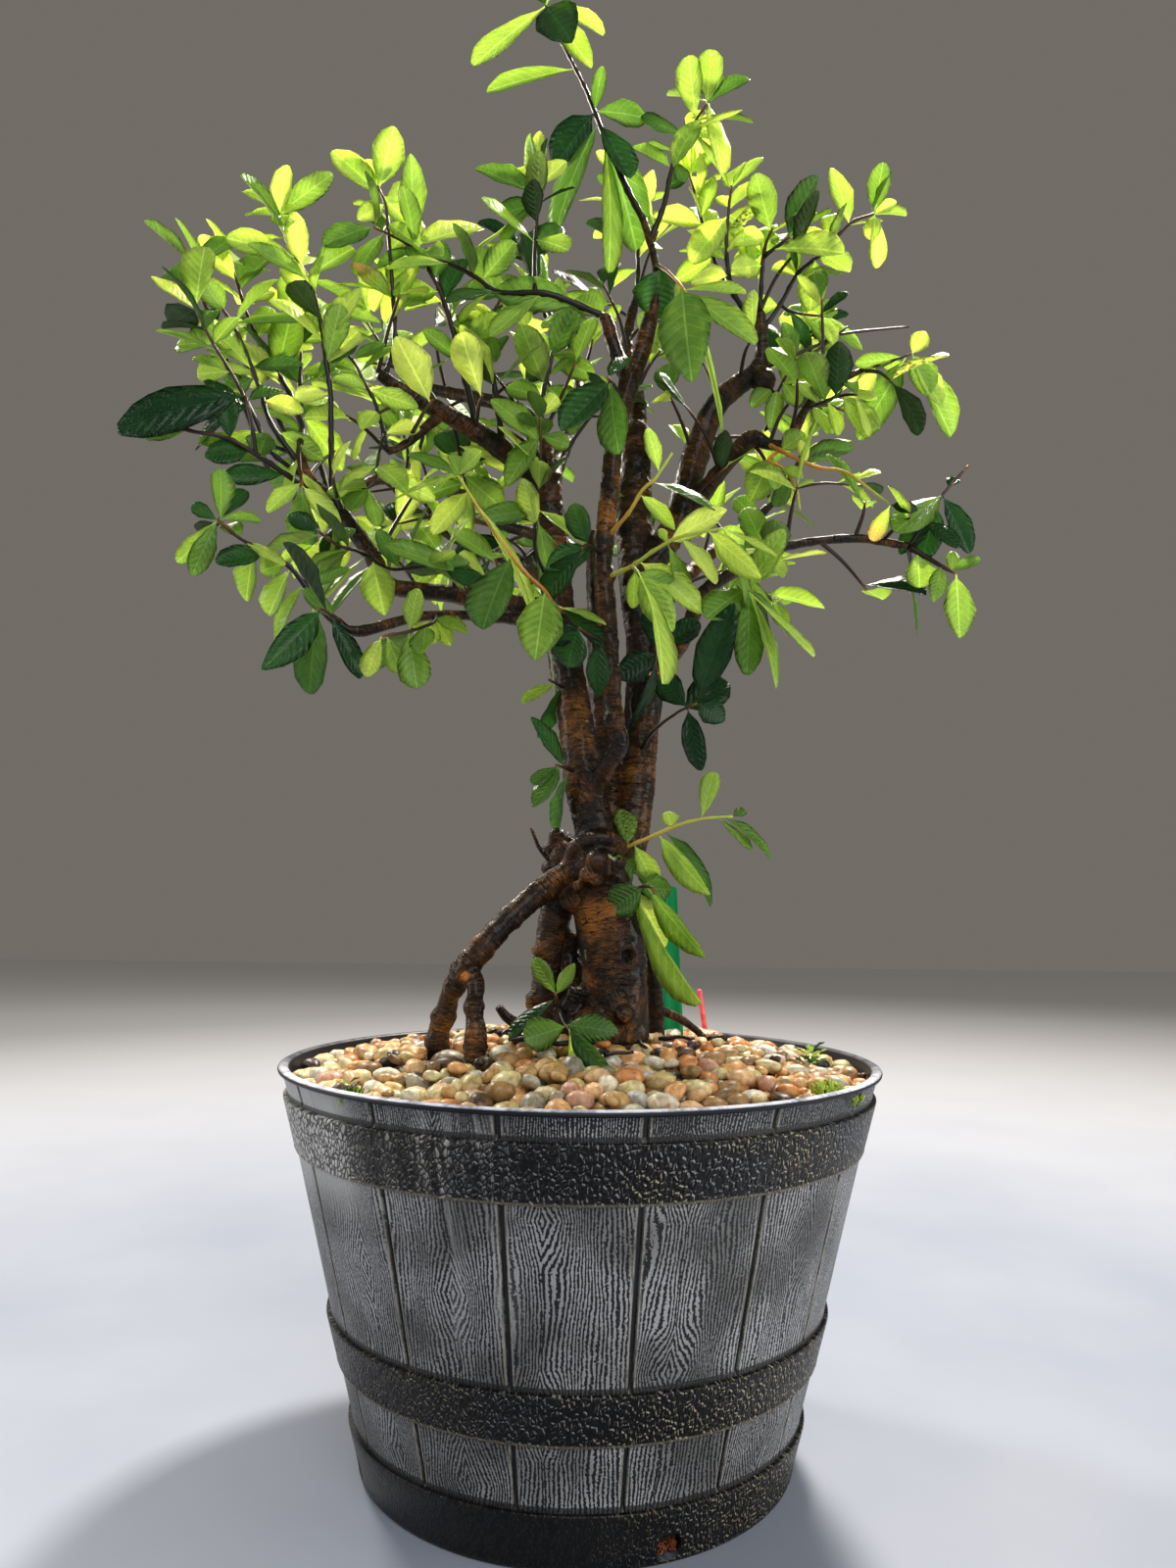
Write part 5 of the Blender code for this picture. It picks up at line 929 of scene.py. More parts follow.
@dataclass(frozen=True)
class HammeredHoopFinish(Finish):
    """The same polypropylene moulded like hide: slanting grains with a painted highlight on their
    upper edge.
    """

    base: str = "060607"
    body: str = "171612"
    # Colours of the painted highlight on the grains' upper edges, slate in some patches and brown
    # in others.
    slate_highlight: str = "aaaeb6"
    brown: str = "c6b996"
    dust: str = "d6d5cf"
    # Real grains are 2.2 by 3.6 mm; they are drawn 3.0 by 4.8 mm so that the render holds them.
    grain: float = 3.0
    length: float = 1.6
    relief: float = 0.9
    # Metres round the hoop for one radian, and the step towards the side of a grain that gets the
    # painted highlight.
    round_scale: float = 0.235
    light_side: tuple = (0.0004, 0.0, 0.0005)
    # Colour of the painted highlight along the hoop's lower edge.
    edge_highlight: str = "7d7360"

    def grains(self, add: NodeAdder, lift: tuple) -> NodeSocket:
        """Height of the slanting grains, read a little off the place.

        Args:
            add: Adds nodes to the material's tree.
            lift: How far off the place they are read, in metres.

        Returns:
            The height, from 0 to 1.
        """
        x, y, z = add.axes(add.place())
        # Round the hoop and up the hoop; the two ends meet at the back of the pot.
        turn = add.math("ARCTAN2", x, add.times(y, -1.0))
        flat = add("CombineXYZ", add.times(turn, self.round_scale), 0.0, z)
        place = add("VectorMath", flat, lift, operation="ADD")
        bend = add("TexNoise", place, {"Scale": 170.0, "Detail": 2.0}, out="Color")
        warped = add("VectorMath", bend, (0.004, 0.0, 0.004), place, operation="MULTIPLY_ADD")
        slant = add("Mapping", warped, None, (0.0, -0.9, 0.0), (self.length, 1.0, 1.0),
                    vector_type="TEXTURE")
        rim = add("TexVoronoi", slant, {"Scale": 1.0 / (self.grain * MM), "Randomness": 0.9},
                  feature="DISTANCE_TO_EDGE")
        return add.eased(rim, 0.0, 0.3)

    def feeds(self, add: NodeAdder) -> dict:
        """Hide grains with a painted highlight on their upper right edges and painted shade in the
        channels, a painted highlight along the lower edge, dried stains.

        Args:
            add: Adds nodes to the material's tree.

        Returns:
            Sockets and values by the shader's inputs.
        """
        place = add.place()
        height = self.grains(add, (0.0, 0.0, 0.0))
        above = self.grains(add, self.light_side)
        # Painted highlight: the upper right slope of each grain is lightened.
        slope = add.eased(add.minus(height, above), 0.12, 0.6)
        x, _, z = add.axes(place)
        # The painted highlight is strongest on the right of the pot; on the foot it shows only
        # there.
        side = add.mapped(x, -0.14, 0.14, 0.3, 1.0)
        foot = add.eased(x, 0.0, 0.1, 0.04, 0.75)
        rub_and_highlight = add.mapped(z, 0.034, 0.042, foot, side)
        patch = add.noise(place, 11.0, 3.0)
        umber = add.eased(patch, 0.42, 0.56)
        highlight_colour = add.mix(umber, self.slate_highlight, self.brown)
        # Painted shade: the channels between the grains are darker than the grain tops.
        body = add.mix(height, self.base, self.body)
        sheen_and_wear = add.times(slope, add.mapped(patch, 0.3, 0.7, 0.5, 1.0))
        sheen_and_wear = add.times(sheen_and_wear, rub_and_highlight)
        paint = add.mix(sheen_and_wear, body, highlight_colour)
        dusty = add.times(stains(add, 0.95), add.mapped(height, 0.1, 0.6, 0.05, 1.0))
        stained = add.mix(dusty, paint, self.dust)
        # A painted highlight along the hoop's lower edge.
        edge = add.times(add.stored("edge"), 0.6)
        return {"Base Color": add.mix(edge, stained, self.edge_highlight),
                "Roughness": add.mapped(patch, 0.0, 1.0, 0.28, 0.42), "Specular IOR Level": 0.28,
                "Normal": add.relief(height, add.mapped(rub_and_highlight, 0.0, 0.3, 0.15, 1.0), self.relief)}


@dataclass(frozen=True)
class SmoothRimFinish(Finish):
    """Smooth black polypropylene of the lip and the inside, scuffed whitish along the lip, with a
    painted highlight on the lip's crest at the front.
    """

    base: str = "12141c"
    scuff_and_highlight: str = "d3d7e6"

    def feeds(self, add: NodeAdder) -> dict:
        """Dark and satin, with pale scuffs and a painted highlight along the front of the lip's
        top.

        Args:
            add: Adds nodes to the material's tree.

        Returns:
            Sockets and values by the shader's inputs.
        """
        place = add.place()
        rubs = add.noise(place, 95.0, 4.0, roughness=0.65)
        _, depth, height = add.axes(place)
        # The painted highlight follows the lip's crest.
        edge = add.eased(height, 0.2447, 0.2455)
        sheen_and_wear = add.eased(rubs, 0.32, 0.6, 0.3, 1.0)
        # The whitish scuffs and the painted highlight along the crest stand on the front of the
        # lip; round the sides and back it stays dark.
        front = add.mapped(depth, -0.02, -0.1, 0.12, 1.0)
        mask = add.times(add.times(edge, sheen_and_wear), front)
        fine = add.noise(place, 900.0, 1.0)
        return {"Base Color": add.mix(mask, self.base, self.scuff_and_highlight),
                "Roughness": add.mapped(rubs, 0.0, 1.0, 0.34, 0.56), "Specular IOR Level": 0.3,
                "Normal": add.relief(fine, 0.25, 0.15)}


@dataclass(frozen=True)
class RustyRootFinish(Finish):
    """Dead root fibres: rust-orange, matt, darker in places."""

    pale: str = "96501f"
    deep: str = "3a190c"

    def feeds(self, add: NodeAdder) -> dict:
        """Dry orange hairs.

        Args:
            add: Adds nodes to the material's tree.

        Returns:
            Sockets and values by the shader's inputs.
        """
        grain = add.noise(add.place(), 400.0, 2.0)
        return {"Base Color": add.ramp(grain, ((0.35, self.deep), (0.65, self.pale))),
                "Roughness": 0.85}


@dataclass
class BarrelPot:
    """The moulded half barrel: sixteen staves, three hoops, a rounded lip and four drain holes."""

    height: float = 246.0
    rim_radius: float = 197.0
    foot_radius: float = 138.0
    staves: int = 16
    first_seam: float = -12.5
    seam_depth: float = 2.0
    # Turns from a seam, in degrees, how deep the groove is there and how strong the painted
    # highlight on the edge is.
    seam_section: tuple = ((0.0, 1.0, 0.0), (0.25, 0.9, 0.0), (0.46, 0.35, 0.3), (0.66, 0.0, 1.0),
                           (1.1, 0.0, 0.0))
    stave_columns: int = 16
    wall: float = 4.5
    floor: float = 5.0
    lip_height: float = 4.0
    lip_width: float = 7.0
    lip_rise: float = 1.8
    hoop_stand: float = 2.0
    # Rows over a hoop's upper edge: whether on the stave, inset, rise, finish and painted light;
    # two of them carry the painted shadow line over the hoop.
    hoop_edge: tuple = ((1, 0.0, 3.2, Moulding.STAVE, PaintedEdgeLight.NONE),
                        (1, 0.0, 2.6, Moulding.STAVE, PaintedEdgeLight.PAINTED_SHADOW_LINE),
                        (1, 0.4, 0.0, Moulding.HOOP, PaintedEdgeLight.PAINTED_SHADOW_LINE),
                        (0, 0.4, -0.3, Moulding.HOOP, PaintedEdgeLight.NONE),
                        (0, 0.05, -0.9, Moulding.HOOP, PaintedEdgeLight.NONE))
    # How dark the painted shadow line over a hoop is, and the degrees from which an edge is sharp.
    shadow_line_darkness: float = 0.85
    sharp_from: float = 38.0
    hoops: tuple = ((229.0, 196.5), (97.0, 68.5), (32.0, 3.0))
    row_step: float = 6.0
    drain_radius: float = 7.5
    drain_height: float = 9.5
    drain_angles: tuple = (21.0, 111.0, 201.0, 291.0)
    fibres: int = 34

    def wall_radius(self, height: float) -> float:
        """Outer radius of the straight taper at a height."""
        return self.foot_radius + (self.rim_radius - self.foot_radius) * height / self.height

    def inner_radius(self, height: float) -> float:
        """Inner radius at a height."""
        return self.wall_radius(height) - self.hoop_stand - self.wall

    def stretch(self, top: tuple, bottom: tuple, kind: Moulding) -> list[tuple]:
        """Rows of a straight stretch of the profile, each radius, height, finish and painted edge
        light.

        Args:
            top: Radius and height where it starts.
            bottom: Radius and height where it ends.
            kind: Which finish the stretch wears.

        Returns:
            Every row but the last.
        """
        count = max(1, round(math.dist(top, bottom) / self.row_step))
        return [(top[0] + (bottom[0] - top[0]) * part / count,
                 top[1] + (bottom[1] - top[1]) * part / count, kind, PaintedEdgeLight.NONE)
                for part in range(count)]

    def profile(self) -> list[tuple]:
        """The profile from the floor's middle, up inside, over the lip and down outside.

        Returns:
            Radius, height, the finish below each row, and the painted light on it.
        """
        hoop, smooth = (Moulding.HOOP, PaintedEdgeLight.NONE), (Moulding.SMOOTH, PaintedEdgeLight.NONE)
        lip_foot = self.height - self.lip_height
        inside, under_lip = self.inner_radius(self.floor), self.inner_radius(lip_foot)
        rows = self.stretch((0.6, self.floor), (inside, self.floor), Moulding.SMOOTH)[::4]
        rows += self.stretch((inside, self.floor), (under_lip, lip_foot), Moulding.SMOOTH)[::3]
        rows.append((under_lip, lip_foot, *smooth))
        half = self.lip_width / 2
        for turn in range(180, -1, -30):
            angle = math.radians(turn)
            rows.append((self.rim_radius - half + half * math.cos(angle),
                         self.height - self.lip_rise + self.lip_rise * math.sin(angle), *smooth))
        rows += [(self.rim_radius - 0.3, self.height - 2.9, *smooth),
                 (self.wall_radius(lip_foot) - self.hoop_stand + 0.5, lip_foot + 0.4, *smooth)]
        level, stand = lip_foot, self.hoop_stand
        for top, bottom in self.hoops:
            rows += self.stretch((self.wall_radius(level) - stand, level),
                                 (self.wall_radius(top) - stand, top + 3.4), Moulding.STAVE)
            rows += [(self.wall_radius(top) - stand * on_stave - inset, top + rise, kind, wear_and_edge_light)
                     for on_stave, inset, rise, kind, wear_and_edge_light in self.hoop_edge]
            rows += self.stretch((self.wall_radius(top), top - 1.8),
                                 (self.wall_radius(bottom), bottom + 2.0), Moulding.HOOP)
            rows.append((self.wall_radius(bottom), bottom + 2.0, *hoop))
            # Each hoop's lower edge gets a painted highlight.
            if bottom > 5.0:
                rows += [(self.wall_radius(bottom) - inset, bottom + rise, Moulding.HOOP,
                          PaintedEdgeLight.PAINTED_HIGHLIGHT_EDGE) for inset, rise in ((0.0, 1.2), (0.5, 0.2))]
            level = bottom
        rows += [(self.wall_radius(3.0), 3.0, *hoop), (self.foot_radius - 0.2, 1.0, *smooth),
                 (self.foot_radius - 1.4, 0.0, *smooth)]
        rows += [(self.foot_radius * share, 0.0, *smooth) for share in (0.8, 0.4, 0.005)]
        return rows

    def columns(self) -> list[tuple[float, float, float, int]]:
        """Turns round the pot: angle, groove's depth share, the edge's painted highlight and the
        stave's number.

        Returns:
            One row for each turn.
        """
        step = 360.0 / self.staves
        outer = self.seam_section[-1][0]
        turns = []
        for stave in range(self.staves):
            start = self.first_seam + stave * step
            turns += [(start + off, *rest, stave) for off, *rest in self.seam_section]
            turns += [(start + outer + (step - 2 * outer) * part / self.stave_columns, 0.0, 0.0,
                       stave) for part in range(1, self.stave_columns)]
            turns += [(start + step - off, *rest, stave)
                      for off, *rest in self.seam_section[:0:-1]]
        return turns

    def shell(self) -> Object:
        """Build the pot's wall with its grooves, grain map and finishes.

        Returns:
            The barrel, still without its holes.
        """
        rows, columns = self.profile(), self.columns()
        count, step = len(columns), 360.0 / self.staves
        verts, faces, kinds, groove_and_shadow, edge = [], [], [], [], []
        for radius, height, kind, wear_and_edge_light in rows:
            outside = radius > self.inner_radius(height) + self.wall / 2
            for angle, deep, sheen_and_wear, _ in columns:
                turn = math.radians(angle)
                grooved = outside and kind == Moulding.STAVE
                reach = radius - (self.seam_depth * deep if grooved else 0.0)
                verts.append((reach * math.sin(turn), -reach * math.cos(turn), height))
                # The painted shadow line over each hoop darkens the stave rows above it, the same
                # way a seam's groove is darkened.
                shadow_line = self.shadow_line_darkness if wear_and_edge_light == PaintedEdgeLight.PAINTED_SHADOW_LINE else 0.0
                groove_and_shadow.append(min(1.0, deep * 1.3 + shadow_line))
                # A painted highlight lightens the groove edges on the staves and the lower edge of
                # each hoop.
                edge.append(sheen_and_wear if kind == Moulding.STAVE else float(wear_and_edge_light == PaintedEdgeLight.PAINTED_HIGHLIGHT_EDGE))
        for row in range(len(rows) - 1):
            top, low = row * count, (row + 1) * count
            faces += [(top + part, low + part, low + (part + 1) % count, top + (part + 1) % count)
                      for part in range(count)]
            kinds += [rows[row][2]] * count
        faces += [tuple(range(count)), tuple(range(len(verts) - 1, len(verts) - count - 1, -1))]
        mesh = mesh_from("barrel_wall", verts, faces)
        mesh.polygons.foreach_set("material_index", kinds + [Moulding.SMOOTH] * 2)
        grain = mesh.uv_layers.new(name="grain")
        numbers = [random.Random(f"{SEED} stave {stave}").random() for stave in range(self.staves)]
        for polygon in mesh.polygons[:-2]:
            part = polygon.index % count
            middle = self.first_seam + (columns[part][3] + 0.5) * step
            for loop in polygon.loop_indices:
                vertex = mesh.loops[loop].vertex_index
                angle = columns[vertex % count][0] + (360.0 if vertex % count < part else 0.0)
                radius, height = rows[vertex // count][:2]
                grain.data[loop].uv = (math.radians(angle - middle) * radius * MM, height * MM)
        add_attribute(mesh, "stave", "FLOAT",
                      [numbers[columns[face % count][3]] for face in range(len(faces))], "FACE")
        add_attribute(mesh, "groove_and_shadow", "FLOAT", groove_and_shadow)
        add_attribute(mesh, "edge", "FLOAT", edge)
        mesh.set_sharp_from_angle(angle=math.radians(self.sharp_from))
        return link_object("barrel_pot_detailed", mesh)

    def outward(self, angle: float) -> Vector:
        """The direction out of the pot at a turn in degrees from the front."""
        return Vector((math.sin(math.radians(angle)), -math.cos(math.radians(angle)), 0.0))

    def drain_holes(self, barrel: Object) -> None:
        """Cut the four drain holes through the barrel's wall above its foot.

        Args:
            barrel: The barrel to cut.
        """
        drills = Tubes()
        for angle in self.drain_angles:
            out, rise = self.outward(angle), Vector((0, 0, self.drain_height))
            drills.add([(*(out * reach + rise), self.drain_radius)
                        for reach in (self.foot_radius - 15.0, self.foot_radius + 15.0)], 28)
        drill = drills.made("drain_drills")
        for material in barrel.data.materials:
            drill.data.materials.append(material)
        drill.data.polygons.foreach_set("material_index",
                                        [Moulding.SMOOTH] * len(drill.data.polygons))
        cut = barrel.modifiers.new("Drain", "BOOLEAN")
        cut.object = drill
        cut.solver = "EXACT"
        baked(barrel)
        bpy.data.objects.remove(drill)

    def build(self) -> None:
        """Build and dress the pot."""
        barrel = self.shell()
        barrel.data.materials.append(RubbedStaveFinish().material("rubbed_grain_polypropylene"))
        barrel.data.materials.append(HammeredHoopFinish().material("hammered_polypropylene"))
        barrel.data.materials.append(SmoothRimFinish().material("smooth_polypropylene"))
        self.drain_holes(barrel)
        hand_over(barrel, Slot.POT, "barrel_pot")

    def rusty_fibres(self) -> None:
        """Dead root fibres that hang in the front drain hole."""
        draw = random.Random(f"{SEED} fibres")
        out = self.outward(self.drain_angles[0])
        side = Vector((0.0, 0.0, 1.0)).cross(out)
        middle = out * (self.foot_radius - 3.0) + Vector((0.0, 0.0, self.drain_height))
        tubes = Tubes()
        for _ in range(self.fibres):
            route = []
            x, z = draw.uniform(-5.5, 5.5), draw.uniform(-5.0, 3.0)
            for step in range(4):
                x = max(-6.4, min(6.4, x + draw.uniform(-2.6, 2.6)))
                z = max(-6.2, min(5.0, z + draw.uniform(-2.4, 2.0)))
                place = middle + side * x + out * (step * 0.8 - 1.5)
                route.append((place.x, place.y, place.z + z, 0.5 - 0.07 * step))
            tubes.add(smoothed(route, 1.4), 5)
        hand_over(tubes.made("drain_root_fibres", RustyRootFinish().material("dry_root_fibre")),
                  Slot.SOIL)


@dataclass(frozen=True)
class PottingSoilFinish(Finish):
    """Damp potting soil: dark brown crumbs with a few pale grains."""

    dark: str = "1c130d"
    light: str = "4a3524"
    crumb: float = 2.4

    def feeds(self, add: NodeAdder) -> dict:
        """Crumbs by size of the grain, matt and rough.

        Args:
            add: Adds nodes to the material's tree.

        Returns:
            Sockets and values by the shader's inputs.
        """
        place = add.place()
        crumbs = add("TexVoronoi", place, {"Scale": 1.0 / (self.crumb * MM)})
        dust = add.noise(place, 160.0, 5.0)
        return {"Base Color": add.ramp(dust, ((0.4, self.dark), (0.62, self.light),
                                              (0.72, "7c6549"))), "Roughness": 0.92,
                "Normal": add.relief(crumbs, 1.0, 1.2)}


@dataclass(frozen=True)
class PolishedPebbleFinish(Finish):
    """Tumbled river pebbles: tan, cream, peach, orange, brown, grey and white, waxed smooth."""

    # Each stop is one kind of stone; a pebble takes one of them by its own number.
    kinds: tuple = ((0.0, "d2a868"), (0.09, "e9d79c"), (0.18, "ecb070"), (0.27, "a98452"),
                    (0.33, "ebe2c4"), (0.41, "e59a58"), (0.47, "8a6a42"), (0.52, "dfc682"),
                    (0.6, "a19c84"), (0.64, "f0c48c"), (0.73, "d6c894"), (0.8, "d29e80"),
                    (0.85, "bcb79e"), (0.89, "5a4834"), (0.925, "dedccf"), (0.965, "1f1c19"))

    def feeds(self, add: NodeAdder) -> dict:
        """One stone colour each, mottled, with veins of iron and a waxed gloss.

        Args:
            add: Adds nodes to the material's tree.

        Returns:
            Sockets and values by the shader's inputs.
        """
        number = add.stored("stone")
        kind = add.ramp(number, self.kinds)
        kind.node.color_ramp.interpolation = "CONSTANT"
        # Mottling is about 6 mm across in the stone and bands about 13 mm.
        inside = add("VectorMath", add.place(), add.times(number, 31.0), operation="ADD")
        mottle = add.noise(inside, 170.0, 4.0, roughness=0.6, distortion=0.6)
        light = add.mapped(mottle, 0.32, 0.68, 0.36, 1.02)
        shade = add("VectorMath", kind, light, operation="MULTIPLY")
        bands = add.noise(inside, 75.0, 2.0, distortion=2.2)
        vein = add.eased(bands, 0.55, 0.68, 0.0, 0.26)
        pits = add.noise(inside, 520.0, 2.0)
        return {"Base Color": add.mix(vein, shade, "bd7a44"),
                "Roughness": add.mapped(mottle, 0.0, 1.0, 0.34, 0.52), "Specular IOR Level": 0.4,
                "Normal": add.relief(pits, 0.35, 0.4), "Coat Weight": 0.05, "Coat Roughness": 0.25}


@dataclass(frozen=True)
class MossFinish(Finish):
    """Cushion moss: wet yellow-green, each tuft its own green, a little see-through."""

    deep: str = "3c5a12"
    fresh: str = "b4cf3a"

    def feeds(self, add: NodeAdder) -> dict:
        """Greens by tuft, matt.

        Args:
            add: Adds nodes to the material's tree.

        Returns:
            Sockets and values by the shader's inputs.
        """
        colour = add.ramp(add.stored("stone"), ((0.0, self.deep), (0.6, self.fresh),
                                                (1.0, "dbe070")))
        return {"Base Color": colour, "Roughness": 0.6, "Glow": (0.3, colour)}


@dataclass
class ScatterTree:
    """Geometry Nodes tree that sets one of several shapes on every point, by the point's values."""

    name: str
    values: tuple = (("turn", "QUATERNION"), ("size", "FLOAT_VECTOR"), ("shape", "INT"),
                     ("face", "FLOAT_VECTOR"), ("curl", "FLOAT"), ("fold", "FLOAT"),
                     ("ripple", "FLOAT"), ("stone", "FLOAT"), ("blush", "FLOAT"),
                     ("blemish", "FLOAT"))
    ripples: float = 14.0
    ripple_height: float = 1.1
    tree: NodeTree | None = None

    def build(self) -> None:
        """Build the tree: pick a shape, turn and size it, bend it by its own values, dress it."""
        self.tree = tree = bpy.data.node_groups.new(self.name, "GeometryNodeTree")
        for label, kind in (("Geometry", "Geometry"), ("Shapes", "Collection"),
                            ("Upper finish", "Material"), ("Under finish", "Material"),
                            ("Ripple height", "Float")):
            tree.interface.new_socket(name=label, in_out="INPUT", socket_type=f"NodeSocket{kind}")
        tree.interface.new_socket(name="Geometry", in_out="OUTPUT",
                                  socket_type="NodeSocketGeometry")
        start, end = tree.nodes.new("NodeGroupInput"), tree.nodes.new("NodeGroupOutput")
        add = NodeAdder(tree)
        value = {name: add("GeometryNodeInputNamedAttribute", name, data_type=kind)
                 for name, kind in (*self.values[:7], ("blade_along", "FLOAT"),
                                    ("blade_across", "FLOAT"), ("under", "BOOLEAN"))}
        shapes = add("GeometryNodeCollectionInfo", start.outputs["Shapes"], True, True)
        spread = add("GeometryNodeInstanceOnPoints",
                     {"Points": start.outputs["Geometry"], "Instance": shapes,
                      "Pick Instance": True, "Instance Index": value["shape"],
                      "Rotation": value["turn"], "Scale": value["size"]})
        real = add("GeometryNodeRealizeInstances", spread)
        # A blade drops along its length, lifts to both sides of its midrib and ripples.
        along, across = value["blade_along"], value["blade_across"]
        drop = add.times(add.times(along, along), value["curl"])
        lift = add.times(add.math("ABSOLUTE", across), value["fold"])
        beat = add.math("SINE", add.scaled(along, self.ripples, value["ripple"]))
        wavy = add.times(add.times(beat, across), start.outputs["Ripple height"])
        rise = add.plus(add.minus(lift, drop), wavy)
        offset = add("VectorMath", value["face"], rise, operation="SCALE")
        bent = add("GeometryNodeSetPosition", {"Geometry": real, "Offset": offset})
        plain = add("GeometryNodeRealizeInstances", bent)
        upper = add("GeometryNodeSetMaterial", {"Geometry": plain,
                                                "Material": start.outputs["Upper finish"]})
        dressed = add("GeometryNodeSetMaterial",
                      {"Geometry": upper, "Selection": value["under"],
                       "Material": start.outputs["Under finish"]})
        tree.links.new(dressed, end.inputs["Geometry"])

    def scatter(self, name: str, points: list[dict], shapes: Collection,
                upper: Material, under: Material) -> Object:
        """Set shapes on points and turn the result into a plain mesh.

        Args:
            name: Name of the piece.
            points: A place, turn, size, shape number and other values for each point.
            shapes: The shapes to choose from.
            upper: Finish of a shape's upper faces.
            under: Finish of its under faces.

        Returns:
            The plain object.
        """
        mesh = bpy.data.meshes.new(name)
        mesh.from_pydata([point["place"] * MM for point in points], [], [])
        for key, kind in self.values:
            rest = (0.0, 0.0, 0.0) if key == "face" else 0.0
            listed = [point.get(key, rest) for point in points]
            add_attribute(mesh, key, kind, [tuple(one) if hasattr(one, "__len__") else one
                                            for one in listed])
        thing = link_object(name, mesh)
        spread = thing.modifiers.new("Scatter", "NODES")
        spread.node_group = self.tree
        given = {"Shapes": shapes, "Upper finish": upper, "Under finish": under,
                 "Ripple height": self.ripple_height * MM}
        for item in self.tree.interface.items_tree:
            if item.in_out == "INPUT" and item.name in given:
                spread[item.identifier] = given[item.name]
        return baked(thing)


def shape_collection(name: str, meshes: list[Mesh]) -> Collection:
    """Put meshes in an unlinked collection, in the order of their numbers, to scatter from.

    Args:
        name: The collection's name.
        meshes: Shapes to scatter.

    Returns:
        The collection.
    """
    home = bpy.data.collections.new(name)
    for number, mesh in enumerate(meshes):
        home.objects.link(bpy.data.objects.new(f"{name}_{number:02d}", mesh))
    return home


@dataclass
class LeafKit:
    """What leaves are made with: the scatter tree, the blade shapes and both faces' finishes."""

    scatter: ScatterTree
    blades: Collection
    upper: Material
    under: Material

    def spread(self, name: str, points: list[dict], finish: Material | None = None) -> Object:
        """Leaves set on points, in one other finish if it is named.

        Args:
            name: Name of the piece.
            points: The leaves' values.
            finish: Another finish for both faces.

        Returns:
            The leaves as one object.
        """
        return self.scatter.scatter(name, points, self.blades, finish or self.upper,
                                    finish or self.under)


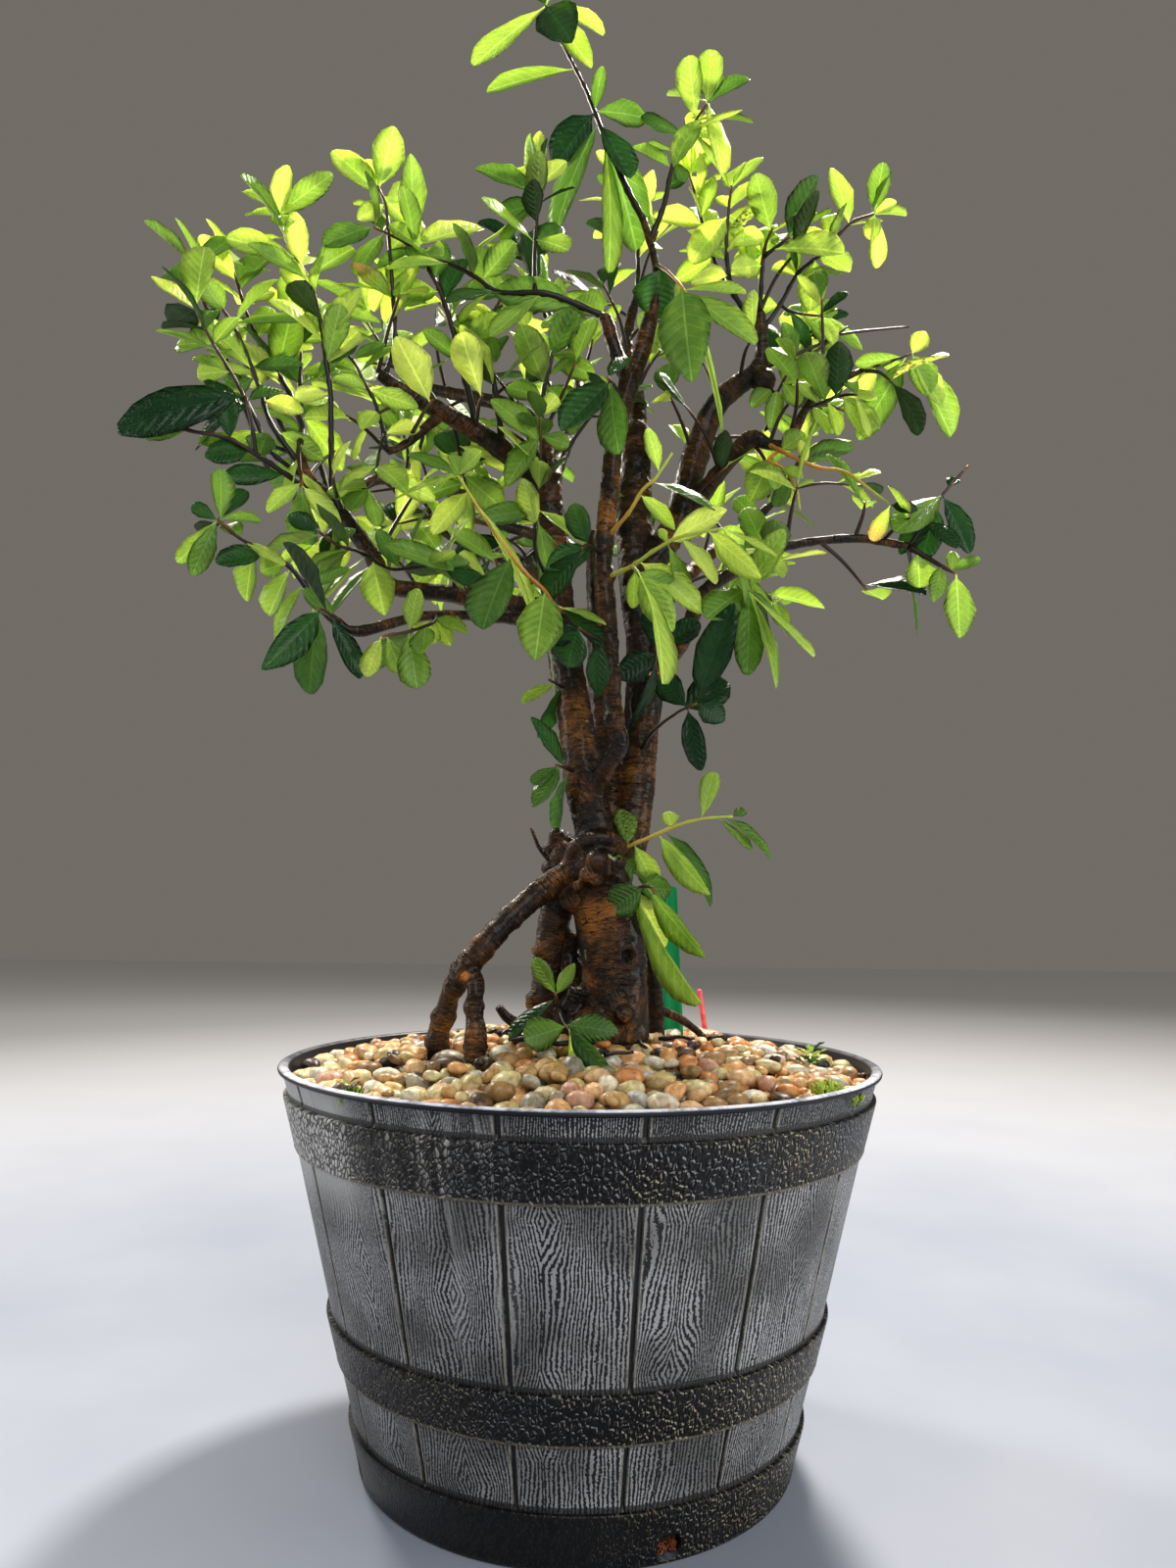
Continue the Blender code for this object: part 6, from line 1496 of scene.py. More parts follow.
@dataclass
class PebbleBed:
    """The tumbled pebbles over the soil, with the plant's feet standing among them."""

    pot: BarrelPot
    edge: float = 238.0
    crown: float = 262.0
    lengths: tuple = (9.4, 20.5)
    tries: int = 30000
    # Name, depth under the surface and how closely the pebbles lie.
    layers: tuple = (("pebble_bed_top", 0.0, 0.8), ("pebble_bed_lower", 6.5, 0.77))
    shapes: int = 6
    # Lumps of a pebble: how many and how high; and how blunt one end may be.
    lumps: tuple = (1.8, 0.26)
    most_blunt: float = 0.18
    # How fast the lengths shrink and how far one may stray; width to length, thickness to width.
    shrink: float = 0.42
    stray: tuple = (0.86, 1.14)
    widths: tuple = (0.64, 0.94)
    thicknesses: tuple = (0.62, 0.9)
    # How far a pebble sinks by its thickness, how uneven the bed is, and how much one leans.
    sunk: float = 0.42
    uneven: tuple = (-4.4, 3.4)
    lean: float = 19.0
    # Share of a pebble's half width that stays clear of the wall, and of a stem.
    wall_share: float = 0.82
    stem_share: float = 0.72
    # Places with no pebble's middle: the label, the stick and a stub, as x, y and radius.
    markers: tuple = ((62, 24, 7), (53, 24, 5), (71, 24, 5), (95, 88, 2.4), (-22, -18, 3))
    # Moss: x, y, reach and tufts. Weeds: x, y, leaves and length. Litter: x, y, turn and length.
    mosses: tuple = ((148, -108, 13, 150), (140, -116, 7, 50), (-125, -134, 8, 60),
                     (94, 126, 9, 60))
    tuft_lengths: tuple = (3.0, 7.0)
    tuft_widths: tuple = (1.2, 2.6)
    weeds: tuple = ((147, -48, 9, 10), (-126, -138, 6, 7), (139, -62, 5, 8))
    dead_twigs: tuple = ((-38, -36, 30, 26), (-50, -28, 75, 20), (-34, -58, 150, 24),
                         (-8, -72, 10, 22), (12, -96, 70, 18), (24, -86, 20, 20),
                         (38, -64, 120, 14), (62, -26, 160, 24), (-62, -14, 50, 22),
                         (-20, -44, 100, 26), (0, -58, 45, 18), (90, -18, 15, 16),
                         (-100, 10, 80, 18), (40, 60, 140, 24), (-30, 70, 30, 20))

    def __post_init__(self) -> None:
        """List the places that the stems, the label and the stick keep free of pebbles."""
        self.keep_out = [(*LIMBS[name][0][:2], LIMBS[name][0][3] + 0.6) for name in GROUNDED]
        self.keep_out += self.markers

    def surface(self, x: float, y: float) -> float:
        """Height of the bed's surface at a place."""
        reach = self.pot.inner_radius(self.edge)
        return self.crown - (self.crown - self.edge) * (math.hypot(x, y) / reach) ** 2.3

    def pebble_mesh(self, number: int) -> Mesh:
        """One tumbled pebble of unit size, its faces few because it is repeated.

        Args:
            number: Which pebble of the set.

        Returns:
            Its mesh.
        """
        draw = random.Random(f"{SEED} pebble {number}")
        work = bmesh.new()
        bmesh.ops.create_icosphere(work, subdivisions=2, radius=0.5)
        shift = Vector((draw.uniform(0, 9), draw.uniform(0, 9), draw.uniform(0, 9)))
        blunt = draw.uniform(0.0, self.most_blunt)
        for vert in work.verts:
            place = vert.co.copy()
            vert.co = place * (1.0 + noise.noise(place * self.lumps[0] + shift) * self.lumps[1])
            vert.co.y *= 1.0 + blunt * place.x * 2.0
        mesh = bpy.data.meshes.new(f"pebble_shape_{number}")
        work.to_mesh(mesh)
        work.free()
        mesh.shade_smooth()
        return mesh

    def room(self, x: float, y: float, half: float) -> bool:
        """True where a pebble of that half width stands clear of the wall and the stems.

        Args:
            x: Its middle, across the pot.
            y: Its middle, front to back.
            half: Half its width.

        Returns:
            Whether it has room.
        """
        if math.hypot(x, y) + half * self.wall_share > self.pot.inner_radius(self.edge) - 0.3:
            return False
        return all(math.hypot(x - spot[0], y - spot[1]) > spot[2] + half * self.stem_share
                   for spot in self.keep_out)

    def layer(self, name: str, depth: float, packing: float) -> list[dict]:
        """Throw one layer of pebbles, large ones first, none on another.

        Args:
            name: The layer's name.
            depth: How far the layer lies under the surface.
            packing: Share of their size that two pebbles keep apart.

        Returns:
            The pebbles' values.
        """
        draw = random.Random(f"{SEED} {name}")
        cell, reach = self.lengths[1], self.pot.inner_radius(self.edge)
        grid, points = {}, []
        for attempt in range(self.tries):
            progress = (attempt / self.tries) ** self.shrink
            length = self.lengths[1] + (self.lengths[0] - self.lengths[1]) * progress
            length *= draw.uniform(*self.stray)
            width = length * draw.uniform(*self.widths)
            half = (length + width) / 4
            angle, radius = draw.uniform(0.0, 2 * math.pi), reach * math.sqrt(draw.random())
            x, y = radius * math.cos(angle), radius * math.sin(angle)
            if not self.room(x, y, half):
                continue
            key = (int(x // cell), int(y // cell))
            near = [spot for i in (-1, 0, 1) for j in (-1, 0, 1)
                    for spot in grid.get((key[0] + i, key[1] + j), ())]
            if any(math.hypot(x - a, y - b) < (half + c) * packing for a, b, c in near):
                continue
            grid.setdefault(key, []).append((x, y, half))
            thick = width * draw.uniform(*self.thicknesses)
            level = self.surface(x, y) - depth - thick * self.sunk + draw.uniform(*self.uneven)
            lean = Quaternion(Vector((draw.gauss(0, 1), draw.gauss(0, 1), 0.0)).normalized(),
                              math.radians(abs(draw.gauss(0.0, self.lean))))
            yaw = Quaternion((0, 0, 1), draw.uniform(0.0, 2 * math.pi))
            points.append({"place": Vector((x, y, level)), "turn": lean @ yaw,
                           "size": Vector((length, width, thick)) * MM,
                           "shape": draw.randrange(self.shapes), "stone": draw.random()})
        return points

    def build(self, scatter: ScatterTree) -> None:
        """Dress the soil and build both layers of pebbles with the scatter tree.

        Args:
            scatter: The tree that sets shapes on points.
        """
        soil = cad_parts["potting_soil"]
        soil.data.materials.clear()
        soil.data.materials.append(PottingSoilFinish().material("potting_soil_crumb"))
        home = shape_collection("pebble_shapes", [self.pebble_mesh(number)
                                                  for number in range(self.shapes)])
        finish = PolishedPebbleFinish().material("tumbled_pebble")
        for name, depth, packing in self.layers:
            layer = scatter.scatter(name, self.layer(name, depth, packing), home, finish, finish)
            hand_over(layer, Slot.PEBBLES, "pebble_dressing")

    def moss(self, kit: LeafKit) -> None:
        """Moss cushions at the wall, each a dome of small tufts.

        Args:
            kit: What leaves are made with, used very small.
        """
        draw = random.Random(f"{SEED} moss")
        tufts = []
        for x, y, reach, count in self.mosses:
            for _ in range(count):
                turn, far = draw.uniform(0, 2 * math.pi), math.sqrt(draw.random())
                out = Vector((math.cos(turn), math.sin(turn), 0.0))
                px, py = x + far * reach * out.x, y + far * reach * out.y
                foot = Vector((px, py, self.surface(px, py) + 1.5 - 2.5 * far * far))
                tufts.append(leaf_point(foot, out * far + Vector((0, 0, 1)),
                                        out + Vector((0, 0, 0.3)),
                                        draw.uniform(*self.tuft_lengths),
                                        draw.uniform(*self.tuft_widths), draw))
        finish = MossFinish().material("cushion_moss")
        hand_over(kit.spread("moss_cushions", tufts, finish), Slot.FOLIAGE)

    def seedlings(self, kit: LeafKit) -> None:
        """Small weeds among the pebbles.

        Args:
            kit: What leaves are made with.
        """
        draw = random.Random(f"{SEED} seedlings")
        leaves = []
        for x, y, count, length in self.weeds:
            for number in range(count):
                spin = math.radians(GOLDEN_ANGLE * number)
                foot = Vector((x, y, self.surface(x, y) + 2 + 11 * number / count))
                leaves.append(leaf_point(foot, Vector((math.cos(spin), math.sin(spin), 0.6)),
                                         Vector((0, 0, 1)), length, length * 0.5, draw))
        hand_over(kit.spread("seedling_weeds", leaves), Slot.FOLIAGE)

    def litter(self, finish: Material) -> None:
        """Short dead twigs in the bark finish that lie among the pebbles.

        Args:
            finish: The twigs' bark.
        """
        draw = random.Random(f"{SEED} litter")
        tubes = Tubes()
        for x, y, turn, length in self.dead_twigs:
            angle, level = math.radians(turn), self.surface(x, y) + 2.5
            route = [(x + length * share * math.cos(angle) + draw.uniform(-1.5, 1.5),
                      y + length * share * math.sin(angle) + draw.uniform(-1.5, 1.5),
                      level + draw.uniform(-1.0, 3.0), draw.uniform(0.8, 1.9))
                     for share in (-0.5, -0.17, 0.17, 0.5)]
            tubes.add(smoothed(route, 3.0), 7, (0.05, 0.15))
        hand_over(tubes.made("dead_twig_litter", finish), Slot.BARK)


@dataclass(frozen=True)
class WetBarkFinish(Finish):
    """Quince bark, hosed wet: dark brown with a wet shine, orange-brown where it is rubbed."""

    deep: str = "020101"
    brown: str = "1d1006"
    middle: str = "482b10"
    warm: str = "925c24"
    ash: str = "423c33"
    lenticel: float = 2.6

    def feeds(self, add: NodeAdder) -> dict:
        """Lenticel bands, wavy cracks and runs, with cut wood, lichen, pale lines partly a painted
        highlight, and painted shade in the hollows, by their marks.

        Args:
            add: Adds nodes to the material's tree.

        Returns:
            Sockets and values by the shader's inputs.
        """
        wrap = add.stored("wrap", "Vector")
        place = add.place()
        # Bands and cracks run round the limb: their pattern is squeezed along it.
        bands = add.noise(add("Mapping", wrap, None, None, (1.0, 1.0, 4.5)),
                          0.36 / (self.lenticel * MM), 5.0, roughness=0.62, distortion=0.35)
        wave = add.noise(add("Mapping", wrap, None, None, (0.4, 0.4, 1.7)), 130.0, 2.0,
                         distortion=0.8)
        crack = add.eased(add.math("ABSOLUTE", add.minus(wave, 0.5)), 0.02, 0.004)
        runs = add.noise(add("Mapping", wrap, None, None, (1.0, 1.0, 0.16)), 260.0, 3.0)
        patches = add.noise(place, 42.0, 5.0, roughness=0.62)
        cut, pale, dark = add.axes(add.stored("marks", "Vector"))
        rub_and_highlight = add.scaled(add.stored("rub_and_highlight"), 0.13, add.times(patches, 0.62))
        mixed = add.scaled(bands, 0.38, rub_and_highlight)
        colour = add.ramp(mixed, ((0.37, self.deep), (0.47, self.brown), (0.56, self.middle),
                                  (0.7, self.warm)))
        # Pale dashes are the lenticels' corky lips; grey films are dry.
        lips = add.eased(bands, 0.62, 0.72, 0.0, 0.22)
        colour = add.mix(lips, colour, "96714c")
        grey = add.noise(place, 70.0, 4.0, roughness=0.7)
        film = add.eased(grey, 0.62, 0.76, 0.0, 0.18)
        colour = add.mix(film, colour, self.ash)
        colour = add.mix(add.times(crack, 0.9), colour, "030201")
        # Cut wood; then lichen and pale lines, the lines partly a painted highlight; then
        # near-black painted shade inside the hollows.
        for cover, code in ((cut, "b0703a"), (pale, "a7b28c"), (dark, "060403")):
            colour = add.mix(cover, colour, code)
        fine = add.noise(place, 480.0, 3.0)
        height = add.scaled(bands, 1.6, fine)
        height = add.scaled(runs, 0.7, height)
        height = add.scaled(crack, -1.0, height)
        dry = add.scaled(add.plus(cut, pale), 0.35, add.mapped(patches, 0.35, 0.7, 0.3, 0.55))
        return {"Base Color": colour, "Roughness": dry, "Specular IOR Level": 0.2,
                "Coat Weight": 0.12, "Coat Roughness": 0.1, "Normal": add.relief(height, 0.9, 1.0)}


@dataclass(frozen=True)
class TwigBarkFinish(Finish):
    """Bark of the twigs: dark brown wood that turns orange-tan, then green, where it is young."""

    old: str = "120a06"
    red: str = "3e2012"
    young: str = "c4842f"
    green: str = "a6b548"

    def feeds(self, add: NodeAdder) -> dict:
        """Brown at the foot, coloured by age towards the tip, with fine corky specks.

        Args:
            add: Adds nodes to the material's tree.

        Returns:
            Sockets and values by the shader's inputs.
        """
        specks = add.noise(add.place(), 330.0, 3.0)
        age = add.plus(add.stored("fresh"), add.mapped(specks, 0.0, 1.0, -0.14, 0.14))
        return {"Base Color": add.ramp(age, ((0.12, self.old), (0.42, self.red), (0.72, self.young),
                                             (0.95, self.green))), "Roughness": 0.45,
                "Specular IOR Level": 0.35, "Normal": add.relief(specks, 0.5, 0.3)}


@dataclass(frozen=True)
class QuinceLeafFinish(Finish):
    """Quince leaf: a waxed, quilted upper face, or the matt olive under face with raised veins."""

    under: bool = False
    pairs: int = 9

    def stops(self) -> tuple:
        """Colours from the youngest leaf to the oldest.

        Returns:
            Pairs of age and colour.
        """
        if self.under:
            return ((0.0, "ced77c"), (0.25, "b6c26a"), (0.5, "93a255"), (0.75, "6c8046"),
                    (1.0, "465c36"))
        return ((0.0, "ccd774"), (0.25, "aac658"), (0.5, "759e3c"), (0.75, "33682a"),
                (1.0, "154420"))

    def feeds(self, add: NodeAdder) -> dict:
        """Veins from the blade's own map, colour from the leaf's age, and light let through.

        Args:
            add: Adds nodes to the material's tree.

        Returns:
            Sockets and values by the shader's inputs.
        """
        along = add.stored("blade_along")
        across = add.stored("blade_across")
        place = add.place()
        wide = add.math("ABSOLUTE", across)
        # Side veins leave the midrib in pairs and sweep forward as they near the edge.
        forward = add.scaled(add.math("POWER", wide, 1.25), -0.62, along)
        beat = add.times(forward, 2 * math.pi * self.pairs)
        wave = add.math("COSINE", beat)
        side_vein = add.eased(wave, 0.84, 0.99, 0.0, 0.7)
        midrib = add.eased(wide, 0.035, 0.014)
        net = add.mapped(add("TexVoronoi", place, {"Scale": 420.0}, feature="DISTANCE_TO_EDGE"),
                         0.1, 0.02, 0.0, 0.4)
        vein = add.math("MAXIMUM", add.math("MAXIMUM", net, side_vein), midrib)
        blotch = add.noise(place, 60.0, 3.0)
        age = add.plus(add.stored("stone"), add.mapped(blotch, 0.0, 1.0, -0.12, 0.12))
        colour = add.ramp(age, self.stops())
        # The veins and the margin are paler; the margin is cut in teeth about a millimetre apart.
        paler = add("HueSaturation", {"Saturation": 0.85, "Value": 1.5, "Color": colour})
        colour = add.mix(add.times(vein, 0.75), colour, paler)
        tooth = add.math("SINE", add.times(along, 260.0))
        reach = add.scaled(tooth, 0.015, wide)
        margin = add.eased(reach, 0.45, 0.5, 0.0, 0.7)
        colour = add.mix(margin, colour, paler)
        tip = add.eased(along, 0.35, 1.0)
        flush = add.times(tip, add.stored("blush"))
        colour = add.mix(flush, colour, "dca27c")
        spots = add.mapped(add.noise(place, 520.0, 3.0), 0.5, 0.6)
        spotted = add.times(spots, add.stored("blemish"))
        colour = add.mix(spotted, colour, "5a2f16")
        quilt = add.scaled(wave, -0.35, add.minus(1.0, vein))
        bump = add.relief(quilt, 1.0, 0.9, invert=self.under)
        lit = add("HueSaturation", {"Saturation": 0.94, "Value": 1.75, "Color": colour})
        feeds = {"Base Color": colour, "Normal": bump, "Glow": (0.56, lit),
                 "Roughness": 0.6 if self.under else add.mapped(age, 0.5, 1.0, 0.42, 0.26)}
        if not self.under:
            feeds |= {"Coat Weight": 0.25, "Coat Roughness": 0.2}
        return feeds


@dataclass
class WoodyPlant:
    """Trunk, burl, exposed roots and limbs: tubes along the routes, grown together and barked."""

    foot_level: float = 236.0
    fuse_from: float = 2.9
    voxel: float = 1.75
    smooth_rounds: int = 3
    bark_relief: float = 1.15
    # Radius up to which a limb has nodes, and how far apart they are.
    thin: float = 9.0
    node_spacing: tuple = (17, 26)
    # Shares of the girth: lumps, ribs of a thin and of a stout limb, nodes.
    girth: tuple = (0.08, 0.03, 0.06, 0.1)
    # Radius from which the relief is full, and its shares: lumps, bands and folds.
    full_relief: float = 12.0
    relief_shares: tuple = (0.5, 0.45, 0.5)
    # Ring round a hollow: height, and its middle and half width by the hollow's reach.
    hollow_ring: tuple = (1.3, 1.25, 0.3)
    # How far from its line a pale line reaches, and how pale it is; the pale lines are partly a
    # painted highlight.
    pale_line_depth: float = 9.0
    pale_line_tone: float = 0.6
    # Limbs that stand thicker than LIMBS says.
    stouter: dict = field(default_factory=lambda: {
        "front_stem": 1.17, "front_left_stub": 1.3, "front_right_stub": 1.2, "left_trunk": 1.08,
        "right_trunk": 1.06})
    # The collar over the burl, which the wound wood left.
    collar: tuple = ((-10, -34, 374, 4.0), (-5, -42, 385, 5.0), (8, -46, 391, 5.6),
                     (22, -44, 389, 5.0), (30, -36, 380, 4.0))
    # Wood that the shade hides: between the base roots and between the two trunks.
    shaded: dict = field(default_factory=lambda: {
        "shaded_root": ((-8, -14, 330, 6.0), (-9, -14, 312, 9.0), (-6, -16, 280, 10.0),
                        (-4, -18, 262, 11.0)),
        "shaded_stem": ((18, -12, 392, 11.0), (18, -4, 430, 10.0), (14, 6, 480, 10.0),
                        (10, 14, 550, 9.0), (6, 18, 620, 7.0))})
    warts: tuple = (((2, -55, 367), 4.6), ((-3, -50, 360), 3.8), ((9, -57, 362), 3.6),
                    ((16, -56, 369), 4.0), ((24, -52, 375), 4.2), ((-66, -70, 284), 7.2),
                    ((-88, -41, 276), 8.0), ((-64, -75, 262), 7.6), ((-92, -39, 261), 8.4),
                    ((-80, -51, 296), 7.6), ((-46, -47, 340), 8.8), ((-21, -26, 300), 7.0),
                    ((8, -50, 268), 6.0), ((36, -36, 266), 8.0), ((10, -30, 262), 21.0),
                    ((16, -66, 560), 4.2), ((19, -66, 466), 7.2), ((14, -68, 620), 6.2),
                    ((-18, -24, 394), 6.0), ((-10, -14, 391), 6.5), ((-21, -14, 386), 6.5),
                    ((-12, -25, 384), 6.0), ((-21, -20, 372), 7.0), ((10, -54, 376), 9.0),
                    ((24, -48, 364), 7.0), ((-6, -34, 352), 9.0), ((-26, -22, 318), 7.5),
                    ((-30, -14, 284), 8.0), ((4, -50, 276), 8.0))
    cut_faces: tuple = (((10, -67, 740), 3.0), ((42, -57, 746), 3.2), ((48, -14, 508), 6.0),
                        ((-72, -65, 303), 3.6))
    lichens: tuple = (((20, -56, 380), 5.0), ((9, -54, 384), 3.0))
    # Hollows: middle, reach and depth; inside they get a near-black painted shade.
    hollows: tuple = (((30, -50, 316), 5.0, 5.0), ((134, 6, 739), 4.0, 4.0),
                      ((28, -62, 281), 2.2, 2.0), ((1, -60, 364), 2.0, 2.4))
    # Bark rubbed orange-brown: middle and reach.
    rubs: tuple = (((8, -50, 340), 22.0), ((0, -46, 300), 12.0), ((-10, -38, 480), 22.0),
                   ((-24, -14, 590), 20.0), ((14, -66, 600), 18.0))
    # Pale lines: splits in the bark, the two on the left trunk also a painted highlight along its
    # edge; both ends and half width.
    pale_lines: tuple = (((-12, -34, 402), (-23, -22, 512), 1.0),
                     ((-23, -22, 512), (-33, -8, 585), 0.9),
                     ((1, -50, 318), (0, -48, 292), 1.6))
    # Where the dead snag is splintered: middle, reach, and how deep.
    broken: tuple = ((-15, -18, 396), 11.0, 13.0)
    samples: list = field(default_factory=list)

    def __post_init__(self) -> None:
        """Gather the routes of the limbs, the burl's collar and the shaded wood."""
        self.routes = {**LIMBS, "burl_collar": self.collar, **self.shaded}

    def swell(self, name: str, stout: float) -> Callable:
        """The uneven girth of a limb.

        Args:
            name: The limb.
            stout: Its largest radius in millimetres.

        Returns:
            A function of place, turn and distance along that gives the radius factor.
        """
        draw = random.Random(f"{SEED} swell {name}")
        ribs, phase = draw.choice((2, 3)), draw.uniform(0.0, PHASE)
        spacing = draw.uniform(*self.node_spacing)
        thin = stout <= self.thin

        def factor(place: Vector, turn: float, along: float) -> float:
            """Radius factor at one point of the limb's skin.

            Args:
                place: The point.
                turn: Its turn round the limb.
                along: How far along the limb it lies.

            Returns:
                The factor.
            """
            lumps = noise.noise(place * (0.55 / max(4.0, stout)) + Vector((phase, 0, 0)))
            rib = math.cos(ribs * turn + phase + along * 0.02)
            node = math.exp(-((((along + phase * 9) % spacing) - spacing / 2) / 2.4) ** 2)
            lumpy, thin_rib, stout_rib, knotty = self.girth
            return (1.0 + lumpy * lumps + (thin_rib if thin else stout_rib) * rib
                    + knotty * node * thin)

        return factor

    def limb(self, name: str, tubes: Tubes) -> None:
        """Add one limb to the tubes and remember its axis for the bark's pattern.

        Args:
            name: The limb's name.
            tubes: Where it goes.
        """
        route = list(self.routes[name])
        if name in GROUNDED:
            x, y, _, radius = route[0]
            route.insert(0, (x, y, self.foot_level, radius * 1.04))
        stout = max(point[3] for point in route)
        more = self.stouter.get(name, 1.0)
        path = [[*point[:3], max(0.8, point[3] * more)]
                for point in smoothed(route, 4.0 if stout > 4 else 3.0)]
        tubes.add(path, 20 if stout > 4 else 12, swell=self.swell(name, stout))
        along = random.Random(f"{SEED} along {name}").uniform(0.0, 500.0)
        for index, (point, axes) in enumerate(zip(path, path_frames(path))):
            along += math.dist(point[:3], path[max(0, index - 1)][:3])
            self.samples.append((Vector(point[:3]), point[3], along, *axes))

    def knob(self, middle: tuple, radius: float) -> Object:
        """A swelling: a burl, an old pruning knot, a wart or a root's knee.

        Args:
            middle: Its middle, in millimetres.
            radius: Its rough radius.

        Returns:
            The swelling.
        """
        work = bmesh.new()
        bmesh.ops.create_icosphere(work, subdivisions=4 if radius > 9 else 3, radius=radius)
        for vert in work.verts:
            place = vert.co + Vector(middle)
            vert.co = (vert.co * (1.0 + 0.22 * noise.fractal(place * (1.1 / radius), 0.9, 2.0, 3))
                       + Vector(middle)) * MM
        mesh = bpy.data.meshes.new("knob")
        work.to_mesh(mesh)
        work.free()
        return link_object("knob", mesh)

    def grown_together(self) -> Object:
        """Stout limbs and swellings fused into one skin, with the thin limbs rooted in it.

        Returns:
            The wood.
        """
        parts, thin = [], Tubes()
        for name, route in self.routes.items():
            if min(point[3] for point in route) < self.fuse_from:
                self.limb(name, thin)
            else:
                tubes = Tubes()
                self.limb(name, tubes)
                parts.append(tubes.made(name))
        parts += [self.knob(middle, radius) for middle, radius in (*KNOBS, *self.warts)]
        wood = joined("quince_wood", parts)
        fuse = wood.modifiers.new("Fuse", "REMESH")
        fuse.mode = "VOXEL"
        fuse.voxel_size = self.voxel * MM
        even = wood.modifiers.new("Even", "SMOOTH")
        even.factor = 0.5
        even.iterations = self.smooth_rounds
        return joined("quince_wood", [baked(wood), thin.made("thin_limbs")])

    @staticmethod
    def mark(place: Vector, spot: tuple, reach: float) -> float:
        """How strongly a mark with a middle and a reach shows at a place, from 0 to 1."""
        return max(0.0, 1.0 - ((place - Vector(spot)).length / reach) ** 2)

    def skin_point(self, place: Vector, sample: tuple) -> tuple:
        """Values of the bark at one point of the skin.

        Args:
            place: The point, in millimetres.
            sample: The nearest point of a limb's axis, with its radius, distance and frame.

        Returns:
            Its wrap round the limb, its marks, how rubbed it is, and how far it is lifted.
        """
        centre, radius, along, tangent, normal, side = sample
        apart = place - centre
        wrap = Vector((apart.dot(normal), apart.dot(side), along + apart.dot(tangent)))
        lumps = noise.fractal(place * 0.16, 0.8, 2.1, 4)
        band = noise.noise(Vector((wrap.x * 0.1, wrap.y * 0.1, wrap.z * 0.42)))
        fold = 1.0 - abs(noise.noise(Vector((wrap.x * 0.05, wrap.y * 0.05, wrap.z * 0.2 + 40))))
        coarse, middling, fine = self.relief_shares
        lift = self.bark_relief * min(1.0, radius / self.full_relief) * (
            coarse * lumps + middling * band + fine * (fold ** 8 - 0.4))
        cut = max(self.mark(place, spot, reach) for spot, reach in self.cut_faces)
        # Pale lines: split bark, partly a painted highlight.
        split = 0.0
        for start, end, half in self.pale_lines:
            a, b = Vector(start), Vector(end)
            share = max(0.0, min(1.0, (place - a).dot(b - a) / (b - a).length_squared))
            off = place - a.lerp(b, share)
            if off.length < self.pale_line_depth and math.hypot(off.x, off.z) < half:
                split = self.pale_line_tone
        pale = max(self.mark(place, spot, reach) for spot, reach in self.lichens)
        # Hollows are sunk, and their near-black colour is a painted shade.
        dark = 0.0
        for spot, reach, depth in self.hollows:
            near = self.mark(place, spot, reach)
            dark = max(dark, min(1.0, near * 1.6))
            ring = (place - Vector(spot)).length / reach
            rise, middle, half = self.hollow_ring
            lift += rise * math.exp(-((ring - middle) / half) ** 2) - depth * near
        rub = max(self.mark(place, spot, reach) for spot, reach in self.rubs)
        marks = (min(1.0, cut * 2.0) * (cut > 0.3),
                 max(split, min(1.0, pale * 2.0) * (lumps + pale > 0.45)), dark)
        return wrap * MM, marks, rub, lift

    def build(self) -> None:
        """Grow the wood, raise its bark, store what its finish reads and dress it."""
        wood = self.grown_together()
        wood.data.materials.clear()
        finder = KDTree(len(self.samples))
        for number, sample in enumerate(self.samples):
            finder.insert(sample[0], number)
        finder.balance()
        wraps, marks, rubs, places = [], [], [], []
        spot, reach, depth = self.broken
        for vert in wood.data.vertices:
            place = vert.co / MM
            values = self.skin_point(place, self.samples[finder.find(place)[1]])
            wraps.append(values[0])
            marks.append(values[1])
            rubs.append(values[2])
            splinter = self.mark(place, spot, reach) * (place.z > 384) * (place.x < -6)
            drop = depth * splinter * max(0.0, 0.25 + noise.noise(
                Vector((place.x * 0.45, place.y * 0.45, 0.0))))
            places.append(vert.co + (vert.normal * values[3] - Vector((0, 0, drop))) * MM)
        for vert, place in zip(wood.data.vertices, places):
            vert.co = place
        add_attribute(wood.data, "wrap", "FLOAT_VECTOR", wraps)
        add_attribute(wood.data, "marks", "FLOAT_VECTOR", marks)
        add_attribute(wood.data, "rub_and_highlight", "FLOAT", rubs)
        wood.data.shade_smooth()
        wood.data.materials.append(WetBarkFinish().material("wet_quince_bark"))
        hand_over(wood, Slot.BARK, "trunk")


def facing(heading: Vector, towards: Vector) -> Vector:
    """The direction square to a heading that lies nearest to another direction."""
    return (towards - heading * towards.dot(heading)).normalized()


def leaf_point(place: Vector, heading: Vector, face: Vector, length: float, width: float,
               draw: random.Random) -> dict:
    """Values that set one leaf blade on a point.

    Args:
        place: The leaf's foot, in millimetres.
        heading: Direction from its foot to its tip.
        face: Roughly the direction its upper face looks.
        length: Length in millimetres.
        width: Width in millimetres.
        draw: The seeded source of its small differences.

    Returns:
        The point's values.
    """
    heading = heading.normalized()
    face = facing(heading, face)
    turn = Matrix((heading, face.cross(heading), face)).transposed().to_quaternion()
    return {"place": place, "turn": turn, "size": Vector((length * MM, width * MM, 1.0)),
            "shape": draw.randrange(3), "face": face, "curl": 0.1 * length * MM,
            "fold": 0.2 * width * MM, "ripple": draw.uniform(0.0, PHASE), "stone": draw.random()}


